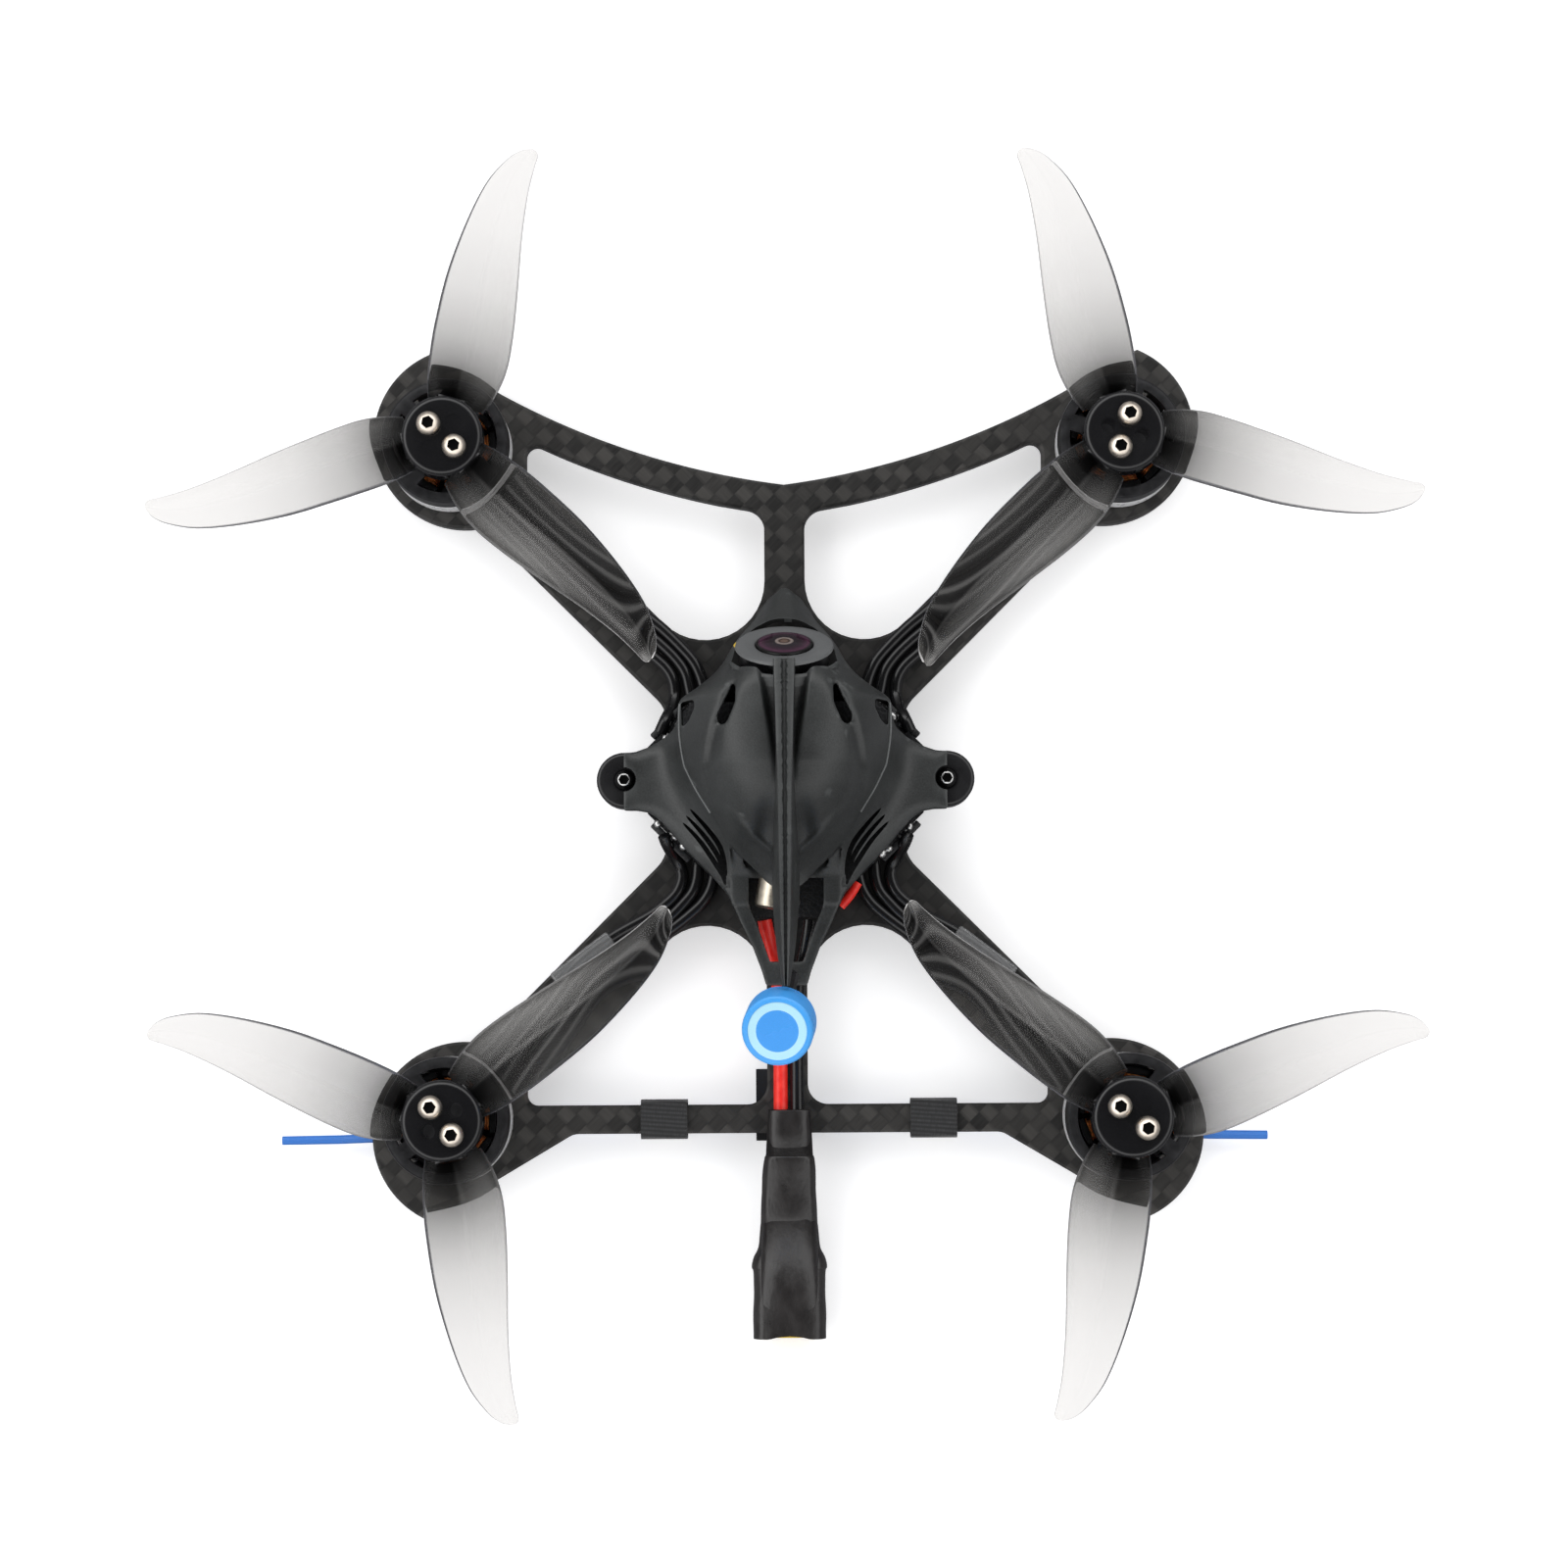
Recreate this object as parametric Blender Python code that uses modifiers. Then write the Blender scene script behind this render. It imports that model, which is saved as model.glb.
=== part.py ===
"""Quadcopter drone: plate frame, four motors and propellers, canopy, camera, boards and power lead.

Units are metres, +Z is up and +Y is forward. The origin is the middle of the four motors, on the
surface that the battery pad stands on.
"""

import math

import bmesh
import bpy
from mathutils import Matrix
from mathutils import Vector

# Gap kept between pieces that touch
FIT = 0.0003

# Battery pad and frame plate
PAD_WIDTH = 0.028
PAD_LENGTH = 0.036
PAD_THICKNESS = 0.0025
PAD_CORNER = 0.003
PLATE_THICKNESS = 0.003
PLATE_CHAMFER = 0.0005
MOTOR_SPACING = 0.099
BODY_HALF_WIDTH = 0.0177
BODY_FILLET = 0.005
ARM_SIDE_REACH = 0.0066
ARM_END_REACH = 0.0058
EAR_HALF_WIDTH = 0.0032
EAR_OVERHANG = 0.0028
EAR_ROOT_FILLET = 0.0015
SPINE_HALF_WIDTH = 0.003
SPINE_FILLET = 0.003
CRUTCH_FILLET = 0.0088
SIDE_SHARE = 0.48
WINDOW_SIDE_SHARE = 0.72
WINDOW_FILLET_STEPS = 6
BUMPER_RADIUS = 0.0137
BUMPER_INWARD = 0.0019
BUMPER_OUTWARD = 0.0024
BUMPER_TIP_ANGLE = math.radians(67)
NOSE_BAR_APEX = 0.0445
NOSE_BAR_MIDDLE = (0.0204, 0.0490)
NOSE_BAR_END_INWARD = 0.0064
NOSE_BAR_END_OUTWARD = 0.0094
NOSE_BAR_WIDTH = 0.0045
TAIL_BAR_OUTWARD = 0.0024
TAIL_BAR_WIDTH = 0.0042
GUSSET_INWARD = 0.0179
GUSSET_FILLET = 0.003
WINDOW_TO_MOTOR = 0.011
WINDOW_FILLET = 0.0016

# Motors
MOTOR_BASE_RADIUS = 0.0086
MOTOR_BASE_HEIGHT = 0.0016
MOTOR_BOLT_RADIUS = 0.0045
MOTOR_BOLT_HOLE = 0.0011
BEARING_TUBE_RADIUS = 0.0026
BEARING_TUBE_HEIGHT = 0.0089
SHAFT_RADIUS = 0.00075
STATOR_RADIUS = 0.0071
STATOR_HEIGHT = 0.0052
STATOR_LIFT = 0.0009
STATOR_TEETH = 9
STATOR_HUB_RADIUS = 0.0037
TOOTH_ROOT_WIDTH = 0.002
WINDING_WIDTH = 0.0028
TOOTH_TIP_WIDTH = 0.0038
TOOTH_TIP_THICKNESS = 0.0009
BELL_RADIUS = 0.0092
BELL_WALL = 0.0016
BELL_HEIGHT = 0.0089
BELL_TOP_THICKNESS = 0.0014
BELL_EDGE = 0.0005
BELL_LIFT = 0.0005
BELL_SPOKES = 4
BELL_SPOKE_WIDTH = 0.0024
BELL_BOSS_RADIUS = 0.0044

# Propellers and their screws
PROPELLER_RADIUS = 0.04445
PROPELLER_PITCH = 0.0508
BLADE_COUNT = 3
BLADE_ROOT_THICKNESS = 0.0017
BLADE_TIP_THICKNESS = 0.0006
BLADE_CAMBER = 0.35
BLADE_FULL_PITCH_RADIUS = 0.014
BLADE_STEEPEST_RADIUS = 0.019
HUB_RADIUS = 0.006
HUB_HEIGHT = 0.005
HUB_EDGE = 0.0006
HUB_BOLT_RADIUS = 0.0025
HUB_BOLT_ANGLE = math.radians(3.5)
SCREW_RADIUS = 0.0008
SCREW_HEAD_RADIUS = 0.00175
SCREW_HEAD_HEIGHT = 0.0016
SCREW_SOCKET_RADIUS = 0.00085
SCREW_SOCKET_DEPTH = 0.0009

# Blade plan as shares of the radius: station, leading edge, trailing edge
BLADE_PLAN = (
    (0.110, 0.081, -0.104),
    (0.180, 0.100, -0.126),
    (0.270, 0.113, -0.137),
    (0.385, 0.122, -0.128),
    (0.540, 0.126, -0.104),
    (0.710, 0.112, -0.073),
    (0.850, 0.085, -0.055),
    (0.942, 0.043, -0.052),
    (0.984, 0.008, -0.053),
    (0.999, -0.021, -0.043),
)

# Boards and their posts
BOARD_REACH = 0.0203
BOARD_DIAGONAL = 0.0252
BOARD_THICKNESS = 0.0016
BOARD_LIFT = 0.0024
BOARD_HOLE_INSET = 0.00227
POST_NECK_RADIUS = 0.0015
POST_FLANGE_RADIUS = 0.0024
POST_LIP_HEIGHT = 0.0007
POST_PEG_RADIUS = 0.0008
CHIP_HEIGHT = 0.0009
# Chips of the flight controller: middle x, middle y, width
CHIPS = ((-0.008, 0.003, 0.007), (0.008, 0.003, 0.005), (0.008, -0.005, 0.004), (-0.008, -0.006, 0.004))
TRANSMITTER_WIDTH = 0.018
TRANSMITTER_LENGTH = 0.016
TRANSMITTER_THICKNESS = 0.0012
TRANSMITTER_FOAM_WIDTH = 0.009
TRANSMITTER_FOAM_HEIGHT = 0.0026
RECEIVER_WIDTH = 0.010
RECEIVER_LENGTH = 0.013
RECEIVER_THICKNESS = 0.002
CAPACITOR_RADIUS = 0.0026
CAPACITOR_LENGTH = 0.0060
CAPACITOR_REAR = -0.0192
CAPACITOR_SHIFT = -0.0011

# Canopy
CANOPY_WALL = 0.0012
CANOPY_RING_SPACING = 0.003
FIN_RING_SPACING = 0.004
NOSE_RIM_FRONT = 0.0212
NOSE_RIM_REAR = 0.0206
LUG_THICKNESS = 0.0015
LUG_NOTCH_RADIUS = 0.0018
LUG_FILLET = 0.004
RAIL_HEIGHT = 0.0022
EAR_SCREW_GAP = 0.0034
EAR_BLOCK_RADIUS = 0.0041
EAR_BLOCK_GAP = 0.0008
EAR_SCREW_RADIUS = 0.0009
EAR_SCREW_HEAD_RADIUS = 0.0014
EAR_SCREW_HEAD_HEIGHT = 0.0014
SLOT_WIDTH = 0.0006
SLOT_COUNT = 3
SLOT_PITCH = (0.0012, -0.00104)
SLOT_FLOOR = 0.0012
CANOPY_JOIN = 0.0001
CANOPY_CUT_TOP = 0.030
DROP_VENT_FLOOR = 0.010
CORNER_VENT_FLOOR = 0.0045
CORNER_VENT_TOP = 0.0095

# Canopy features seen from above on the right side: points (x, y)
LUG_ROOT_FRONT = ((0.0125, 0.0095), (0.0155, 0.0075))
LUG_END_FRONT = 0.0041
LUG_END_REAR = -0.0045
LUG_ROOT_REAR = ((0.0185, -0.0056), (0.0125, -0.0115))
RAIL_OUTER = ((0.0116, -0.0125), (0.0087, -0.0160), (0.0074, -0.0180), (0.0058, -0.0219),
              (0.0047, -0.0242), (0.0034, -0.0284), (0.0030, -0.0303))
RAIL_INNER = ((0.0023, -0.0268), (0.0049, -0.0185), (0.0049, -0.0125))
TAIL_CUT = ((0.0021, -0.0141), (0.0080, -0.0106), (0.0080, -0.0240), (0.0021, -0.0240))
DROP_VENT = ((0.0070, 0.0122), (0.0084, 0.0094), (0.0096, 0.0074), (0.0086, 0.0069), (0.0076, 0.0084))
CORNER_VENT = ((0.0130, 0.0106), (0.0131, 0.0092), (0.0142, 0.0074), (0.0170, 0.0074), (0.0170, 0.0106))
SLOT_START = (0.0135, -0.0078)
SLOT_END = (0.0092, -0.0130)

# Canopy stations, nose to tail: y, dome half width, top, crease and skirt half width;
# top and crease are heights above the rim
CANOPY_STATIONS = (
    (0.0286, 0.0010, -0.0028, -0.0038, 0.0011),
    (0.0265, 0.0032, 0.0003, -0.0026, 0.0034),
    (0.0235, 0.0054, 0.0055, 0.0002, 0.0057),
    (0.0210, 0.0068, 0.0105, 0.0030, 0.0071),
    (0.0180, 0.0086, 0.0158, 0.0058, 0.0088),
    (0.0140, 0.0112, 0.0195, 0.0072, 0.0116),
    (0.0105, 0.0148, 0.0200, 0.0074, 0.0151),
    (0.0050, 0.0152, 0.0196, 0.0068, 0.0160),
    (-0.0010, 0.0128, 0.0188, 0.0062, 0.0172),
    (-0.0060, 0.0090, 0.0180, 0.0056, 0.0178),
    (-0.0100, 0.0058, 0.0174, 0.0050, 0.0146),
    (-0.0155, 0.0036, 0.0165, 0.0042, 0.0094),
)

# Dorsal fin stations, front to rear: y, half width, bottom and top above the rim
FIN_STATIONS = (
    (0.0146, 0.0017, 0.0180, 0.0200),
    (0.0100, 0.0016, 0.0180, 0.0216),
    (0.0040, 0.0014, 0.0178, 0.0226),
    (-0.0040, 0.0013, 0.0165, 0.0232),
    (-0.0110, 0.0016, 0.0130, 0.0236),
    (-0.0165, 0.0019, 0.0110, 0.0236),
    (-0.0220, 0.0016, 0.0160, 0.0235),
    (-0.0270, 0.0012, 0.0195, 0.0233),
    (-0.0306, 0.0006, 0.0216, 0.0229),
)

FIN_SHOULDER = 0.5
FIN_RIDGE = 0.7
FIN_GROOVE = 0.25

# Camera; the height of its front face is above the canopy's rim
CAMERA_TILT = math.radians(28.8)
CAMERA_FORWARD = 0.0185
CAMERA_RISE = 0.0133
BEZEL_RADIUS = 0.0071
BEZEL_THICKNESS = 0.003
CAMERA_OPENING_RADIUS = 0.0082
CAMERA_WIDTH = 0.0124
CAMERA_HEIGHT = 0.012
CAMERA_DEPTH = 0.008
CAMERA_EDGE = 0.0008
BEZEL_EDGE = 0.0005
LENS_RADIUS = 0.0041
LENS_RECESS = 0.0008
LENS_BULGE = 0.0012
PIN_RADIUS = 0.0009
PIN_LENGTH = 0.0026
PIN_BOSS_RADIUS = 0.0022
PIN_BOSS_END = 0.0112

# Video antenna: middles of the cap's lower and upper face, their heights above the canopy's rim
CAP_RADIUS = 0.00505
CAP_BOTTOM = (-0.0007, -0.0354, 0.0179)
CAP_TOP = (-0.00125, -0.0370, 0.0245)
CAP_EDGE = 0.0007
STEM_RADIUS = 0.0011
STEM_FOOT = (0.0007, -0.0291)
STEM_STRAIGHT = 0.004

# Receiver antenna, its holder and the woven bands
AERIAL_RADIUS = 0.00065
AERIAL_LEFT_END = -0.0751
AERIAL_RIGHT_END = 0.0711
AERIAL_BOW = 0.0029
HOLDER_LEFT = -0.0047
HOLDER_RIGHT = 0.0026
HOLDER_FRONT = 0.0052
HOLDER_REAR = 0.0012
HOLDER_THICKNESS = 0.0019
BAND_WIDTH = 0.0068
BAND_THICKNESS = 0.0005
BAND_CORNER = 0.0005
BAND_CENTRES = (-0.01825, 0.02155)

# Power lead
WIRE_RADIUS = 0.00105
RED_ROUTE = (
    (-0.0032, -0.0206, 0.0093),
    (-0.0029, -0.0222, 0.0091),
    (-0.0022, -0.0252, 0.0084),
    (-0.0014, -0.0290, 0.0076),
    (-0.0010, -0.0340, 0.0075),
    (-0.0010, -0.0400, 0.0078),
    (-0.0010, -0.0460, 0.0082),
    (-0.0010, -0.0510, 0.0082),
    (-0.0011, -0.0560, 0.0071),
    (-0.0011, -0.0620, 0.0055),
    (-0.0011, -0.0680, 0.0041),
    (-0.0011, -0.0723, 0.0034),
)
BLACK_ROUTE = (
    (0.0034, -0.0206, 0.0093),
    (0.0032, -0.0222, 0.0091),
    (0.0026, -0.0252, 0.0084),
    (0.0018, -0.0290, 0.0076),
    (0.0014, -0.0340, 0.0074),
    (0.0014, -0.0400, 0.0077),
    (0.0014, -0.0460, 0.0082),
    (0.0014, -0.0510, 0.0082),
    (0.0013, -0.0560, 0.0071),
    (0.0013, -0.0620, 0.0055),
    (0.0013, -0.0680, 0.0041),
    (0.0013, -0.0723, 0.0034),
)
SLEEVE_WALL = 0.0005
SLEEVE_CORNER = 0.0016
# Sleeve stations: middle x, y, middle z, half width, half height
SLEEVE_STATIONS = (
    (0.00025, -0.0484, 0.0082, 0.0031, 0.0019),
    (0.00025, -0.0520, 0.0081, 0.0032, 0.0019),
    (0.00020, -0.0551, 0.0073, 0.0034, 0.0021),
    (0.00020, -0.0555, 0.0072, 0.0038, 0.0025),
    (0.00010, -0.0600, 0.0060, 0.0040, 0.0025),
    (0.00010, -0.0660, 0.0045, 0.0041, 0.0026),
    (0.00010, -0.0694, 0.0038, 0.0042, 0.0026),
    (0.00010, -0.0716, 0.0034, 0.0053, 0.0030),
    (0.00010, -0.0821, 0.0033, 0.0054, 0.0031),
)
CONNECTOR_LENGTH = 0.0093
CONNECTOR_INSET = 0.0002
CONNECTOR_CHAMFER = 0.0011
CONTACT_SPACING = 0.005
CONTACT_RADIUS = 0.0012
CONTACT_DEPTH = 0.006

# Motor wire looms
LOOM_WIRE_RADIUS = 0.00055
LOOM_WIRES = 3
LOOM_RISE_START = 0.018
LOOM_RISE = 0.0008

# Rotors: name, side in x, side in y, blade angle in degrees, turning sense (1 is anticlockwise)
# and which pair of hub holes takes the screws
ROTORS = (
    ("front_left", -1, 1, -45.4, 1, 0),
    ("front_right", 1, 1, -13.0, -1, 1),
    ("rear_left", -1, -1, 41.3, -1, 1),
    ("rear_right", 1, -1, 137.7, 1, 0),
)

# Heights and places that follow from the sizes above
MOTOR = MOTOR_SPACING / 2
PLATE_BOTTOM = PAD_THICKNESS + FIT
PLATE_TOP = PLATE_BOTTOM + PLATE_THICKNESS
SEAT = PLATE_TOP + FIT
BASE_TOP = SEAT + MOTOR_BASE_HEIGHT
BELL_BOTTOM = BASE_TOP + BELL_LIFT
BELL_TOP = BELL_BOTTOM + BELL_HEIGHT
BELL_UNDERSIDE = BELL_TOP - BELL_TOP_THICKNESS
HUB_BOTTOM = BELL_TOP + FIT
HUB_TOP = HUB_BOTTOM + HUB_HEIGHT
BOARD_BOTTOM = SEAT + BOARD_LIFT
BOARD_TOP = BOARD_BOTTOM + BOARD_THICKNESS
CANOPY_RIM = BOARD_TOP + POST_LIP_HEIGHT + 2 * FIT
TAIL_BAR_REAR = -(MOTOR + TAIL_BAR_OUTWARD)
TAIL_BAR_FRONT = TAIL_BAR_REAR + TAIL_BAR_WIDTH
WINDOW_END = MOTOR - WINDOW_TO_MOTOR
AERIAL_HEIGHT = PLATE_BOTTOM - FIT - AERIAL_RADIUS
BOARD_HOLE_REACH = BOARD_REACH - BOARD_HOLE_INSET
EAR_SCREW_REACH = BOARD_REACH + EAR_SCREW_GAP
EAR_BLOCK_INNER = BOARD_REACH + EAR_BLOCK_GAP
EAR_REACH = EAR_SCREW_REACH + EAR_OVERHANG


def clear_scene():
    """Remove every object of the open scene."""
    for obj in list(bpy.data.objects):
        bpy.data.objects.remove(obj)


def new_collection(name):
    """Make a collection in the scene."""
    collection = bpy.data.collections.new(name)
    bpy.context.scene.collection.children.link(collection)
    return collection


clear_scene()
PARTS = new_collection("quadcopter_drone")
CUTTERS = new_collection("cutters")


def material(name, colour, roughness, metallic=0.0):
    """Make a plain Principled BSDF material."""
    result = bpy.data.materials.new(name)
    result.use_nodes = True
    shader = result.node_tree.nodes["Principled BSDF"]
    shader.inputs["Base Color"].default_value = (*colour, 1.0)
    shader.inputs["Roughness"].default_value = roughness
    shader.inputs["Metallic"].default_value = metallic
    return result


CARBON = material("carbon", (0.016, 0.016, 0.017), 0.45)
RUBBER = material("rubber", (0.02, 0.02, 0.021), 0.85)
MOULDED = material("moulded_canopy", (0.045, 0.05, 0.05), 0.62)
BLACK_METAL = material("black_metal", (0.02, 0.02, 0.022), 0.35, 0.9)
COPPER = material("copper", (0.55, 0.22, 0.09), 0.4, 0.9)
SMOKE = material("smoke_polycarbonate", (0.18, 0.18, 0.18), 0.2)
STEEL = material("screw_steel", (0.35, 0.31, 0.27), 0.3, 1.0)
BLACK_STEEL = material("black_steel", (0.03, 0.03, 0.03), 0.35, 1.0)
BLACK_PLASTIC = material("black_plastic", (0.015, 0.015, 0.016), 0.5)
BEZEL_GREY = material("bezel_grey", (0.13, 0.14, 0.14), 0.45)
LENS_GLASS = material("lens_glass", (0.05, 0.015, 0.05), 0.05)
BOARD = material("board", (0.012, 0.013, 0.015), 0.5)
CAN = material("capacitor_can", (0.6, 0.52, 0.4), 0.35, 0.8)
BLUE = material("antenna_blue", (0.05, 0.3, 0.85), 0.35)
AERIAL_BLUE = material("aerial_blue", (0.01, 0.12, 0.53), 0.4)
RED_WIRE = material("red_silicone", (0.85, 0.015, 0.01), 0.5)
BLACK_WIRE = material("black_silicone", (0.012, 0.012, 0.013), 0.5)
SHRINK = material("heat_shrink", (0.035, 0.031, 0.031), 0.45)
YELLOW = material("connector_yellow", (0.85, 0.55, 0.03), 0.5)
WEBBING = material("webbing", (0.012, 0.012, 0.012), 0.9)


def object_from(mesh, name, finish=None):
    """Wrap a mesh in an object: a part where a finish is given, otherwise a tool."""
    obj = bpy.data.objects.new(name, mesh)
    if finish is None:
        CUTTERS.objects.link(obj)
        obj.hide_render = True
        obj.display_type = "WIRE"
    else:
        PARTS.objects.link(obj)
        mesh.materials.clear()
        mesh.materials.append(finish)
        mesh.shade_smooth()
        mesh.set_sharp_from_angle(angle=math.radians(35))
    return obj


def evaluated_mesh(obj):
    """Return an object's mesh with its modifiers or curve settings worked in, doubles merged."""
    bpy.context.view_layer.update()
    graph = bpy.context.evaluated_depsgraph_get()
    mesh = bpy.data.meshes.new_from_object(obj.evaluated_get(graph))
    work = bmesh.new()
    work.from_mesh(mesh)
    bmesh.ops.remove_doubles(work, verts=work.verts, dist=1e-7)
    work.to_mesh(mesh)
    work.free()
    return mesh


def baked(obj, name, finish=None):
    """Replace a working object by one that holds its evaluated mesh at the same place."""
    mesh = evaluated_mesh(obj)
    result = object_from(mesh, name, finish)
    result.matrix_world = obj.matrix_world.copy()
    bpy.data.objects.remove(obj)
    return result


def combined(obj, tools, operation, name, finish=None, solver="EXACT"):
    """Cut or join an object with tools, one Boolean each, and bake the result."""
    for tool in tools:
        step = obj.modifiers.new(tool.name, "BOOLEAN")
        step.operation = operation
        step.solver = solver
        step.object = tool
    result = baked(obj, name, finish)
    for tool in tools:
        bpy.data.objects.remove(tool)
    return result


def moved(obj, matrix):
    """Apply a transform to an object's mesh."""
    obj.data.transform(matrix)
    return obj


def primitive(build, name, finish=None):
    """Make an object from a bmesh filled by a builder function."""
    work = bmesh.new()
    build(work)
    mesh = bpy.data.meshes.new(name)
    work.to_mesh(mesh)
    work.free()
    return object_from(mesh, name, finish)


def box(name, low, high, finish=None):
    """Make a box between two corners."""
    size = [b - a for a, b in zip(low, high)]
    middle = [(a + b) / 2 for a, b in zip(low, high)]
    place = Matrix.Translation(middle) @ Matrix.Diagonal((*size, 1))
    return primitive(lambda work: bmesh.ops.create_cube(work, size=1, matrix=place), name, finish)


def cylinder(name, radius, foot, axis, length, sides, finish=None):
    """Make a cylinder from its foot along an axis."""
    turn = Vector((0, 0, 1)).rotation_difference(Vector(axis)).to_matrix().to_4x4()
    place = Matrix.Translation(foot) @ turn @ Matrix.Translation((0, 0, length / 2))

    def build(work):
        bmesh.ops.create_cone(work, cap_ends=True, segments=sides, radius1=radius, radius2=radius,
                              depth=length, matrix=place)

    return primitive(build, name, finish)


def turned(name, profile, steps, finish=None):
    """Turn a profile of (radius, height) points, listed down the outer side, about Z."""
    mesh = bpy.data.meshes.new(name)
    closed = profile[0][0] > 0
    edges = [(i, i + 1) for i in range(len(profile) - 1)]
    if closed:
        edges.append((len(profile) - 1, 0))
    mesh.from_pydata([(radius, 0, height) for radius, height in profile], edges, [])
    work = object_from(mesh, name + "_profile")
    screw = work.modifiers.new("turn", "SCREW")
    screw.steps = steps
    screw.render_steps = steps
    screw.use_merge_vertices = True
    screw.merge_threshold = 0.000001
    return baked(work, name, finish)


def flat(name, loops, bottom, top, chamfer=0.0, finish=None):
    """Extrude flat closed loops, holes among them, between two heights."""
    curve = bpy.data.curves.new(name, "CURVE")
    curve.dimensions = "2D"
    curve.fill_mode = "BOTH"
    curve.extrude = (top - bottom) / 2 - chamfer
    curve.bevel_depth = chamfer
    curve.bevel_resolution = 0
    curve.offset = -chamfer
    for loop in loops:
        spline = curve.splines.new("POLY")
        spline.points.add(len(loop) - 1)
        for point, (x, y) in zip(spline.points, loop):
            point.co = (x, y, 0, 1)
        spline.use_cyclic_u = True
    work = bpy.data.objects.new(name + "_outline", curve)
    CUTTERS.objects.link(work)
    work.location.z = (top + bottom) / 2
    bpy.context.view_layer.update()
    result = baked(work, name, finish)
    moved(result, result.matrix_world.copy())
    result.matrix_world = Matrix.Identity(4)
    return result


def tube(name, points, radius, finish=None):
    """Make a round tube along points."""
    curve = bpy.data.curves.new(name, "CURVE")
    curve.dimensions = "3D"
    curve.bevel_depth = radius
    curve.bevel_resolution = 2
    curve.use_fill_caps = True
    spline = curve.splines.new("POLY")
    spline.points.add(len(points) - 1)
    for point, place in zip(spline.points, points):
        point.co = (*place, 1)
    work = bpy.data.objects.new(name + "_route", curve)
    CUTTERS.objects.link(work)
    return baked(work, name, finish)


def loft(name, rings, finish=None):
    """Skin a row of closed rings with equal point counts and cap both ends."""
    work = bmesh.new()
    rows = [[work.verts.new(point) for point in ring] for ring in rings]
    count = len(rings[0])
    for front, back in zip(rows, rows[1:]):
        for i in range(count):
            j = (i + 1) % count
            work.faces.new((front[i], front[j], back[j], back[i]))
    work.faces.new(rows[0])
    work.faces.new(rows[-1])
    bmesh.ops.recalc_face_normals(work, faces=work.faces)
    mesh = bpy.data.meshes.new(name)
    work.to_mesh(mesh)
    work.free()
    return object_from(mesh, name, finish)


def smooth_row(rows, spacing):
    """Read rows of numbers from a smooth curve through them, about a spacing apart in space."""
    vectors = [tuple(row) for row in rows]
    padded = [vectors[0], *vectors, vectors[-1]]
    result = []
    for a, b, c, d in zip(padded, padded[1:], padded[2:], padded[3:]):
        length = math.dist(b[:3], c[:3])
        steps = max(1, round(length / spacing))
        for i in range(steps):
            t = i / steps
            row = []
            for p, q, r, s in zip(a, b, c, d):
                slope_in = (r - p) / 2
                slope_out = (s - q) / 2
                cubic = 2 * (q - r) + slope_in + slope_out
                square = 3 * (r - q) - 2 * slope_in - slope_out
                row.append(((cubic * t + square) * t + slope_in) * t + q)
            result.append(tuple(row))
    result.append(vectors[-1])
    return result


def filleted(corners, steps=3, share=SIDE_SHARE):
    """Turn (x, y, radius) corners into points, each rounded by an arc within a share of its sides."""
    points = []
    for i, (x, y, radius) in enumerate(corners):
        corner = Vector((x, y))
        before = Vector(corners[i - 1][:2]) - corner
        after = Vector(corners[(i + 1) % len(corners)][:2]) - corner
        if radius == 0:
            points.append((x, y))
            continue
        half = before.angle(after) / 2
        run = min(radius / math.tan(half), share * before.length, share * after.length)
        middle = corner + (before.normalized() + after.normalized()).normalized() * run / math.cos(half)
        start = corner + before.normalized() * run - middle
        end = corner + after.normalized() * run - middle
        sweep = start.angle_signed(end)
        for k in range(steps + 1):
            spot = middle + Matrix.Rotation(-sweep * k / steps, 2) @ start
            points.append((spot.x, spot.y))
    return points


def mirrored(points):
    """Return points with x turned round, in the opposite order."""
    return [(-x, y) for x, y in reversed(points)]


def circle_through(a, b, c):
    """Return the middle and radius of the circle through three points."""
    (ax, ay), (bx, by), (cx, cy) = a, b, c
    d = 2 * (ax * (by - cy) + bx * (cy - ay) + cx * (ay - by))
    a2 = ax * ax + ay * ay
    b2 = bx * bx + by * by
    c2 = cx * cx + cy * cy
    ux = (a2 * (by - cy) + b2 * (cy - ay) + c2 * (ay - by)) / d
    uy = (a2 * (cx - bx) + b2 * (ax - cx) + c2 * (bx - ax)) / d
    return (ux, uy), math.hypot(ax - ux, ay - uy)


def rounded_rectangle(half_x, half_y, radius, steps=4):
    """Return a rounded rectangle about the origin."""
    corners = [(half_x, half_y), (-half_x, half_y), (-half_x, -half_y), (half_x, -half_y)]
    return filleted([(x, y, radius) for x, y in corners], steps)


def bumper_arc(steps):
    """Return the round edge of a front motor pad, from its tip to the arm, on the right."""
    cx = MOTOR - BUMPER_INWARD
    cy = MOTOR + BUMPER_OUTWARD
    away = (cy - cx + ARM_SIDE_REACH) / math.sqrt(2)
    last = -math.pi / 4 - math.acos(away / BUMPER_RADIUS)
    points = []
    for i in range(steps + 1):
        angle = BUMPER_TIP_ANGLE + (last - BUMPER_TIP_ANGLE) * i / steps
        points.append((cx + BUMPER_RADIUS * math.cos(angle), cy + BUMPER_RADIUS * math.sin(angle)))
    return points


def nose_bar_circle():
    """Return the circle that the nose bar's front edge follows on the right."""
    end = (MOTOR - NOSE_BAR_END_INWARD, MOTOR + NOSE_BAR_END_OUTWARD)
    return circle_through((0, NOSE_BAR_APEX), NOSE_BAR_MIDDLE, end)


def nose_bar_edge(x, inset):
    """Return y on the nose bar's edge, inset from its front edge."""
    (cx, cy), radius = nose_bar_circle()
    return cy - math.sqrt((radius + inset) ** 2 - (x - cx) ** 2)


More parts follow.
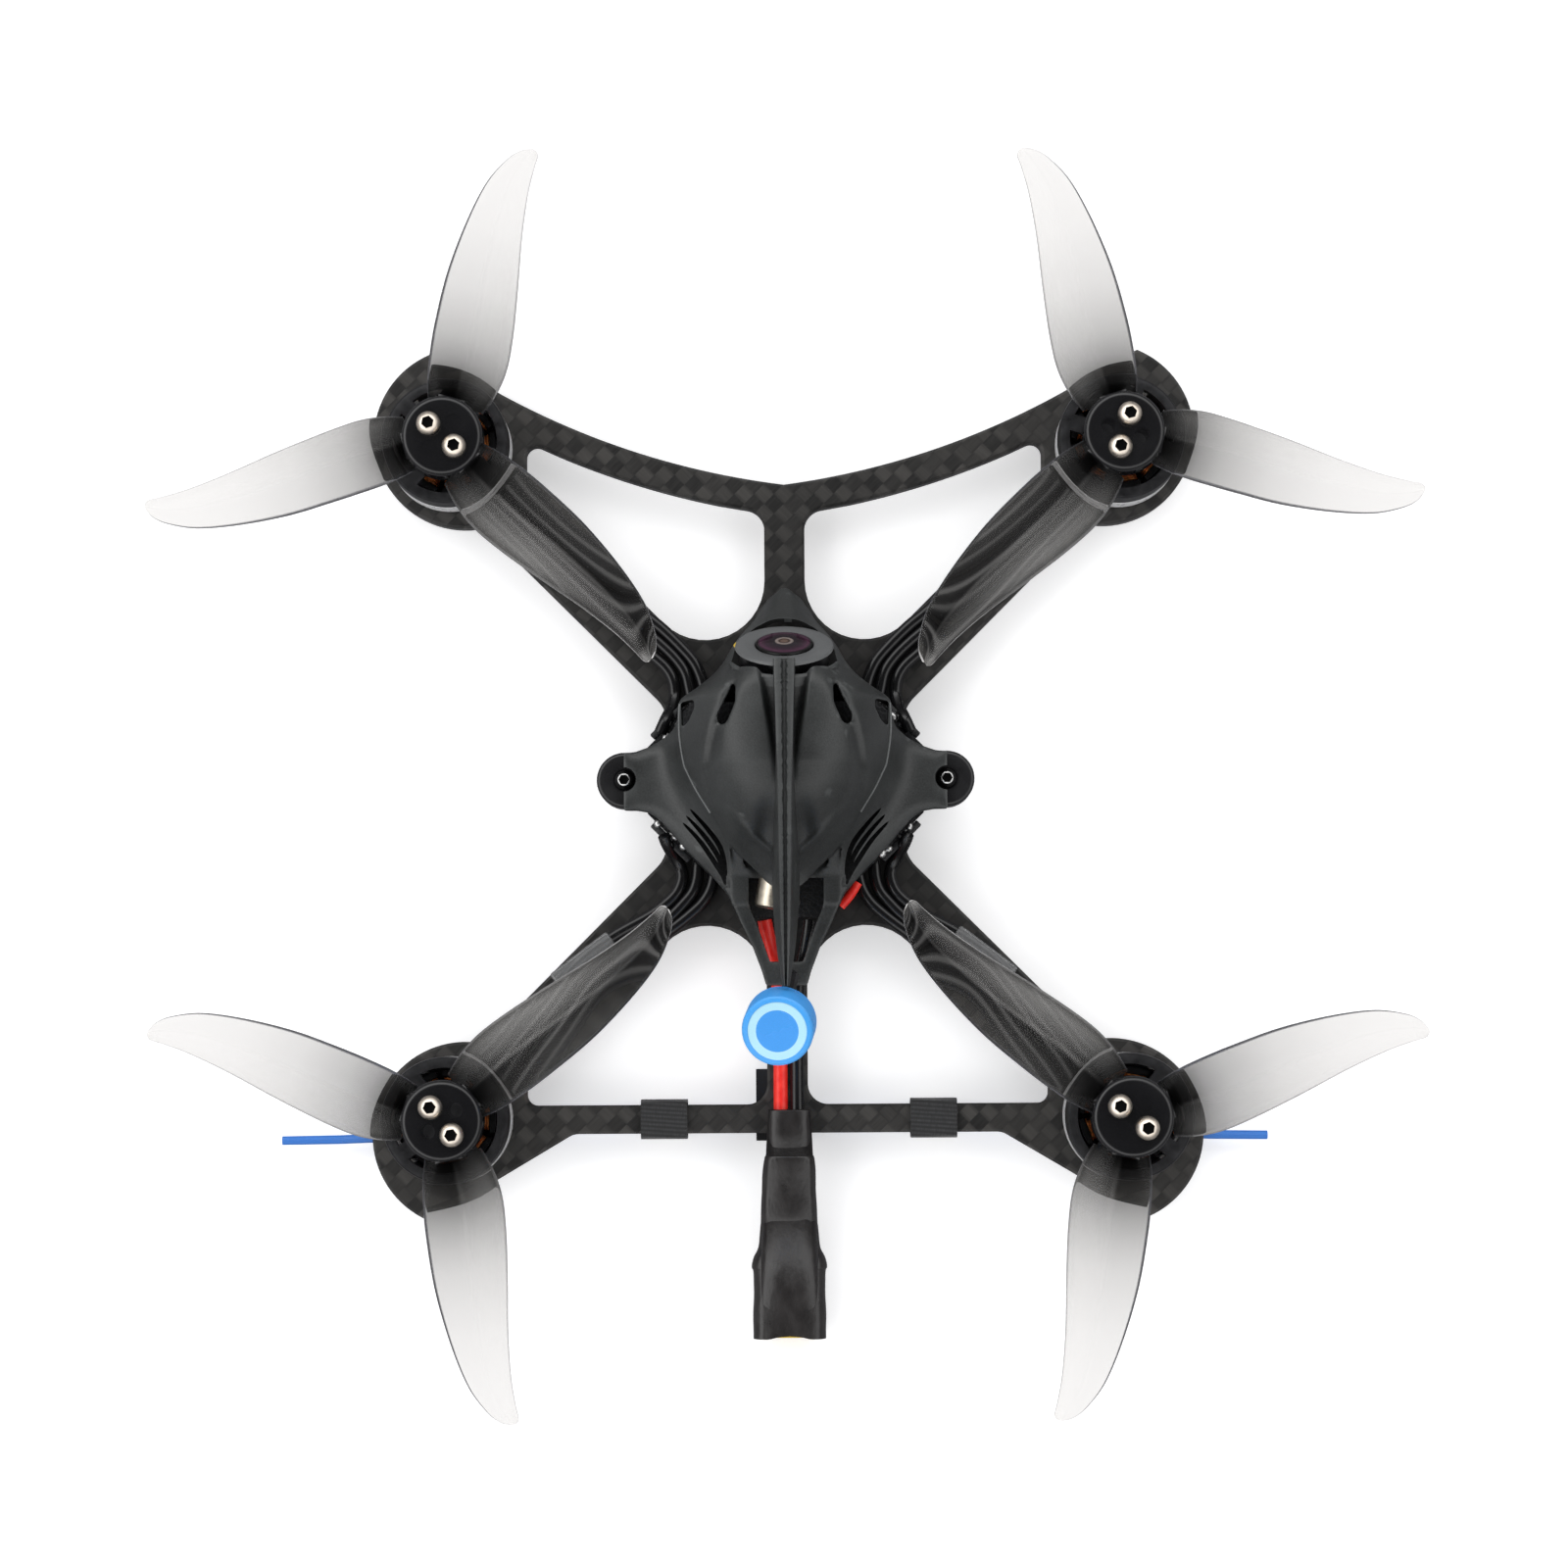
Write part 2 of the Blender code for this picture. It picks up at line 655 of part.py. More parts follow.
def frame_outline():
    """Return the plate's outer edge."""
    bar_end = MOTOR - NOSE_BAR_END_INWARD
    bar = [(bar_end * i / 6, nose_bar_edge(bar_end * i / 6, 0)) for i in range(7)]
    pad = bumper_arc(11)
    rear_pad = [(x, -y) for x, y in reversed(pad)]
    root = BODY_HALF_WIDTH - ARM_SIDE_REACH
    side = [
        (*pad[-1], 0),
        (BODY_HALF_WIDTH, root, BODY_FILLET),
        (BODY_HALF_WIDTH, EAR_HALF_WIDTH, EAR_ROOT_FILLET),
        (EAR_REACH, EAR_HALF_WIDTH, EAR_HALF_WIDTH),
        (EAR_REACH, -EAR_HALF_WIDTH, EAR_HALF_WIDTH),
        (BODY_HALF_WIDTH, -EAR_HALF_WIDTH, EAR_ROOT_FILLET),
        (BODY_HALF_WIDTH, -root, BODY_FILLET),
        (*rear_pad[0], 0),
    ]
    knee = (MOTOR - GUSSET_INWARD, TAIL_BAR_REAR, GUSSET_FILLET)
    gusset = [(*rear_pad[-1], 0), knee, (0, TAIL_BAR_REAR, 0)]
    right = bar + pad[:-1] + filleted(side) + rear_pad[1:-1] + filleted(gusset)[:-1]
    return right + mirrored(right)[:-1]


def front_window():
    """Return the right front window between nose bar, spine and arm."""
    corners = [(SPINE_HALF_WIDTH, nose_bar_edge(SPINE_HALF_WIDTH, NOSE_BAR_WIDTH), SPINE_FILLET)]
    for share in (0.22, 0.42, 0.62, 0.82):
        x = SPINE_HALF_WIDTH + (WINDOW_END - SPINE_HALF_WIDTH) * share
        corners.append((x, nose_bar_edge(x, NOSE_BAR_WIDTH), 0))
    corners.append((WINDOW_END, nose_bar_edge(WINDOW_END, NOSE_BAR_WIDTH), WINDOW_FILLET))
    corners.append((WINDOW_END, WINDOW_END + ARM_END_REACH, WINDOW_FILLET))
    corners.append((SPINE_HALF_WIDTH, SPINE_HALF_WIDTH + ARM_END_REACH, CRUTCH_FILLET))
    return filleted(corners, WINDOW_FILLET_STEPS, WINDOW_SIDE_SHARE)


def rear_window():
    """Return the right rear window between tail bar, spine and arm."""
    corners = [
        (SPINE_HALF_WIDTH, TAIL_BAR_FRONT, SPINE_FILLET),
        (SPINE_HALF_WIDTH, -SPINE_HALF_WIDTH - ARM_END_REACH, CRUTCH_FILLET),
        (WINDOW_END, -WINDOW_END - ARM_END_REACH, WINDOW_FILLET),
        (WINDOW_END, TAIL_BAR_FRONT, WINDOW_FILLET),
    ]
    return filleted(corners, WINDOW_FILLET_STEPS, WINDOW_SIDE_SHARE)


def round_hole(x, y, radius, sides=6):
    """Return a round hole's edge."""
    return [(x + radius * math.cos(2 * math.pi * i / sides), y + radius * math.sin(2 * math.pi * i / sides))
            for i in range(sides)]


def board_posts():
    """Return the places of the four board posts."""
    reach = BOARD_HOLE_REACH
    return (("right", reach, 0), ("front", 0, reach), ("left", -reach, 0), ("rear", 0, -reach))


def motor_bolts(x, y):
    """Return the places of one motor's mounting bolts."""
    reach = MOTOR_BOLT_RADIUS
    return ((x + reach, y), (x, y + reach), (x - reach, y), (x, y - reach))


def build_frame():
    """Build the battery pad and the frame plate with all its holes."""
    flat("battery_pad", [rounded_rectangle(PAD_WIDTH / 2, PAD_LENGTH / 2, PAD_CORNER)], 0, PAD_THICKNESS, 0,
         RUBBER)
    loops = [frame_outline()]
    for window in (front_window(), rear_window()):
        loops.append(window)
        loops.append(mirrored(window))
    plate = flat("plate_blank", loops, PLATE_BOTTOM, PLATE_TOP, PLATE_CHAMFER)
    holes = [(x, y, POST_PEG_RADIUS + FIT) for _, x, y in board_posts()]
    holes += [(side * EAR_SCREW_REACH, 0, EAR_SCREW_RADIUS + FIT) for side in (-1, 1)]
    for _, side_x, side_y, *_ in ROTORS:
        holes.append((side_x * MOTOR, side_y * MOTOR, BEARING_TUBE_RADIUS))
        holes += [(x, y, MOTOR_BOLT_HOLE) for x, y in motor_bolts(side_x * MOTOR, side_y * MOTOR)]
    drills = flat("drills", [round_hole(*hole) for hole in holes], PLATE_BOTTOM - FIT, PLATE_TOP + FIT)
    combined(plate, [drills], "DIFFERENCE", "frame_plate", CARBON)


def stator_outline():
    """Return the toothed edge of a stator with its windings."""
    neck = STATOR_RADIUS - TOOTH_TIP_THICKNESS
    corner = math.sqrt(STATOR_RADIUS ** 2 - (TOOTH_TIP_WIDTH / 2) ** 2)
    half = [(STATOR_HUB_RADIUS, TOOTH_ROOT_WIDTH / 2), (neck - FIT, WINDING_WIDTH / 2),
            (neck, TOOTH_TIP_WIDTH / 2), (corner, TOOTH_TIP_WIDTH / 2)]
    tooth = [(u, -v) for u, v in half] + [(u, v) for u, v in reversed(half)]
    points = []
    for k in range(STATOR_TEETH):
        angle = 2 * math.pi * k / STATOR_TEETH
        for u, v in tooth:
            x = u * math.cos(angle) - v * math.sin(angle)
            y = u * math.sin(angle) + v * math.cos(angle)
            points.append((x, y))
    return points


def bell_window(k):
    """Return one opening between two spokes of the bell's top."""
    outer = BELL_RADIUS - BELL_WALL
    half = BELL_SPOKE_WIDTH / 2
    first = math.asin(half / outer)
    inner_first = math.asin(half / BELL_BOSS_RADIUS)
    quarter = 2 * math.pi / BELL_SPOKES
    start = quarter * k
    steps = 3
    points = []
    for i in range(steps + 1):
        angle = start + first + (quarter - 2 * first) * i / steps
        points.append((outer * math.cos(angle), outer * math.sin(angle)))
    for i in range(steps + 1):
        angle = start + quarter - inner_first - (quarter - 2 * inner_first) * i / steps
        points.append((BELL_BOSS_RADIUS * math.cos(angle), BELL_BOSS_RADIUS * math.sin(angle)))
    return points


def motor_meshes():
    """Model one base, stator and bell about the motor's axis, at their heights."""
    bore = SHAFT_RADIUS + FIT
    tube_top = SEAT + BEARING_TUBE_HEIGHT
    base = turned("base_blank", [
        (bore, tube_top), (BEARING_TUBE_RADIUS, tube_top), (BEARING_TUBE_RADIUS, BASE_TOP),
        (MOTOR_BASE_RADIUS, BASE_TOP), (MOTOR_BASE_RADIUS, SEAT), (bore, SEAT),
    ], 16)
    bolts = flat("base_bolts", [round_hole(x, y, MOTOR_BOLT_HOLE) for x, y in motor_bolts(0, 0)],
                 SEAT - FIT, BASE_TOP + FIT)
    base = combined(base, [bolts], "DIFFERENCE", "base_pattern")
    foot = BASE_TOP + STATOR_LIFT
    core = round_hole(0, 0, BEARING_TUBE_RADIUS + FIT, 12)
    stator = flat("stator_pattern", [stator_outline(), core], foot, foot + STATOR_HEIGHT)
    inner = BELL_RADIUS - BELL_WALL
    bell = turned("bell_blank", [
        (0, BELL_TOP), (BELL_RADIUS - BELL_EDGE, BELL_TOP), (BELL_RADIUS, BELL_TOP - BELL_EDGE),
        (BELL_RADIUS, BELL_BOTTOM), (inner, BELL_BOTTOM), (inner, BELL_UNDERSIDE),
        (SHAFT_RADIUS, BELL_UNDERSIDE), (SHAFT_RADIUS, SEAT + FIT), (0, SEAT + FIT),
    ], 16)
    loops = [bell_window(k) for k in range(BELL_SPOKES)]
    loops += [round_hole(side * HUB_BOLT_RADIUS, 0, SCREW_RADIUS + FIT) for side in (-1, 1)]
    cut = flat("bell_cut", loops, BELL_UNDERSIDE - FIT, BELL_TOP + FIT)
    bell = combined(bell, [cut], "DIFFERENCE", "bell_pattern")
    return base, stator, bell


def blade_ring(station, lead, trail, sense):
    """Return one closed section of a blade that points along +X."""
    along = station * PROPELLER_RADIUS
    slope = PROPELLER_PITCH / (2 * math.pi * max(along, BLADE_STEEPEST_RADIUS))
    slope *= min(1.0, along / BLADE_FULL_PITCH_RADIUS)
    thick = BLADE_ROOT_THICKNESS + (BLADE_TIP_THICKNESS - BLADE_ROOT_THICKNESS) * station
    middle = (HUB_BOTTOM + HUB_TOP) / 2
    upper = []
    lower = []
    for share in (0.0, 0.2, 0.6, 1.0):
        across = (lead + (trail - lead) * share) * PROPELLER_RADIUS
        camber = 4 * share * (1 - share) * BLADE_CAMBER * thick
        half = thick * math.sqrt(share * (1 - share))
        height = middle + across * slope + camber
        upper.append((along, sense * across, height + half))
        lower.append((along, sense * across, height - half))
    return upper + lower[-2:0:-1]


def propeller_blank(name, sense):
    """Model a propeller about its axis with its hub holes."""
    hub = turned(name + "_hub", [
        (0, HUB_TOP), (HUB_RADIUS - 2 * HUB_EDGE, HUB_TOP), (HUB_RADIUS - HUB_EDGE, HUB_TOP - HUB_EDGE),
        (HUB_RADIUS, HUB_BOTTOM), (0, HUB_BOTTOM),
    ], 18)
    blades = []
    for k in range(BLADE_COUNT):
        blade = loft(name + "_blade", [blade_ring(*row, sense) for row in BLADE_PLAN])
        blades.append(moved(blade, Matrix.Rotation(2 * math.pi * k / BLADE_COUNT, 4, "Z")))
    solid = combined(hub, blades, "UNION", name + "_solid")
    holes = [round_hole(0, 0, SHAFT_RADIUS + FIT)]
    for k in range(4):
        angle = sense * HUB_BOLT_ANGLE + math.pi / 2 * k
        x = HUB_BOLT_RADIUS * math.cos(angle)
        y = HUB_BOLT_RADIUS * math.sin(angle)
        holes.append(round_hole(x, y, SCREW_RADIUS + FIT))
    drills = flat(name + "_drills", holes, HUB_BOTTOM - FIT, HUB_TOP + FIT)
    return combined(solid, [drills], "DIFFERENCE", name)


def socket_screw(name, top, head_radius, head_height, radius, tip):
    """Model a socket screw about its axis, its head's upper face at a height."""
    seat = top - head_height
    edge = head_radius * 0.2
    screw = turned(name + "_blank", [
        (0, top), (head_radius - edge, top), (head_radius, top - edge), (head_radius, seat), (radius, seat),
        (radius, tip), (0, tip),
    ], 9)
    socket = cylinder(name + "_socket", SCREW_SOCKET_RADIUS, (0, 0, top - SCREW_SOCKET_DEPTH), (0, 0, 1),
                      2 * SCREW_SOCKET_DEPTH, 6)
    return combined(screw, [socket], "DIFFERENCE", name)


def placed(pattern, name, finish, matrix, parent=None):
    """Put a copy of a pattern's mesh into the model as a part of its own."""
    obj = object_from(pattern.data.copy(), name, finish)
    if parent is None:
        obj.matrix_world = matrix
    else:
        obj.parent = parent
        obj.matrix_local = matrix
    return obj


def axis_empty(name, place):
    """Make an empty on a joint's axis."""
    empty = bpy.data.objects.new(name, None)
    PARTS.objects.link(empty)
    empty.location = place
    return empty


def build_rotors():
    """Build the four motors, propellers and their screws."""
    base, stator, bell = motor_meshes()
    propellers = {sense: propeller_blank("propeller_" + str(sense), sense) for sense in (1, -1)}
    screw_top = HUB_TOP + FIT + SCREW_HEAD_HEIGHT
    screw = socket_screw("prop_screw", screw_top, SCREW_HEAD_RADIUS, SCREW_HEAD_HEIGHT, SCREW_RADIUS,
                         BELL_UNDERSIDE + FIT)
    for name, side_x, side_y, blade_angle, sense, pair in ROTORS:
        place = Matrix.Translation((side_x * MOTOR, side_y * MOTOR, 0))
        placed(base, "motor_base_" + name, BLACK_METAL, place)
        placed(stator, "motor_stator_" + name, COPPER, place)
        axis = axis_empty("rotor_axis_" + name, place.translation)
        blade = math.radians(blade_angle)
        line = blade + sense * HUB_BOLT_ANGLE + math.pi / 2 * pair
        placed(bell, "motor_bell_" + name, BLACK_METAL, Matrix.Rotation(line, 4, "Z"), axis)
        placed(propellers[sense], "propeller_" + name, SMOKE, Matrix.Rotation(blade, 4, "Z"), axis)
        for letter, turn in (("a", 0), ("b", math.pi)):
            spot = Matrix.Rotation(line + turn, 4, "Z") @ Matrix.Translation((HUB_BOLT_RADIUS, 0, 0))
            placed(screw, "prop_screw_" + name + "_" + letter, STEEL, spot, axis)
    for pattern in (base, stator, bell, screw, *propellers.values()):
        bpy.data.objects.remove(pattern)


def rim_height(y):
    """Return how far the canopy's rim lies below its seat plane at a station."""
    drop = CANOPY_RIM - SEAT - FIT
    share = (y - NOSE_RIM_REAR) / (NOSE_RIM_FRONT - NOSE_RIM_REAR)
    return CANOPY_RIM - drop * min(max(share, 0), 1)


def canopy_ring(row, inset):
    """Return the closed section of the canopy at a station, drawn in by an inset."""
    y, dome, top, crease, skirt = row
    dome = max(dome - inset, 0.0004)
    skirt = max(skirt - inset, 0.0006)
    top_z = CANOPY_RIM + top - inset
    crease_z = CANOPY_RIM + crease - inset * 0.5
    rim = rim_height(y) - (FIT if inset else 0)
    half = []
    steps = 6
    for i in range(steps + 1):
        angle = math.pi / 2 * i / steps
        half.append((dome * math.sin(angle) ** 0.9, crease_z + (top_z - crease_z) * math.cos(angle) ** 0.8))
    half.append((dome + (skirt - dome) * 0.4, rim + (crease_z - rim) * 0.5))
    half.append((skirt, rim))
    right = [(x, y, z) for x, z in half]
    left = [(-x, y, z) for x, z in reversed(half[1:])]
    return left + right


def canopy_shell():
    """Model the hollow canopy, open below."""
    rows = smooth_row(CANOPY_STATIONS, CANOPY_RING_SPACING)
    outer = loft("canopy_outer", [canopy_ring(row, 0) for row in rows])
    inside = [row for row in rows if row[0] < rows[0][0] - 2 * CANOPY_WALL]
    inside.append((rows[-1][0] - FIT, *rows[-1][1:]))
    inner = loft("canopy_inner", [canopy_ring(row, CANOPY_WALL) for row in inside])
    return combined(outer, [inner], "DIFFERENCE", "canopy_shell", solver="MANIFOLD")


def canopy_fin():
    """Model the dorsal fin with its creased top."""
    rings = []
    for y, half, bottom, top in smooth_row(FIN_STATIONS, FIN_RING_SPACING):
        low = CANOPY_RIM + bottom
        high = CANOPY_RIM + top
        shoulder = high - half * FIN_SHOULDER
        ridge = half * FIN_RIDGE
        rings.append([
            (-half, y, low), (half, y, low), (half, y, shoulder), (ridge, y, high),
            (0, y, high - half * FIN_GROOVE), (-ridge, y, high), (-half, y, shoulder),
        ])
    return loft("canopy_fin", rings)


def on_side(points, side):
    """Return points of the right side on one side of the middle."""
    return [(side * x, y) for x, y in points]


def canopy_lug(side):
    """Model one side lug."""
    corners = [(*LUG_ROOT_FRONT[0], 0), (*LUG_ROOT_FRONT[1], LUG_FILLET), (EAR_SCREW_REACH, LUG_END_FRONT, 0),
               (EAR_SCREW_REACH, LUG_END_REAR, 0), (*LUG_ROOT_REAR[0], LUG_FILLET), (*LUG_ROOT_REAR[1], 0)]
    outline = on_side(filleted(corners), side)
    return flat("lug", [outline], CANOPY_RIM + CANOPY_JOIN, CANOPY_RIM + LUG_THICKNESS)


def canopy_rails():
    """Model the tail rails round the open tail."""
    outer = list(RAIL_OUTER)
    inner = list(RAIL_INNER)
    outline = outer + mirrored(outer) + mirrored(inner) + inner
    return flat("rails", [outline], CANOPY_RIM + 2 * CANOPY_JOIN, CANOPY_RIM + RAIL_HEIGHT + CANOPY_JOIN)


def slot_outline(k):
    """Return one louvre slot of the right side."""
    shift = Vector(SLOT_PITCH) * k
    start = Vector(SLOT_START) + shift
    end = Vector(SLOT_END) + shift
    across = (end - start).orthogonal().normalized() * SLOT_WIDTH / 2
    return [tuple(point) for point in (start + across, end + across, end - across, start - across)]


def vent_cutters(side):
    """Model the tools that open one side's vents, slots and tail."""
    top = CANOPY_RIM + CANOPY_CUT_TOP
    rim = CANOPY_RIM
    tools = [
        flat("tail_cut", [on_side(TAIL_CUT, side)], rim + RAIL_HEIGHT, top),
        flat("drop_vent", [on_side(DROP_VENT, side)], rim + DROP_VENT_FLOOR, top),
        flat("corner_vent", [on_side(CORNER_VENT, side)], rim + CORNER_VENT_FLOOR, rim + CORNER_VENT_TOP),
    ]
    for k in range(SLOT_COUNT):
        tools.append(flat("slot", [on_side(slot_outline(k), side)], rim + SLOT_FLOOR, top))
    return tools


def camera_frame():
    """Return the camera's place: its front face's middle, with +Y along the lens axis."""
    front = (0, CAMERA_FORWARD, CANOPY_RIM + CAMERA_RISE)
    return Matrix.Translation(front) @ Matrix.Rotation(CAMERA_TILT, 4, "X")


def camera_axis():
    """Return the middle of the camera's tilt axis."""
    return camera_frame() @ Vector((0, -BEZEL_THICKNESS - CAMERA_DEPTH / 2, 0))


def build_canopy():
    """Build the canopy with its vents, fin, rails, lugs and pin bosses."""
    cutters = [*vent_cutters(-1), *vent_cutters(1)]
    shell = combined(canopy_shell(), cutters, "DIFFERENCE", "canopy_open", solver="MANIFOLD")
    axis = camera_axis()
    boss_start = CAMERA_WIDTH / 2 + 2 * FIT
    forward = camera_frame().to_3x3() @ Vector((0, 1, 0))
    back = camera_frame() @ Vector((0, -BEZEL_THICKNESS - 4 * FIT, 0))
    joins = [canopy_fin(), canopy_rails()]
    drills = [cylinder("camera_cut", CAMERA_OPENING_RADIUS, back, forward, CAMERA_HEIGHT, 32)]
    for side in (-1, 1):
        joins.append(canopy_lug(side))
        joins.append(cylinder("pin_boss", PIN_BOSS_RADIUS, (side * boss_start, axis.y, axis.z), (side, 0, 0),
                              PIN_BOSS_END - boss_start, 12))
        drills.append(cylinder("pin_bore", PIN_RADIUS + FIT, (side * (boss_start - FIT), axis.y, axis.z),
                               (side, 0, 0), PIN_LENGTH + 3 * FIT, 10))
        drills.append(flat("notch", [round_hole(side * EAR_SCREW_REACH, 0, LUG_NOTCH_RADIUS, 16)],
                           CANOPY_RIM - FIT, CANOPY_RIM + LUG_THICKNESS + FIT))
    shell = combined(shell, joins, "UNION", "canopy_joined", solver="MANIFOLD")
    combined(shell, drills, "DIFFERENCE", "canopy", MOULDED, "MANIFOLD")


def build_ears():
    """Build the blocks under the canopy's lugs and their screws."""
    block_top = CANOPY_RIM - FIT
    screw = socket_screw("ear_screw", block_top + FIT + EAR_SCREW_HEAD_HEIGHT, EAR_SCREW_HEAD_RADIUS,
                         EAR_SCREW_HEAD_HEIGHT, EAR_SCREW_RADIUS, PLATE_BOTTOM)
    outline = [(EAR_BLOCK_INNER, EAR_BLOCK_RADIUS)]
    for i in range(11):
        angle = math.pi * (0.5 - i / 10)
        x = EAR_SCREW_REACH + EAR_BLOCK_RADIUS * math.cos(angle)
        outline.append((x, EAR_BLOCK_RADIUS * math.sin(angle)))
    outline.append((EAR_BLOCK_INNER, -EAR_BLOCK_RADIUS))
    hole = round_hole(EAR_SCREW_REACH, 0, EAR_SCREW_RADIUS + FIT, 12)
    for name, side in (("left", -1), ("right", 1)):
        loops = [on_side(outline, side), on_side(hole, side)]
        flat("ear_block_" + name, loops, SEAT, block_top, 0, BLACK_PLASTIC)
        place = Matrix.Translation((side * EAR_SCREW_REACH, 0, 0))
        placed(screw, "canopy_screw_" + name, BLACK_STEEL, place)
    bpy.data.objects.remove(screw)


def build_camera():
    """Build the camera about its tilt axis."""
    axis = axis_empty("camera_axis", camera_axis())
    axis.rotation_euler.x = CAMERA_TILT
    front = CAMERA_DEPTH / 2 + BEZEL_THICKNESS
    face = CAMERA_DEPTH / 2
    half = CAMERA_WIDTH / 2
    upright = Matrix.Rotation(-math.pi / 2, 4, "X")
    body = box("camera_blank", (-half, -face, -CAMERA_HEIGHT / 2), (half, face - FIT, CAMERA_HEIGHT / 2))
    edges = body.modifiers.new("edges", "BEVEL")
    edges.width = CAMERA_EDGE
    edges.segments = 2
    body = baked(body, "camera_body", BLACK_PLASTIC)
    bore = LENS_RADIUS + FIT
    bezel = turned("camera_bezel", [
        (bore, front), (BEZEL_RADIUS - BEZEL_EDGE, front), (BEZEL_RADIUS, front - BEZEL_EDGE),
        (BEZEL_RADIUS, face), (bore, face),
    ], 24, BEZEL_GREY)
    profile = []
    for i in range(5):
        angle = math.pi / 2 * i / 4
        height = front - LENS_RECESS - LENS_BULGE * (1 - math.cos(angle))
        profile.append((LENS_RADIUS * math.sin(angle), height))
    profile += [(LENS_RADIUS, face + FIT), (0, face + FIT)]
    lens = turned("camera_lens", profile, 16, LENS_GLASS)
    for piece in (bezel, lens):
        moved(piece, upright)
    for piece in (body, bezel, lens):
        piece.parent = axis
    for name, side in (("left", -1), ("right", 1)):
        foot = (side * (half + FIT), 0, 0)
        pin = cylinder("camera_pin_" + name, PIN_RADIUS, foot, (side, 0, 0), PIN_LENGTH, 12, STEEL)
        pin.parent = axis


def build_boards():
    """Build the flight controller on its posts, the boards above it and the capacitor."""
    edge = BOARD_DIAGONAL - BOARD_REACH
    quarter = [(BOARD_REACH, -edge), (BOARD_REACH, edge)]
    outline = []
    for k in range(4):
        turn = Matrix.Rotation(math.pi / 2 * k, 2)
        outline += [tuple(turn @ Vector(point)) for point in quarter]
    holes = [round_hole(x, y, POST_NECK_RADIUS + FIT, 12) for _, x, y in board_posts()]
    board = flat("board_blank", [outline, *holes], BOARD_BOTTOM, BOARD_TOP)
    chips = []
    for x, y, width in CHIPS:
        low = (x - width / 2, y - width / 2, BOARD_TOP - FIT)
        chips.append(box("chip", low, (x + width / 2, y + width / 2, BOARD_TOP + CHIP_HEIGHT)))
    combined(board, chips, "UNION", "flight_controller", BOARD)
    lip = POST_FLANGE_RADIUS - FIT
    lip_foot = BOARD_TOP + FIT
    lip_top = lip_foot + POST_LIP_HEIGHT
    flange_top = BOARD_BOTTOM - FIT
    peg_end = PLATE_BOTTOM + FIT
    post = turned("post", [
        (0, lip_top), (lip, lip_top), (lip, lip_foot), (POST_NECK_RADIUS, lip_foot),
        (POST_NECK_RADIUS, flange_top), (POST_FLANGE_RADIUS, flange_top), (POST_FLANGE_RADIUS, SEAT),
        (POST_PEG_RADIUS, SEAT), (POST_PEG_RADIUS, peg_end), (0, peg_end),
    ], 10)
    for name, x, y in board_posts():
        placed(post, "board_post_" + name, RUBBER, Matrix.Translation((x, y, 0)))
    bpy.data.objects.remove(post)
    foam = TRANSMITTER_FOAM_WIDTH / 2
    foam_top = BOARD_TOP + FIT + TRANSMITTER_FOAM_HEIGHT
    sender = box("sender", (-TRANSMITTER_WIDTH / 2, -TRANSMITTER_LENGTH / 2, foam_top),
                 (TRANSMITTER_WIDTH / 2, TRANSMITTER_LENGTH / 2, foam_top + TRANSMITTER_THICKNESS))
    pad = box("sender_foam", (-foam, -foam, BOARD_TOP + FIT), (foam, foam, foam_top + FIT))
    combined(sender, [pad], "UNION", "video_transmitter", BOARD)
    sender_top = foam_top + TRANSMITTER_THICKNESS
    box("receiver", (-RECEIVER_WIDTH / 2, -RECEIVER_LENGTH / 2, sender_top + FIT),
        (RECEIVER_WIDTH / 2, RECEIVER_LENGTH / 2, sender_top + FIT + RECEIVER_THICKNESS), BOARD)
    foot = (CAPACITOR_SHIFT, CAPACITOR_REAR, CANOPY_RIM + CAPACITOR_RADIUS)
    cylinder("capacitor", CAPACITOR_RADIUS, foot, (0, 1, 0), CAPACITOR_LENGTH, 16, CAN)


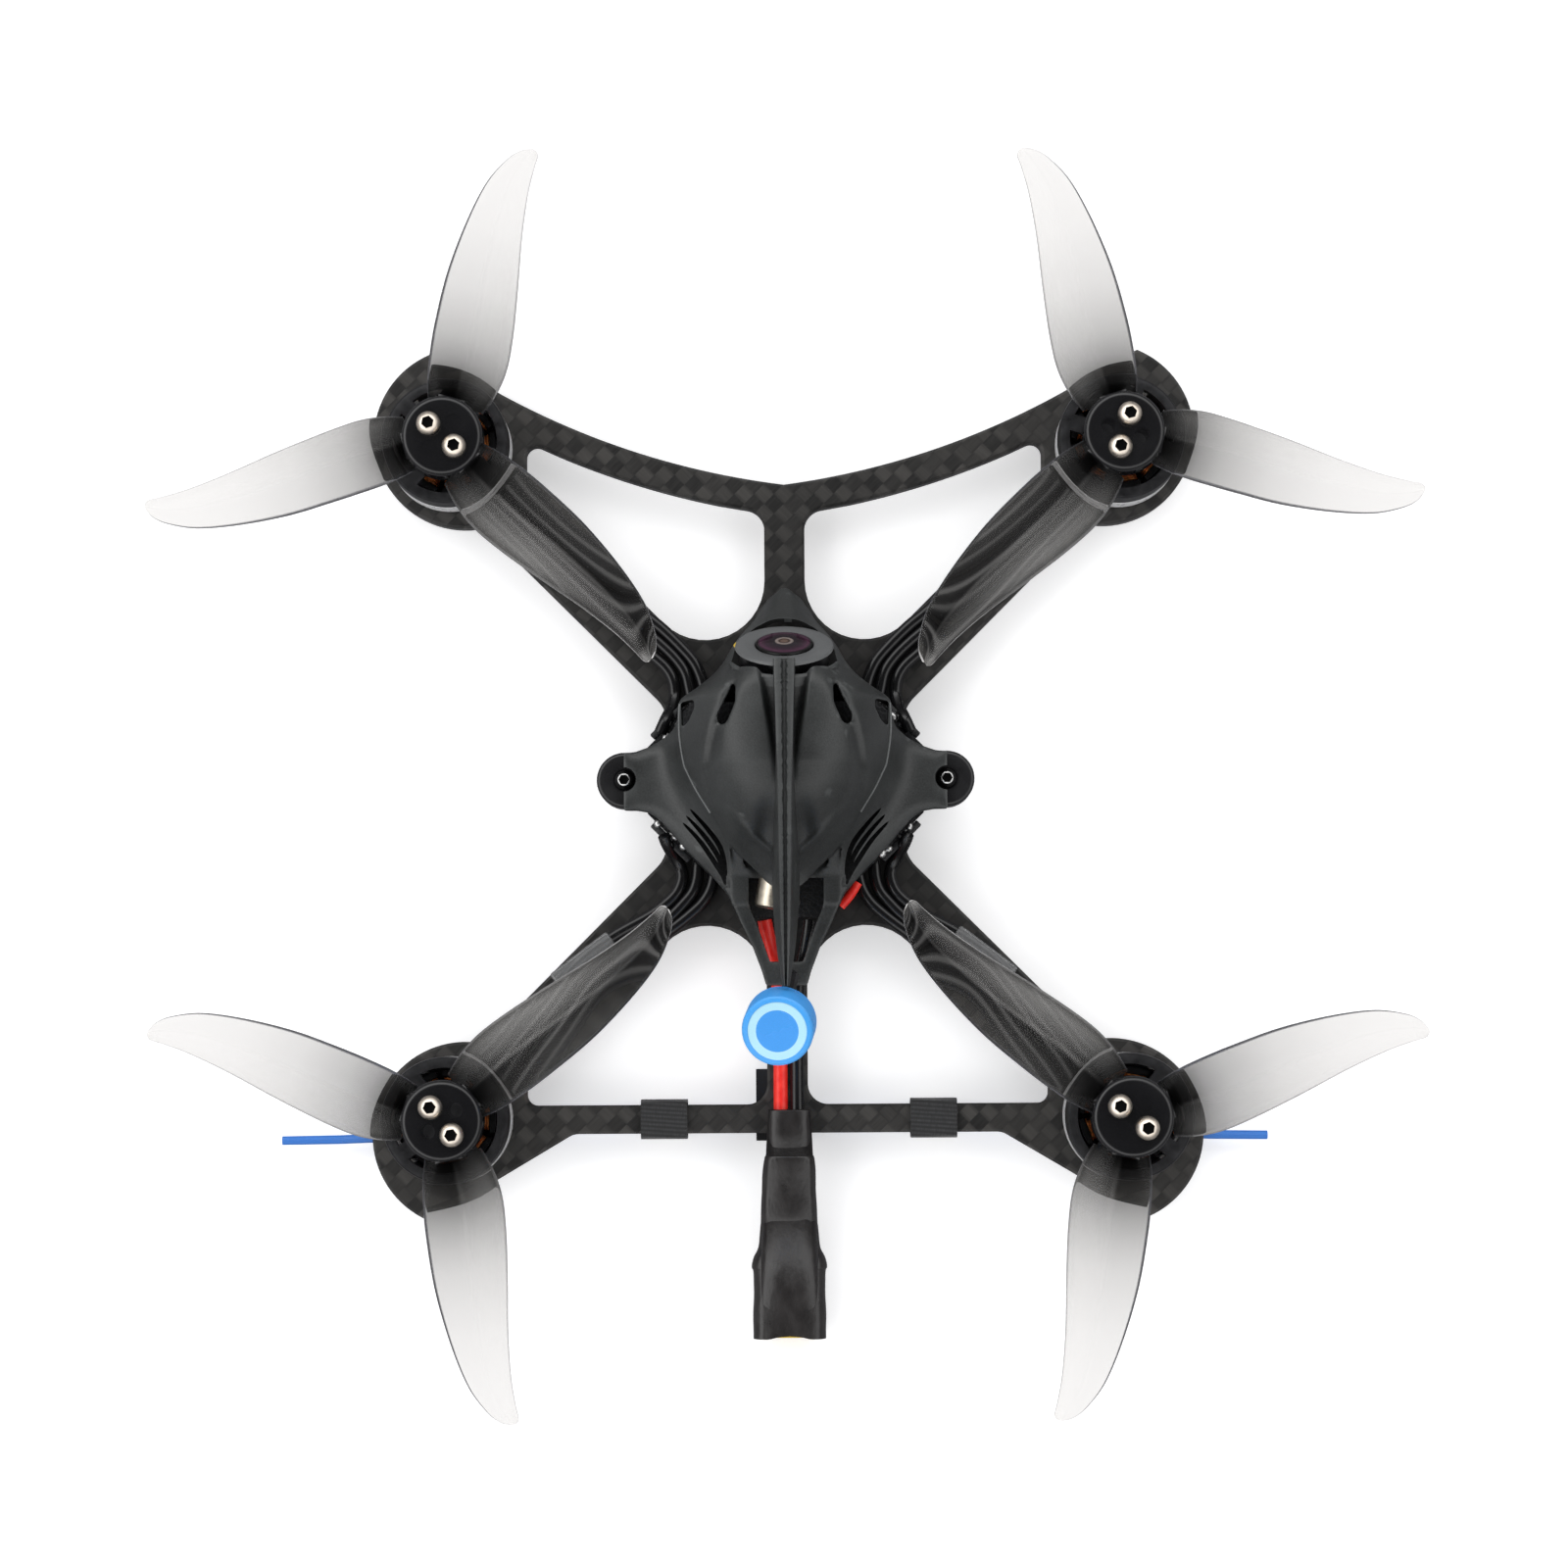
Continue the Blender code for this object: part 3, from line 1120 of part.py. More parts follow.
def build_antennas():
    """Build the video antenna, the receiver antenna, its holder and the bands."""
    rim = Vector((0, 0, CANOPY_RIM))
    low = rim + Vector(CAP_BOTTOM)
    high = rim + Vector(CAP_TOP)
    tall = (high - low).length
    lean = Vector((0, 0, 1)).rotation_difference(high - low).to_matrix().to_4x4()
    cap = turned("antenna_cap", [
        (0, tall), (CAP_RADIUS - CAP_EDGE, tall), (CAP_RADIUS, tall - CAP_EDGE), (CAP_RADIUS, CAP_EDGE),
        (CAP_RADIUS - CAP_EDGE, 0), (0, 0),
    ], 24, BLUE)
    moved(cap, Matrix.Translation(low) @ lean)
    foot = Vector((*STEM_FOOT, CANOPY_RIM + RAIL_HEIGHT + FIT + STEM_RADIUS / 2))
    head = low - (high - low).normalized() * (FIT + STEM_RADIUS / 10)
    bend = foot + Vector((0, 0, STEM_STRAIGHT))
    tube("antenna_stem", smooth_row([foot, bend, head], 3 * STEM_RADIUS), STEM_RADIUS, BLACK_PLASTIC)
    middle = (TAIL_BAR_FRONT + TAIL_BAR_REAR) / 2
    runs = (("left", HOLDER_LEFT - FIT, AERIAL_LEFT_END), ("right", HOLDER_RIGHT + FIT, AERIAL_RIGHT_END))
    for name, start, end in runs:
        points = []
        for i in range(9):
            x = start + (end - start) * i / 8
            points.append((x, middle - AERIAL_BOW * math.sin(math.pi / 2 * i / 8) ** 2, AERIAL_HEIGHT))
        tube("receiver_antenna_" + name, points, AERIAL_RADIUS, AERIAL_BLUE)
    holder_top = PLATE_BOTTOM - FIT
    box("antenna_holder", (HOLDER_LEFT, TAIL_BAR_REAR - HOLDER_REAR, holder_top - HOLDER_THICKNESS),
        (HOLDER_RIGHT, TAIL_BAR_FRONT + HOLDER_FRONT, holder_top), BLACK_PLASTIC)
    inner_low = (TAIL_BAR_REAR - FIT, AERIAL_HEIGHT - AERIAL_RADIUS - FIT)
    inner_high = (TAIL_BAR_FRONT + FIT, PLATE_TOP + FIT)
    for name, centre in zip(("left", "right"), BAND_CENTRES):
        loops = []
        for grow in (BAND_THICKNESS, 0):
            half_y = (inner_high[0] - inner_low[0]) / 2 + grow
            half_z = (inner_high[1] - inner_low[1]) / 2 + grow
            loops.append(rounded_rectangle(half_y, half_z, BAND_CORNER + grow, 2))
        band = flat("tail_bar_band_" + name, loops, -BAND_WIDTH / 2, BAND_WIDTH / 2, 0, WEBBING)
        upright = Matrix(((0, 0, 1, centre), (1, 0, 0, (inner_low[0] + inner_high[0]) / 2),
                          (0, 1, 0, (inner_low[1] + inner_high[1]) / 2), (0, 0, 0, 1)))
        moved(band, upright)


def sleeve_ring(row, inset):
    """Return a rounded box section of the sleeve at a station."""
    x, y, z, half_width, half_height = row
    section = rounded_rectangle(half_width - inset, half_height - inset, SLEEVE_CORNER - inset, 2)
    return [(x + u, y, z + v) for u, v in section]


def build_power_lead():
    """Build the two power wires, their sleeve and the connector."""
    tube("power_wire_red", smooth_row(RED_ROUTE, 5 * WIRE_RADIUS), WIRE_RADIUS, RED_WIRE)
    tube("power_wire_black", smooth_row(BLACK_ROUTE, 5 * WIRE_RADIUS), WIRE_RADIUS, BLACK_WIRE)
    outer = loft("sleeve_outer", [sleeve_ring(row, 0) for row in SLEEVE_STATIONS])
    rows = list(SLEEVE_STATIONS)
    mouth = (rows[0][0], rows[0][1] + FIT, *rows[0][2:])
    end = (rows[-1][0], rows[-1][1] - FIT, *rows[-1][2:])
    inner = loft("sleeve_inner", [sleeve_ring(row, SLEEVE_WALL) for row in [mouth, *rows, end]])
    combined(outer, [inner], "DIFFERENCE", "heat_shrink_sleeve", SHRINK)
    x, rear, z, half_width, half_height = rows[-1]
    half_x = half_width - SLEEVE_WALL - 2 * FIT
    half_z = half_height - SLEEVE_WALL - 2 * FIT
    cut = CONNECTOR_CHAMFER
    outline = [(half_x, -half_z), (half_x, half_z - cut), (half_x - cut, half_z), (cut - half_x, half_z),
               (-half_x, half_z - cut), (-half_x, -half_z)]
    block = flat("connector_blank", [outline], 0, CONNECTOR_LENGTH)
    contacts = [round_hole(side * CONTACT_SPACING / 2, 0, CONTACT_RADIUS, 10) for side in (-1, 1)]
    sockets = flat("sockets", contacts, -FIT, CONTACT_DEPTH)
    block = combined(block, [sockets], "DIFFERENCE", "power_connector", YELLOW)
    facing = Matrix(((1, 0, 0, x), (0, 0, 1, rear + CONNECTOR_INSET), (0, 1, 0, z), (0, 0, 0, 1)))
    moved(block, facing)
    block.data.flip_normals()


def build_looms():
    """Build the three-wire loom of each motor along its arm."""
    pitch = 1.8 * LOOM_WIRE_RADIUS
    reach = pitch * (LOOM_WIRES - 1) / 2
    upper = [(-reach - LOOM_WIRE_RADIUS, 0)]
    for k in range(LOOM_WIRES):
        for degrees in (130, 90, 50):
            angle = math.radians(degrees)
            across = k * pitch - reach + LOOM_WIRE_RADIUS * math.cos(angle)
            upper.append((across, LOOM_WIRE_RADIUS * math.sin(angle)))
    lower = [(-u, -v) for u, v in upper]
    profile = upper + lower
    start = MOTOR - (MOTOR_BASE_RADIUS + FIT) / math.sqrt(2)
    end = BOARD_DIAGONAL / 2 + FIT
    low = SEAT + LOOM_WIRE_RADIUS
    high = BOARD_BOTTOM + BOARD_THICKNESS / 2
    bend = 2 * LOOM_WIRE_RADIUS
    foot = LOOM_RISE_START + LOOM_WIRES * bend
    route = [(start, low), (foot, low), (LOOM_RISE_START, low + LOOM_RISE), (end + bend, high), (end, high)]
    for name, side_x, side_y, *_ in ROTORS:
        rings = []
        for along, height in route:
            middle = Vector((side_x * along, side_y * along, height))
            across = Vector((-side_y, side_x, 0)).normalized()
            rings.append([middle + across * u + Vector((0, 0, v)) for u, v in profile])
        loft("motor_wires_" + name, rings, BLACK_WIRE)


build_frame()
build_rotors()
build_canopy()
build_ears()
build_camera()
build_boards()
build_antennas()
build_power_lead()
build_looms()
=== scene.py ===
"""A small quadcopter drone, dressed: fine shapes, finishes, studio light and camera."""

import logging
import math
from collections.abc import Callable, Iterable, Sequence
from dataclasses import dataclass
from enum import Enum

import bpy
from mathutils import Matrix, Vector
from mathutils.bvhtree import BVHTree
from mathutils.kdtree import KDTree


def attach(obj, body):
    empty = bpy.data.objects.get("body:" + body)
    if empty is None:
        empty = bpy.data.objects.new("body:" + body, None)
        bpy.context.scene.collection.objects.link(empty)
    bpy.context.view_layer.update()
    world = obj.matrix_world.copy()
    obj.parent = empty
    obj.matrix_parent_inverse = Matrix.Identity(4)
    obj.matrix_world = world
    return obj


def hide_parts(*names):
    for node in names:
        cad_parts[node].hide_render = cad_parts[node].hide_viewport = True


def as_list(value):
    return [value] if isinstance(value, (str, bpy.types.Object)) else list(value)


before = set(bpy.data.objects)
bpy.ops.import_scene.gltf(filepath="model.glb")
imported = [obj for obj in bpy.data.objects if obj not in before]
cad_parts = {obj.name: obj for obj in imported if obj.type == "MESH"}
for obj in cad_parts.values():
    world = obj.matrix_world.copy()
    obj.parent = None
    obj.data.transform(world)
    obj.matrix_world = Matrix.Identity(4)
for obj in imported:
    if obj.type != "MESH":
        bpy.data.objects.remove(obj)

LOG = logging.getLogger("drone")
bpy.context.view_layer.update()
SHARP_EDGE = math.radians(40)
NOISE_RANGE = (0.3, 0.7)

Point2 = tuple[float, float]
Point3 = tuple[float, float, float]
Colour = tuple[float, float, float]
Piece = bpy.types.Object
Socket = bpy.types.NodeSocket


class Solver(Enum):
    """The ways of working out a Boolean."""

    EXACT = "EXACT"
    MANIFOLD = "MANIFOLD"


class Sense(Enum):
    """The way a propeller turns, seen from above."""

    ANTICLOCKWISE = 1
    CLOCKWISE = -1


@dataclass(frozen=True)
class Layout:
    """Heights and places that several sub-assemblies share, in metres."""

    fit: float = 0.0003
    motor: float = 0.0495
    plate_bottom: float = 0.0028
    plate_top: float = 0.0058
    seat: float = 0.0061
    bell_bottom: float = 0.0082
    bell_top: float = 0.0171
    hub_bottom: float = 0.0174
    hub_top: float = 0.0224
    board_bottom: float = 0.0085
    board_top: float = 0.0101
    rim: float = 0.0114
    ear: float = 0.0237
    camera: Point2 = (0.0185, 0.0133)
    camera_tilt: float = math.radians(28.8)

    def camera_front(self) -> Matrix:
        """Return the place of the camera's front, looking along its own Y axis."""
        forward, rise = self.camera
        return Matrix.Translation((0, forward, self.rim + rise)) @ Matrix.Rotation(self.camera_tilt, 4, "X")


@dataclass(frozen=True)
class RotorPlace:
    """Where one motor stands, how its blades are turned and which way it spins."""

    name: str
    side_x: int
    side_y: int
    blade_angle: float
    sense: Sense
    screw_pair: int


LAYOUT = Layout()
ROTORS = (
    RotorPlace("front_left", -1, 1, -45.4, Sense.ANTICLOCKWISE, 0),
    RotorPlace("front_right", 1, 1, -13.0, Sense.CLOCKWISE, 1),
    RotorPlace("rear_left", -1, -1, 41.3, Sense.CLOCKWISE, 1),
    RotorPlace("rear_right", 1, -1, 137.7, Sense.ANTICLOCKWISE, 0),
)


def smooth_rows(rows: Sequence[Sequence[float]], steps: int) -> list[tuple[float, ...]]:
    """Read rows of numbers from a smooth curve through them.

    Args:
        rows: The rows that the curve passes through.
        steps: How many rows to give for each span between two rows.

    Returns:
        The finer rows, first and last row included.
    """
    padded = [rows[0], *rows, rows[-1]]
    result = []
    for a, b, c, d in zip(padded, padded[1:], padded[2:], padded[3:]):
        for i in range(steps):
            t = i / steps
            row = []
            for p, q, r, s in zip(a, b, c, d):
                start, end = (r - p) / 2, (s - q) / 2
                cubic = 2 * (q - r) + start + end
                square = 3 * (r - q) - 2 * start - end
                row.append(((cubic * t + square) * t + start) * t + q)
            result.append(tuple(row))
    result.append(tuple(rows[-1]))
    return result


def read_rows(rows: Sequence[Sequence[float]], where: float) -> Sequence[float]:
    """Return the row at a value of the first column, read between two rows."""
    turn = 1.0 if rows[-1][0] > rows[0][0] else -1.0
    index = next((i for i, row in enumerate(rows) if (row[0] - where) * turn >= 0), len(rows) - 1)
    if index == 0:
        return rows[0]
    before, after = rows[index - 1], rows[index]
    share = min((where - before[0]) / (after[0] - before[0]), 1.0)
    return [a + (b - a) * share for a, b in zip(before, after)]


def filleted(corners: Sequence[tuple[float, float, float]], steps: int = 8,
             share: float = 0.48) -> list[Point2]:
    """Turn (x, y, radius) corners into points, each corner rounded by an arc.

    Args:
        corners: The corners of a closed outline, with the radius of each.
        steps: How many pieces each arc is drawn in.
        share: The most that an arc takes of a side.

    Returns:
        The points of the rounded outline.
    """
    points = []
    for i, (x, y, radius) in enumerate(corners):
        corner = Vector((x, y))
        before = Vector(corners[i - 1][:2]) - corner
        after = Vector(corners[(i + 1) % len(corners)][:2]) - corner
        if radius == 0:
            points.append((x, y))
            continue
        half = before.angle(after) / 2
        run = min(radius / math.tan(half), share * before.length, share * after.length)
        middle = corner + (before.normalized() + after.normalized()).normalized() * run / math.cos(half)
        start = corner + before.normalized() * run - middle
        end = corner + after.normalized() * run - middle
        sweep = start.angle_signed(end)
        for k in range(steps + 1):
            spot = middle + Matrix.Rotation(-sweep * k / steps, 2) @ start
            points.append((spot.x, spot.y))
    return points


def mirrored(points: Sequence[Point2]) -> list[Point2]:
    """Return points with x turned round, in the opposite order."""
    return [(-x, y) for x, y in reversed(points)]


def on_side(points: Sequence[Point2], side: int) -> list[Point2]:
    """Return points of the right side on one side of the middle."""
    return [(side * x, y) for x, y in points]


def ring_points(x: float, y: float, radius: float, sides: int = 32) -> list[Point2]:
    """Return the points of a circle."""
    turn = 2 * math.pi / sides
    return [(x + radius * math.cos(turn * i), y + radius * math.sin(turn * i)) for i in range(sides)]


def squared(value: float, power: float) -> float:
    """Return a sine or cosine drawn out towards 1 or -1, for sections between round and square."""
    return math.copysign(abs(value) ** power, value)


def toned(colour: Colour, share: float) -> Colour:
    """Return a colour made lighter or darker, at most white."""
    return tuple(min(1.0, part * share) for part in colour)


def rounded_box_points(half_x: float, half_y: float, radius: float) -> list[Point2]:
    """Return the points of a rounded rectangle about the origin."""
    corners = ((half_x, half_y), (-half_x, half_y), (-half_x, -half_y), (half_x, -half_y))
    return filleted([(x, y, radius) for x, y in corners], steps=6)


class Bench:
    """Blender's modelling tools, used on one piece at a time."""

    @staticmethod
    def clear() -> None:
        """Leave edit mode and deselect everything."""
        active = bpy.context.object
        if active is not None and active.mode != "OBJECT":
            bpy.ops.object.mode_set(mode="OBJECT")
        bpy.ops.object.select_all(action="DESELECT")

    @staticmethod
    def take(*pieces: Piece) -> None:
        """Select pieces alone, the first of them active."""
        Bench.clear()
        for piece in pieces:
            piece.select_set(True)
        bpy.context.view_layer.objects.active = pieces[0]

    @staticmethod
    def named(name: str) -> Piece:
        """Name the piece that was just added, with its mesh."""
        piece = bpy.context.object
        piece.name = name
        piece.data.name = name
        return piece

    @staticmethod
    def sew(piece: Piece, reach: float = 1e-7) -> Piece:
        """Merge a piece's doubles and turn its faces outwards."""
        Bench.take(piece)
        bpy.ops.object.mode_set(mode="EDIT")
        bpy.ops.mesh.select_all(action="SELECT")
        bpy.ops.mesh.remove_doubles(threshold=reach)
        bpy.ops.mesh.normals_make_consistent(inside=False)
        bpy.ops.object.mode_set(mode="OBJECT")
        return piece

    @staticmethod
    def smooth(piece: Piece, degrees: float = 35) -> Piece:
        """Shade a piece smooth, except over edges sharper than an angle."""
        Bench.take(piece)
        bpy.ops.object.shade_smooth_by_angle(angle=math.radians(degrees))
        return piece

    @staticmethod
    def modify(piece: Piece, kind: str, **settings: object) -> Piece:
        """Add a modifier with settings to a piece and apply it."""
        modifier = piece.modifiers.new(kind.lower(), kind)
        for name, value in settings.items():
            setattr(modifier, name, value)
        Bench.take(piece)
        bpy.ops.object.modifier_apply(modifier=modifier.name)
        return piece

    @staticmethod
    def bevel(piece: Piece, width: float, segments: int) -> Piece:
        """Round the sharp edges of a piece."""
        return Bench.modify(piece, "BEVEL", width=width, segments=segments, limit_method="ANGLE",
                            angle_limit=SHARP_EDGE, use_clamp_overlap=True)

    @staticmethod
    def combine(piece: Piece, tools: Iterable[Piece], operation: str,
                solver: Solver = Solver.EXACT) -> Piece:
        """Join tools to a piece or cut them from it.

        Args:
            piece: The piece that is changed.
            tools: The pieces that it is changed with, used up by this.
            operation: UNION, DIFFERENCE or INTERSECT.
            solver: The way that the Boolean is worked out.

        Returns:
            The piece.
        """
        for tool in tools:
            Bench.modify(piece, "BOOLEAN", object=tool, operation=operation, solver=solver.value)
            bpy.data.objects.remove(tool)
        return piece

    @staticmethod
    def join(name: str, pieces: Sequence[Piece]) -> Piece:
        """Make one object of several."""
        Bench.take(*pieces)
        if len(pieces) > 1:
            bpy.ops.object.join()
        return Bench.named(name)

    @staticmethod
    def move(piece: Piece, matrix: Matrix) -> Piece:
        """Move a piece and put its new place into its mesh."""
        piece.matrix_world = matrix
        Bench.take(piece)
        bpy.ops.object.transform_apply(location=True, rotation=True, scale=True)
        return piece

    @staticmethod
    def copy(piece: Piece, name: str, matrix: Matrix) -> Piece:
        """Copy a piece with a mesh of its own, placed by a matrix."""
        Bench.take(piece)
        bpy.ops.object.duplicate(linked=False)
        return Bench.move(Bench.named(name), matrix)

    @staticmethod
    def drop(*pieces: Piece) -> None:
        """Remove pieces that were only patterns."""
        for piece in pieces:
            bpy.data.objects.remove(piece)

    @staticmethod
    def lathe(name: str, profile: Sequence[Point2], segments: int = 64, closed: bool = False) -> Piece:
        """Turn a profile about the Z axis, from a circle extruded and resized step by step.

        Args:
            name: The piece's name.
            profile: Radius and height of each step; an end of radius 0 closes in a point.
            segments: How many sides the circle has.
            closed: Whether the profile returns to its start, as in a ring.

        Returns:
            The turned piece.
        """
        Bench.clear()
        steps = list(profile)
        tip = steps[0][0] == 0
        radius, height = steps[1] if tip else steps[0]
        bpy.ops.mesh.primitive_circle_add(vertices=segments, radius=radius, location=(0, 0, 0))
        piece = Bench.named(name)
        bpy.ops.object.mode_set(mode="EDIT")
        bpy.ops.mesh.select_all(action="SELECT")
        bpy.ops.transform.translate(value=(0, 0, height))
        if tip:
            bpy.ops.mesh.edge_face_add()
        for next_radius, next_height in steps[2:] if tip else steps[1:]:
            bpy.ops.mesh.extrude_edges_move(TRANSFORM_OT_translate={"value": (0, 0, next_height - height)})
            scale = next_radius / radius
            bpy.ops.transform.resize(value=(scale, scale, 1), center_override=(0, 0, next_height))
            height = next_height
            if next_radius == 0:
                break
            radius = next_radius
        if not closed and steps[-1][0] > 0:
            bpy.ops.mesh.edge_face_add()
        bpy.ops.object.mode_set(mode="OBJECT")
        return Bench.sew(piece)

    @staticmethod
    def skin(name: str, across: int, along: int, place: Callable[[float, float], Sequence[float]],
             caps: bool = True) -> Piece:
        """Lay a grid over a shape: its first share runs round the shape, its second along it.

        Args:
            name: The piece's name.
            across: How many faces go round.
            along: How many faces go along.
            place: Gives the point for a share round and a share along, each from 0 to 1.
            caps: Whether the open ends are filled.

        Returns:
            The skinned piece.
        """
        Bench.clear()
        bpy.ops.mesh.primitive_grid_add(x_subdivisions=across, y_subdivisions=along, size=1,
                                        location=(0, 0, 0))
        piece = Bench.named(name)
        for vertex in piece.data.vertices:
            vertex.co = place(min(max(vertex.co.x + 0.5, 0.0), 1.0), min(max(vertex.co.y + 0.5, 0.0), 1.0))
        Bench.sew(piece)
        return Bench.cap(piece) if caps else piece

    @staticmethod
    def plate(name: str, loops: Sequence[Sequence[Point2]], bottom: float, top: float,
              edge: float = 0.0, edge_steps: int = 0) -> Piece:
        """Cut a flat piece to outlines; loops inside the first are holes.

        Args:
            name: The piece's name.
            loops: The outlines, in x and y.
            bottom: Height of the lower face.
            top: Height of the upper face.
            edge: Size of the broken edges, which stay inside the outlines.
            edge_steps: How round those edges are; 0 is a chamfer.

        Returns:
            The flat piece.
        """
        Bench.clear()
        curve = bpy.data.curves.new(name, "CURVE")
        curve.dimensions = "2D"
        curve.fill_mode = "BOTH"
        curve.extrude = (top - bottom) / 2 - edge
        curve.bevel_depth = edge
        curve.bevel_resolution = edge_steps
        curve.offset = -edge
        for loop in loops:
            spline = curve.splines.new("POLY")
            spline.points.add(len(loop) - 1)
            spline.use_cyclic_u = True
            for point, (x, y) in zip(spline.points, loop):
                point.co = (x, y, 0, 1)
        piece = bpy.data.objects.new(name, curve)
        bpy.context.scene.collection.objects.link(piece)
        Bench.take(piece)
        bpy.ops.object.convert(target="MESH")
        piece = Bench.named(name)
        return Bench.sew(Bench.move(piece, Matrix.Translation((0, 0, (bottom + top) / 2))), 1e-6)

    @staticmethod
    def tube(name: str, points: Sequence[Point3], radius: float, sides: int = 6) -> Piece:
        """Run a round tube along points, with closed ends."""
        Bench.clear()
        piece = Bench.route(name, points, radius, sides)
        Bench.take(piece)
        bpy.ops.object.convert(target="MESH")
        return Bench.sew(Bench.named(name))

    @staticmethod
    def route(name: str, points: Sequence[Point3], radius: float, sides: int = 6) -> Piece:
        """Lay a round curve along points, left as a curve."""
        curve = bpy.data.curves.new(name, "CURVE")
        curve.dimensions = "3D"
        curve.bevel_depth = radius
        curve.bevel_resolution = sides
        curve.use_fill_caps = True
        spline = curve.splines.new("POLY")
        spline.points.add(len(points) - 1)
        for point, place in zip(spline.points, points):
            point.co = (*place, 1)
        piece = bpy.data.objects.new(name, curve)
        bpy.context.scene.collection.objects.link(piece)
        return piece

    @staticmethod
    def block(name: str, low: Point3, high: Point3, edge: float = 0.0, segments: int = 2) -> Piece:
        """Make a box between two corners, its edges rounded."""
        Bench.clear()
        middle = [(a + b) / 2 for a, b in zip(low, high)]
        bpy.ops.mesh.primitive_cube_add(size=1, location=(0, 0, 0))
        piece = Bench.named(name)
        size = [b - a for a, b in zip(low, high)]
        Bench.move(piece, Matrix.Translation(middle) @ Matrix.Diagonal((*size, 1)))
        return Bench.bevel(piece, edge, segments) if edge else piece

    @staticmethod
    def rod(name: str, radius: float, foot: Sequence[float], axis: Sequence[float], length: float,
            sides: int = 48) -> Piece:
        """Make a straight round bar from its foot along an axis."""
        piece = Bench.lathe(name, [(radius, 0), (radius, length)], sides)
        Bench.cap(piece)
        turn = Vector((0, 0, 1)).rotation_difference(Vector(axis)).to_matrix().to_4x4()
        return Bench.move(piece, Matrix.Translation(foot) @ turn)

    @staticmethod
    def cap(piece: Piece, bridge: bool = False) -> Piece:
        """Fill the open edges of a piece, or bridge its two open loops."""
        Bench.take(piece)
        bpy.ops.object.mode_set(mode="EDIT")
        bpy.ops.mesh.select_all(action="DESELECT")
        bpy.ops.mesh.select_non_manifold()
        (bpy.ops.mesh.bridge_edge_loops if bridge else bpy.ops.mesh.edge_face_add)()
        bpy.ops.object.mode_set(mode="OBJECT")
        return Bench.sew(piece)

    @staticmethod
    def round_copies(piece: Piece, count: int) -> list[Piece]:
        """Return copies of a piece spread evenly round Z; the piece itself goes."""
        copies = [Bench.copy(piece, f"{piece.name}_{k}", Matrix.Rotation(2 * math.pi * k / count, 4, "Z"))
                  for k in range(count)]
        Bench.drop(piece)
        return copies


class NodeTree:
    """A tree of nodes, with short calls for those that finishes and the studio's light use."""

    def __init__(self, tree: bpy.types.NodeTree) -> None:
        """Take a tree."""
        self.tree = tree

    def add(self, kind: str, **settings: object) -> bpy.types.Node:
        """Add a node with settings."""
        node = self.tree.nodes.new(kind)
        for name, value in settings.items():
            setattr(node, name, value)
        return node

    def join(self, source: Socket, target: Socket) -> None:
        """Link two sockets."""
        self.tree.links.new(source, target)

    def give(self, target: Socket, value: Socket | float | Sequence[float]) -> None:
        """Link a socket to an input, or set the input's own value."""
        if isinstance(value, bpy.types.NodeSocket):
            self.join(value, target)
        else:
            target.default_value = value

    def ramp(self, source: Socket, stops: Sequence[tuple[float, Colour]], ease: str = "LINEAR") -> Socket:
        """Return a colour read from stops by a number."""
        node = self.add("ShaderNodeValToRGB")
        node.color_ramp.interpolation = ease
        elements = node.color_ramp.elements
        while len(elements) < len(stops):
            elements.new(1.0)
        for element, (place, colour) in zip(elements, stops):
            element.position = place
            element.color = (*colour, 1.0)
        self.join(source, node.inputs[0])
        return node.outputs["Color"]

    def spread(self, source: Socket, low: float, high: float, start: float = 0.0,
               end: float = 1.0) -> Socket:
        """Return a number moved from one range to another, held inside it."""
        node = self.add("ShaderNodeMapRange")
        for name, value in (("From Min", start), ("From Max", end), ("To Min", low), ("To Max", high)):
            node.inputs[name].default_value = value
        self.join(source, node.inputs["Value"])
        return node.outputs[0]

    def sum(self, operation: str, *values: Socket | float) -> Socket:
        """Return the result of a Math node."""
        node = self.add("ShaderNodeMath", operation=operation)
        for target, value in zip(node.inputs, values):
            self.give(target, value)
        return node.outputs[0]

    def axes(self, source: Socket) -> tuple[Socket, Socket, Socket]:
        """Return the three parts of a vector."""
        node = self.add("ShaderNodeSeparateXYZ")
        self.join(source, node.inputs[0])
        return node.outputs[0], node.outputs[1], node.outputs[2]

    def mix(self, factor: Socket | float, low: Socket | Colour, high: Socket | Colour) -> Socket:
        """Return a mix of two colours."""
        node = self.add("ShaderNodeMix", data_type="RGBA")
        self.give(node.inputs[0], factor)
        for target, value in ((node.inputs[6], low), (node.inputs[7], high)):
            if not isinstance(value, bpy.types.NodeSocket):
                value = (*value, 1.0)
            self.give(target, value)
        return node.outputs[2]

    def pick(self, factor: Socket, low: Socket, high: Socket | float) -> Socket:
        """Return a mix of two numbers."""
        node = self.add("ShaderNodeMix", data_type="FLOAT")
        for target, value in zip((node.inputs[0], node.inputs[2], node.inputs[3]), (factor, low, high)):
            self.give(target, value)
        return node.outputs[0]


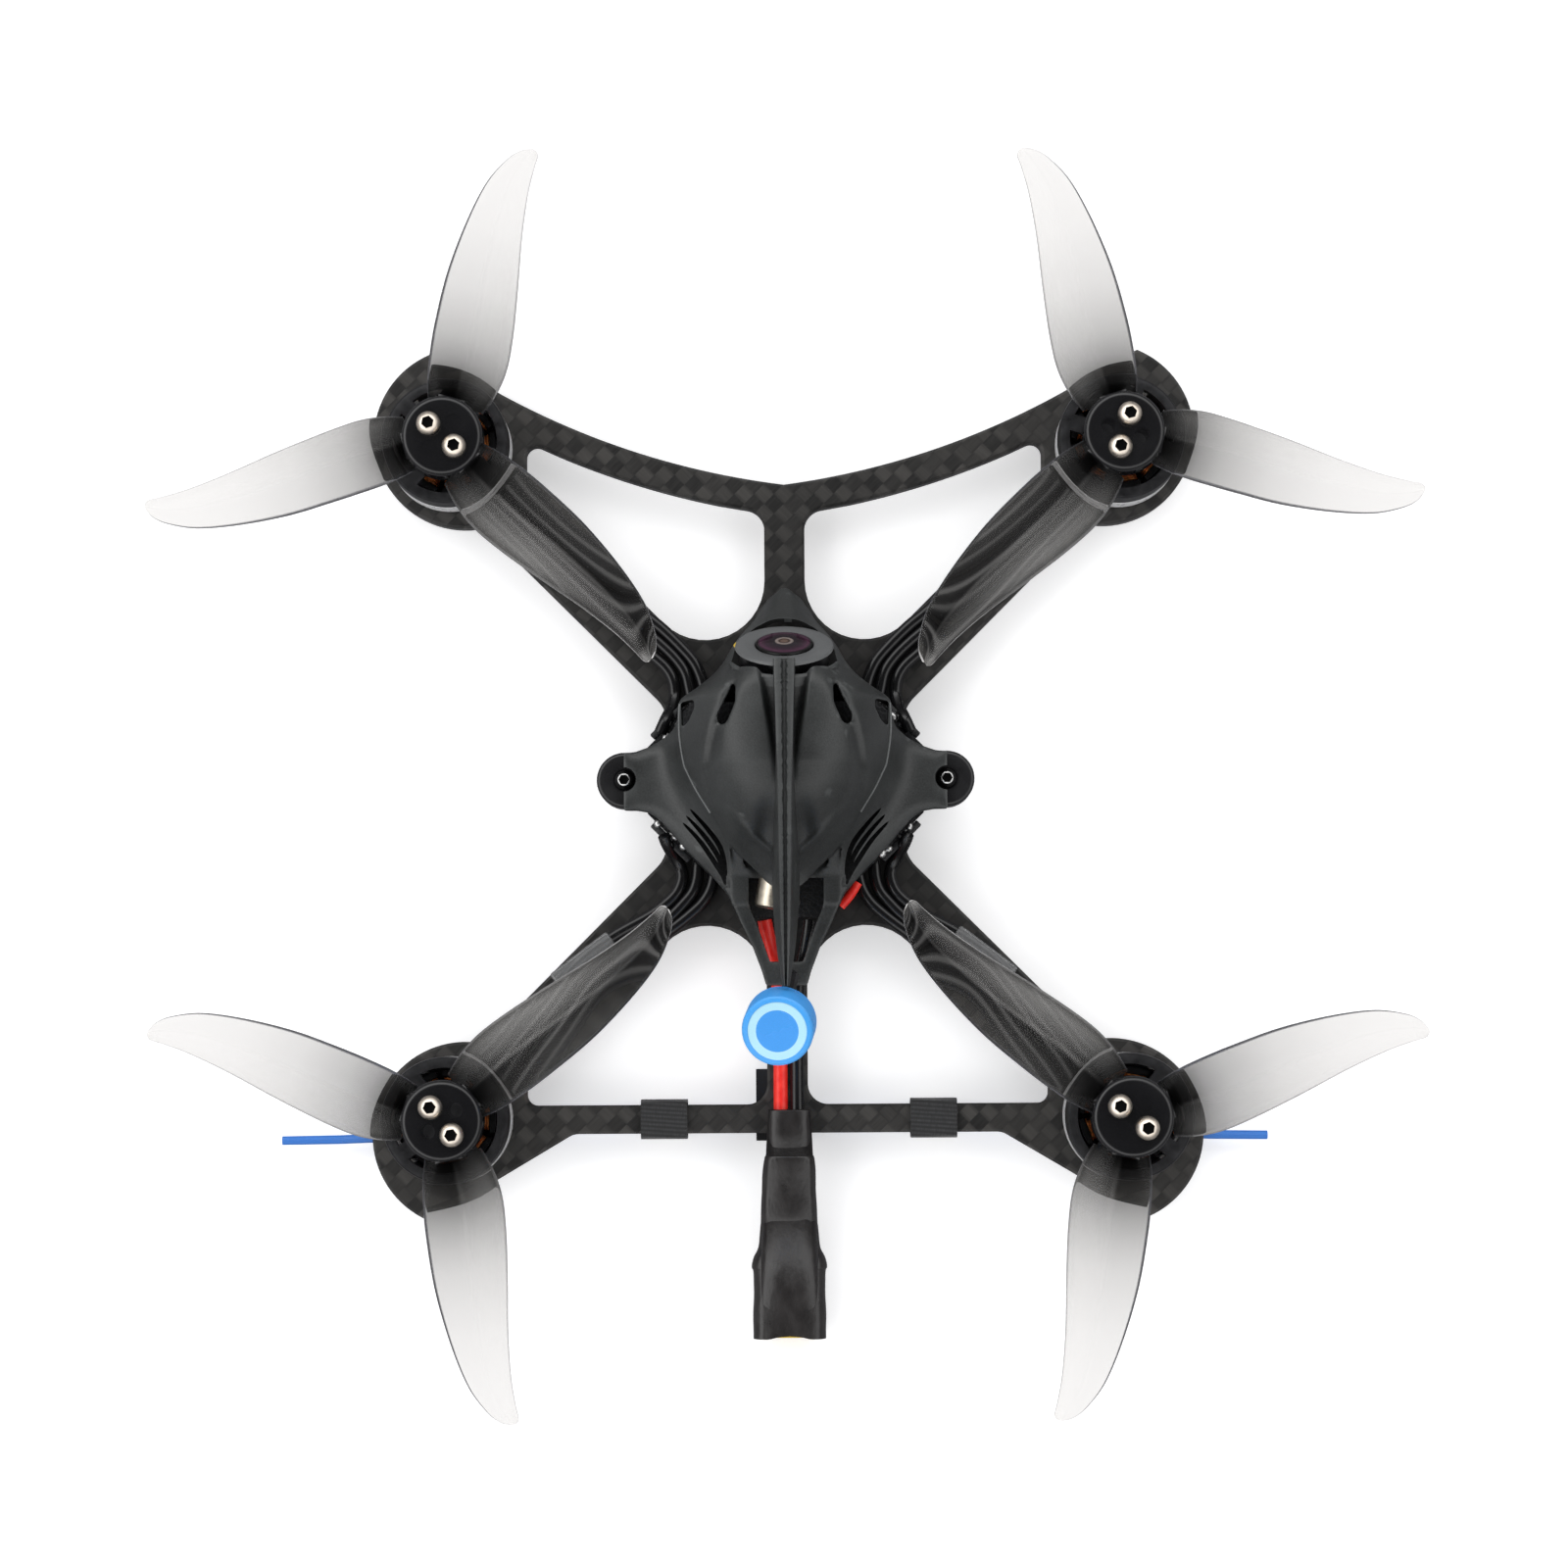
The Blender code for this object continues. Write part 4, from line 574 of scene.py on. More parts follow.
class Shader(NodeTree):
    """The node tree of one finish."""

    def __init__(self, name: str) -> None:
        """Start a material with a Principled surface."""
        self.material = bpy.data.materials.new(name)
        self.material.use_nodes = True
        super().__init__(self.material.node_tree)
        self.tree.nodes.clear()
        self.output = self.add("ShaderNodeOutputMaterial")
        self.surface = self.add("ShaderNodeBsdfPrincipled")
        self.join(self.surface.outputs[0], self.output.inputs["Surface"])
        self.space = self.add("ShaderNodeTexCoord").outputs["Object"]

    def set(self, name: str, value: Socket | float | Sequence[float]) -> None:
        """Give one of the surface's inputs its value."""
        if not isinstance(value, bpy.types.NodeSocket) and isinstance(value, Sequence) and len(value) == 3:
            value = (*value, 1.0)
        self.give(self.surface.inputs[name], value)

    def mapped(self, scale: Sequence[float], turn: float = 0.0, source: Socket | None = None) -> Socket:
        """Return coordinates turned about Z and scaled."""
        node = self.add("ShaderNodeMapping")
        node.inputs["Rotation"].default_value = (0, 0, turn)
        node.inputs["Scale"].default_value = scale
        self.join(source or self.space, node.inputs["Vector"])
        return node.outputs[0]

    def noise(self, scale: float, detail: float = 2.0, source: Socket | None = None) -> Socket:
        """Return cloud noise with features about one scale-th of a metre across."""
        node = self.add("ShaderNodeTexNoise")
        node.inputs["Scale"].default_value = scale
        node.inputs["Detail"].default_value = detail
        self.join(source or self.space, node.inputs["Vector"])
        return node.outputs["Fac"]

    def stored(self, name: str) -> Socket:
        """Return a number that the mesh's points hold."""
        return self.add("ShaderNodeAttribute", attribute_name=name).outputs["Fac"]

    def vary(self, cloud: Socket, low: float, high: float) -> Socket:
        """Return a number that cloud noise moves between two bounds."""
        return self.spread(cloud, low, high, *NOISE_RANGE)

    def tones(self, cloud: Socket, low: Colour, high: Colour) -> Socket:
        """Return a colour that cloud noise moves between two."""
        return self.ramp(cloud, tuple(zip(NOISE_RANGE, (low, high))))

    def bump(self, height: Socket, distance: float, strength: float = 1.0) -> None:
        """Raise the surface by a height, up to a distance in metres."""
        node = self.add("ShaderNodeBump")
        node.inputs["Strength"].default_value = strength
        node.inputs["Distance"].default_value = distance
        self.join(height, node.inputs["Height"])
        self.join(node.outputs[0], self.surface.inputs["Normal"])

    def edges(self, radius: float) -> Socket:
        """Return how much a point lies on an outer edge, from the mesh's own pointiness."""
        node = self.add("ShaderNodeNewGeometry")
        return self.spread(node.outputs["Pointiness"], 0.0, 1.0, 0.5, 0.5 + radius)


@dataclass(frozen=True)
class CarbonWeave:
    """Woven carbon under a thin satin resin, darkened towards the frame's middle as painted shade."""

    tow: float = 0.0021
    dark: Colour = (0.009, 0.0088, 0.0086)
    light: Colour = (0.054, 0.051, 0.048)

    def make(self) -> bpy.types.Material:
        """Return the material."""
        shader = Shader("woven_carbon")
        grid = shader.mapped((1 / self.tow,) * 3, math.radians(45))
        u, v, _ = shader.axes(grid)
        cell_u = shader.sum("FLOOR", u)
        cell_v = shader.sum("FLOOR", v)
        parity = shader.sum("FLOORED_MODULO", shader.sum("ADD", cell_u, cell_v), 2.0)
        cell = shader.add("ShaderNodeCombineXYZ")
        shader.join(cell_u, cell.inputs[0])
        shader.join(cell_v, cell.inputs[1])
        chance = shader.add("ShaderNodeTexWhiteNoise", noise_dimensions="2D")
        shader.join(cell.outputs[0], chance.inputs["Vector"])
        over = shader.pick(parity, shader.sum("FRACT", u), shader.sum("FRACT", v))
        crown = shader.sum("MULTIPLY", shader.sum("PINGPONG", over, 0.5), 2.0)
        fibre = shader.pick(parity, *(shader.noise(1.0, 1.0, shader.mapped(stretch, source=grid))
                                      for stretch in ((9, 0.7, 1), (0.7, 9, 1))))
        tone = shader.sum("MULTIPLY_ADD", parity, 0.34,
                          shader.sum("MULTIPLY", chance.outputs["Value"], 0.36))
        tone = shader.sum("ADD", tone, shader.sum("MULTIPLY", fibre, 0.26))
        tone = shader.sum("MULTIPLY", tone, shader.spread(crown, 0.55, 1.0, 0.0, 0.45))
        # Painted shade: the weave's tone is darkened towards the frame's middle, where canopy, boards and
        # propellers shade the plate.
        out = shader.add("ShaderNodeVectorMath", operation="LENGTH")
        shader.join(shader.mapped((1, 1, 0)), out.inputs[0])
        tone = shader.sum("MULTIPLY", tone, shader.spread(out.outputs["Value"], 0.5, 1.0, 0.02, 0.055))
        shader.set("Base Color", shader.ramp(tone, [(0.08, self.dark), (0.85, self.light)]))
        shader.set("Roughness", shader.spread(fibre, 0.3, 0.45))
        shader.set("Coat Weight", 0.35)
        shader.set("Coat Roughness", 0.16)
        height = shader.sum("ADD", shader.sum("MULTIPLY", crown, 0.6), shader.sum("MULTIPLY", fibre, 0.4))
        shader.bump(height, 0.00006, 0.5)
        return shader.material


@dataclass(frozen=True)
class MouldedPlastic:
    """Moulded plastic with a fine spark-eroded grain and lightened edges, partly rubbed and partly a
    painted highlight.
    """

    name: str
    colour: Colour
    roughness: float = 0.55
    grain: float = 0.00014
    depth: float = 0.00003
    variation: float = 0.25
    edge_wear_and_highlight: float = 0.5
    gloss: float = 0.5

    def make(self) -> bpy.types.Material:
        """Return the material."""
        shader = Shader(self.name)
        grain = shader.noise(1 / self.grain, 2.0)
        cloud = shader.noise(160.0, 3.0)
        blotch = shader.sum("MULTIPLY_ADD", grain, 0.55, shader.sum("MULTIPLY", cloud, 0.45))
        body = shader.tones(blotch, toned(self.colour, 1 - self.variation),
                            toned(self.colour, 1 + self.variation))
        # Sharp edges, found by pointiness, get a lighter colour: partly rubbed plastic, partly a painted
        # highlight along the edges.
        worn_and_painted_highlight_edge = tuple(min(1.0, part * 1.9 + 0.01) for part in self.colour)
        edge = shader.sum("MULTIPLY", shader.edges(0.09), self.edge_wear_and_highlight)
        shader.set("Base Color", shader.mix(edge, body, worn_and_painted_highlight_edge))
        shader.set("Roughness", shader.vary(cloud, self.roughness - 0.08, self.roughness + 0.08))
        shader.set("Specular IOR Level", self.gloss)
        shader.bump(grain, self.depth, 0.6)
        return shader.material


@dataclass(frozen=True)
class SmokePolycarbonate:
    """Clear moulded polycarbonate whose smoke tint fades from the hub to the tips, with painted highlight
    bands across the blades and painted dark lines along their edges.
    """

    tint: Colour = (1.0, 0.985, 0.965)
    # Painted shade: dark colour laid along the leading and trailing edges, for the dark lines that
    # refraction gives a real blade's edges.
    edge: Colour = (0.10, 0.10, 0.11)
    gleam: Colour = (0.12, 0.12, 0.12)
    shares: tuple[Point2, ...] = (
        (0.0, 0.05), (0.135, 0.10), (0.19, 0.28), (0.26, 0.48), (0.34, 0.60), (0.50, 0.76), (0.70, 0.86),
        (0.85, 0.89), (1.0, 0.90))
    edges: tuple[Point2, ...] = (
        (0.0, 0.0), (0.028, 0.05), (0.045, 1.0), (0.97, 1.0), (0.985, 0.45), (1.0, 0.3))
    # Painted highlight: chordwise bands where the blade turns partly diffuse and pale, standing in for soft
    # reflections of the studio light; the next table weakens them towards the tips.
    painted_sheen: tuple[Point2, ...] = (
        (0.0, 0.30), (0.03, 0.25), (0.045, 0.03), (0.46, 0.012), (0.51, 0.10), (0.55, 0.05), (0.70, 0.11),
        (0.86, 0.15), (0.96, 0.06), (0.985, 0.40), (1.0, 0.40))
    painted_highlight_fade: tuple[Point2, ...] = (
        (0.12, 0.1), (0.20, 0.7), (0.30, 1.0), (0.45, 0.9), (0.60, 0.6), (0.75, 0.3), (0.95, 0.15),
        (0.99, 1.0))

    def make(self) -> bpy.types.Material:
        """Return the material."""
        shader = Shader("smoke_polycarbonate")
        reach = shader.stored("reach")
        chord = shader.stored("chord")
        stops = [(place, toned(self.tint, share)) for place, share in self.shares]
        curves = ((chord, self.edges), (chord, self.painted_sheen), (reach, self.painted_highlight_fade))
        inside, painted_sheen, painted_highlight_fade = (shader.ramp(source, [(place, (share,) * 3) for place, share in curve])
                               for source, curve in curves)
        flow = shader.noise(60.0, 1.0)
        # Smoke tint by reach, with the painted dark edge colour along both edges of each blade.
        shader.set("Base Color", shader.mix(inside, self.edge, shader.ramp(reach, stops)))
        # Less transmission in the painted highlight bands, so their pale diffuse colour shows.
        shader.set("Transmission Weight", shader.sum("SUBTRACT", 1.0, shader.sum("MULTIPLY", painted_sheen, painted_highlight_fade)))
        shader.set("Specular Tint", self.gleam)
        shader.set("IOR", 1.45)
        shader.set("Roughness", shader.vary(flow, 0.0, 0.02))
        shader.bump(flow, 0.0001, 0.01)
        return shader.material


@dataclass(frozen=True)
class ClearSleeve:
    """Clear shrunk tubing, slightly cloudy."""

    colour: Colour = (0.93, 0.94, 0.95)

    def make(self) -> bpy.types.Material:
        """Return the material."""
        shader = Shader("clear_sleeve")
        cloud = shader.noise(900.0, 2.0)
        shader.set("Base Color", shader.tones(cloud, toned(self.colour, 0.9), self.colour))
        shader.set("Transmission Weight", 0.88)
        shader.set("IOR", 1.42)
        shader.set("Roughness", shader.vary(cloud, 0.06, 0.14))
        return shader.material


@dataclass(frozen=True)
class BareMetal:
    """Turned or anodised metal with fine tool marks and smudges."""

    name: str
    colour: Colour
    roughness: float = 0.3
    metallic: float = 1.0
    marks: float = 9000.0
    variation: float = 0.2

    def make(self) -> bpy.types.Material:
        """Return the material."""
        shader = Shader(self.name)
        marks = shader.noise(self.marks, 1.0, shader.mapped((0.08, 0.08, 1.0)))
        smudge = shader.noise(700.0, 3.0)
        low, high = toned(self.colour, 1 - self.variation), toned(self.colour, 1 + self.variation)
        shader.set("Base Color", shader.tones(smudge, low, high))
        shader.set("Metallic", self.metallic)
        smooth, rough = self.roughness * (1 - self.variation), self.roughness * (1 + self.variation)
        shader.set("Roughness", shader.vary(smudge, smooth, rough))
        shader.bump(marks, 0.00001, 0.5)
        return shader.material


@dataclass(frozen=True)
class CopperWinding:
    """Enamelled copper wire."""

    colour: Colour = (0.85, 0.30, 0.09)

    def make(self) -> bpy.types.Material:
        """Return the material."""
        shader = Shader("copper_winding")
        tone = shader.noise(2600.0, 2.0)
        shader.set("Base Color", shader.ramp(tone, [(0.3, toned(self.colour, 0.55)), (0.65, self.colour)]))
        shader.set("Metallic", 0.85)
        shader.set("Roughness", shader.vary(tone, 0.25, 0.42))
        shader.set("Coat Weight", 0.4)
        return shader.material


@dataclass(frozen=True)
class LensGlass:
    """Coated front glass of a camera lens, with the rings of the elements behind it; its mauve bands are
    the coating's reflection, painted into the colour.
    """

    # From the middle out: dark centre, the elements' rims, then mauve bands that are painted reflection of
    # the lens coating, and a black edge.
    rings: tuple[tuple[float, Colour], ...] = (
        (0.0, (0.03, 0.016, 0.012)), (0.10, (0.11, 0.07, 0.055)), (0.18, (0.03, 0.016, 0.012)),
        (0.26, (0.22, 0.18, 0.165)), (0.31, (0.16, 0.13, 0.12)), (0.34, (0.010, 0.006, 0.010)),
        (0.50, (0.010, 0.004, 0.008)), (0.70, (0.024, 0.008, 0.018)), (0.84, (0.055, 0.020, 0.040)),
        (0.91, (0.03, 0.012, 0.022)), (0.94, (0.006, 0.006, 0.006)), (1.0, (0.006, 0.006, 0.006)))

    def make(self) -> bpy.types.Material:
        """Return the material."""
        shader = Shader("lens_glass")
        reach = shader.stored("reach")
        cloud = shader.noise(900.0, 1.0)
        shader.set("Base Color", shader.ramp(reach, self.rings))
        shader.set("Roughness", shader.vary(cloud, 0.03, 0.08))
        shader.set("Specular IOR Level", 0.22)
        return shader.material


@dataclass(frozen=True)
class CircuitBoard:
    """Black solder mask with faint copper tracks under it."""

    mask: Colour = (0.006, 0.0065, 0.0075)

    def make(self) -> bpy.types.Material:
        """Return the material."""
        shader = Shader("circuit_board")
        grid = shader.mapped((1400,) * 3, math.radians(45))
        tracks = shader.add("ShaderNodeTexVoronoi", feature="DISTANCE_TO_EDGE", distance="MANHATTAN")
        tracks.inputs["Scale"].default_value = 1.0
        shader.join(grid, tracks.inputs["Vector"])
        line = shader.spread(tracks.outputs["Distance"], 1.0, 0.0, 0.02, 0.07)
        shader.set("Base Color", shader.mix(line, self.mask, toned(self.mask, 2.6)))
        shader.set("Roughness", shader.vary(shader.noise(3000.0), 0.3, 0.5))
        shader.bump(line, 0.00003, 0.5)
        return shader.material


@dataclass(frozen=True)
class Solder:
    """Bright solder, slightly dull and uneven."""

    def make(self) -> bpy.types.Material:
        """Return the material."""
        shader = Shader("solder")
        tone = shader.noise(4000.0, 2.0)
        shader.set("Base Color", shader.tones(tone, (0.5, 0.5, 0.5), (0.85, 0.85, 0.84)))
        shader.set("Metallic", 1.0)
        shader.set("Roughness", shader.vary(tone, 0.25, 0.45))
        shader.bump(tone, 0.00005, 0.5)
        return shader.material


@dataclass(frozen=True)
class Silicone:
    """Soft silicone wire jacket with a powdery bloom."""

    name: str
    colour: Colour
    bloom: Colour
    roughness: float = 0.45
    gloss: float = 0.5

    def make(self) -> bpy.types.Material:
        """Return the material."""
        shader = Shader(self.name)
        cloud = shader.noise(900.0, 3.0)
        fine = shader.noise(9000.0, 1.0)
        shader.set("Base Color", shader.ramp(cloud, [(0.35, self.colour), (0.8, self.bloom)]))
        shader.set("Roughness", shader.vary(fine, self.roughness - 0.05, self.roughness + 0.05))
        shader.set("Specular IOR Level", self.gloss)
        shader.bump(fine, 0.00002, 0.3)
        return shader.material


@dataclass(frozen=True)
class HeatShrink:
    """Thick shrunk sleeve, slightly see-through and wrinkled."""

    colour: Colour = (0.014, 0.0125, 0.0125)

    def make(self) -> bpy.types.Material:
        """Return the material."""
        shader = Shader("heat_shrink")
        wrinkle = shader.noise(420.0, 3.0, shader.mapped((1.4, 0.8, 1.4)))
        fine = shader.noise(5200.0, 1.0)
        tones = [(0.3, self.colour), (0.75, toned(self.colour, 1.7))]
        shader.set("Base Color", shader.ramp(wrinkle, tones))
        shader.set("Roughness", shader.vary(wrinkle, 0.27, 0.4))
        height = shader.sum("MULTIPLY_ADD", wrinkle, 1.0, shader.sum("MULTIPLY", fine, 0.05))
        shader.bump(height, 0.0003, 0.4)
        return shader.material


@dataclass(frozen=True)
class Webbing:
    """Ribbed elastic webbing."""

    rib: float = 0.00062
    dark: Colour = (0.006, 0.006, 0.0065)
    light: Colour = (0.030, 0.031, 0.033)

    def make(self) -> bpy.types.Material:
        """Return the material."""
        shader = Shader("ribbed_webbing")
        slant = shader.mapped((1 / self.rib,) * 3, math.radians(4))
        _, across, _ = shader.axes(slant)
        rib = shader.sum("MULTIPLY", shader.sum("PINGPONG", across, 0.5), 2.0)
        thread = shader.noise(1.0, 2.0, shader.mapped((3.5, 0.6, 0.6), source=slant))
        tone = shader.sum("MULTIPLY", rib, shader.vary(thread, 0.5, 1.1))
        shader.set("Base Color", shader.ramp(tone, [(0.15, self.dark), (0.95, self.light)]))
        shader.set("Roughness", 0.8)
        shader.set("Sheen Weight", 0.3)
        shader.bump(tone, 0.00012, 0.9)
        return shader.material


class Finishes:
    """Every finish of the drone, each made once."""

    def __init__(self) -> None:
        """Make the materials."""
        self.carbon = CarbonWeave().make()
        # Lighter canopy finish for the shoulder beads: a painted highlight along the shoulder edge.
        self.canopy_edge_highlight = MouldedPlastic("moulded_canopy_edge", (0.10, 0.105, 0.105), 0.34, 0.00024,
                                          0.00003, 0.3).make()
        self.canopy = MouldedPlastic("moulded_canopy", (0.026, 0.028, 0.028), 0.42, 0.00024, 0.00005, 0.45,
                                     0.9).make()
        # Near-black finish for the canopy's hollow inside and the screw sockets: painted shade, for the
        # shade that falls in there.
        self.inside = MouldedPlastic("canopy_inside", (0.006, 0.006, 0.006), 0.8, edge_wear_and_highlight=0.0,
                                     gloss=0.2).make()
        self.black_plastic = MouldedPlastic("black_plastic", (0.008, 0.008, 0.009), 0.3).make()
        self.bezel = MouldedPlastic("bezel_grey", (0.105, 0.109, 0.111), 0.42, variation=0.12).make()
        self.rubber = MouldedPlastic("pad_rubber", (0.02, 0.02, 0.021), 0.85, grain=0.0003).make()
        self.smoke = SmokePolycarbonate().make()
        self.hub = MouldedPlastic("hub_black", (0.007, 0.007, 0.008), 0.16, 0.0004, 0.00001, 0.2,
                                  0.15).make()
        self.black_metal = BareMetal("black_anodised", (0.026, 0.026, 0.028), 0.34, 0.6).make()
        # Steel flux ring, given a near-white and mostly diffuse colour as a painted reflection of the white
        # floor.
        self.flux_ring_with_painted_reflection = BareMetal("flux_ring_steel", (0.84, 0.84, 0.85), 0.28, 0.3, variation=0.05).make()
        self.screw = BareMetal("polished_screw", (0.74, 0.66, 0.57), 0.3).make()
        self.black_steel = BareMetal("black_screw", (0.02, 0.02, 0.021), 0.3, 0.8).make()
        self.silver = BareMetal("capacitor_can", (0.62, 0.56, 0.46), 0.3).make()
        self.copper = CopperWinding().make()
        self.lens = LensGlass().make()
        self.board = CircuitBoard().make()
        self.solder = Solder().make()
        self.red_wire = Silicone("red_silicone", (0.78, 0.012, 0.008), (0.93, 0.05, 0.03), 0.38).make()
        self.black_wire = Silicone("black_silicone", (0.006, 0.006, 0.0065), (0.006, 0.006, 0.007), 0.17,
                                   0.45).make()
        self.shrink = HeatShrink().make()
        self.webbing = Webbing().make()
        self.cap_blue = MouldedPlastic("cap_blue", (0.055, 0.33, 0.86), 0.3, variation=0.08,
                                       edge_wear_and_highlight=0.2).make()
        self.aerial_blue = MouldedPlastic("aerial_blue", (0.011, 0.15, 0.56), 0.32, variation=0.1,
                                          edge_wear_and_highlight=0.1).make()
        self.yellow = MouldedPlastic("connector_yellow", (0.82, 0.52, 0.03), 0.45, variation=0.1,
                                     edge_wear_and_highlight=0.1).make()
        self.clear = ClearSleeve().make()
        self.pale_blue = MouldedPlastic("pale_blue", (0.46, 0.78, 0.92), 0.35, variation=0.06,
                                        edge_wear_and_highlight=0.0).make()


def settle(piece: Piece, material: bpy.types.Material, body: str, slot: str, *nodes: str) -> Piece:
    """Dress a finished piece and fix it to the model.

    Args:
        piece: The finished piece.
        material: Its main finish, put on where it has none yet.
        body: The CAD body that it moves with.
        slot: The record's material slot that it belongs to; not used.
        nodes: The CAD nodes that it stands for.

    Returns:
        The piece.
    """
    if not any(piece.data.materials):
        piece.data.materials.clear()
        piece.data.materials.append(material)
    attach(piece, body)
    if nodes:
        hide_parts(*nodes)
    LOG.info("%s rides %s", piece.name, body)
    return piece


@dataclass
class Studio:
    """White floor, a ring of soft light and the camera of the photograph."""

    lens: float = 83.25
    sensor: float = 36.0
    place: Point3 = (0.0027, -0.0377, 0.5425)
    pitch: float = math.radians(3.98)
    roll: float = math.radians(0.34)
    turn: float = math.radians(-0.35)
    floor_size: float = 6.0
    floor_glow: float = 0.36
    level: float = 2.0
    key: Point3 = (-0.5, 0.45, 0.0)
    ring: tuple[Point2, ...] = (
        (0.0, 0.0), (0.02, 0.12), (0.28, 0.30), (0.52, 1.0), (0.74, 1.0), (0.90, 0.08), (1.0, 0.03))

    def build(self) -> None:
        """Set up camera, floor and world."""
        scene = bpy.context.scene
        scene.view_settings.view_transform = "Standard"
        data = bpy.data.cameras.new("camera")
        data.lens = self.lens
        data.sensor_width = self.sensor
        data.sensor_fit = "HORIZONTAL"
        data.clip_start = 0.01
        camera = bpy.data.objects.new("camera", data)
        scene.collection.objects.link(camera)
        turned = Matrix.Rotation(self.turn, 4, "Z") @ Matrix.Rotation(self.roll, 4, "Y")
        camera.matrix_world = Matrix.Translation(self.place) @ turned @ Matrix.Rotation(self.pitch, 4, "X")
        scene.camera = camera
        self.floor()
        self.world()
        LOG.info("studio is set")

    def floor(self) -> None:
        """Lay the floor, white to the eye but still holding soft shadows."""
        Bench.clear()
        bpy.ops.mesh.primitive_plane_add(size=self.floor_size, location=(0, 0, -0.0002))
        floor = Bench.named("studio_floor")
        shader = Shader("studio_floor")
        path = shader.add("ShaderNodeLightPath")
        through = path.outputs["Is Transmission Ray"]
        mirrored_only = shader.sum("SUBTRACT", path.outputs["Is Glossy Ray"], through)
        shader.set("Base Color", shader.mix(mirrored_only, (0.93, 0.93, 0.94), (0.25, 0.25, 0.26)))
        shader.set("Roughness", 1.0)
        shader.set("Specular IOR Level", 0.0)
        glow = shader.add("ShaderNodeEmission")
        shader.join(shader.sum("MULTIPLY", path.outputs["Is Camera Ray"], self.floor_glow),
                    glow.inputs["Strength"])
        both = shader.add("ShaderNodeAddShader")
        shader.join(shader.surface.outputs[0], both.inputs[0])
        shader.join(glow.outputs[0], both.inputs[1])
        shader.join(both.outputs[0], shader.output.inputs["Surface"])
        floor.data.materials.append(shader.material)

    def world(self) -> None:
        """Light the drone from a soft ring of panels round the camera; the camera itself sees white."""
        world = bpy.data.worlds.new("studio")
        bpy.context.scene.world = world
        world.use_nodes = True
        light = NodeTree(world.node_tree)
        toward = light.add("ShaderNodeTexCoord").outputs["Generated"]
        stops = [(place, (level,) * 3) for place, level in self.ring]
        ring = light.ramp(light.axes(toward)[2], stops, "EASE")
        side = light.add("ShaderNodeVectorMath", operation="DOT_PRODUCT")
        side.inputs[1].default_value = self.key
        light.join(toward, side.inputs[0])
        lean = light.sum("ADD", side.outputs["Value"], self.level)
        seen = light.add("ShaderNodeLightPath").outputs["Is Camera Ray"]
        panel = world.node_tree.nodes["Background"]
        light.join(light.pick(seen, light.sum("MULTIPLY", ring, lean), 1.0), panel.inputs["Strength"])
        panel.inputs["Color"].default_value = (1.0, 1.0, 1.0, 1.0)


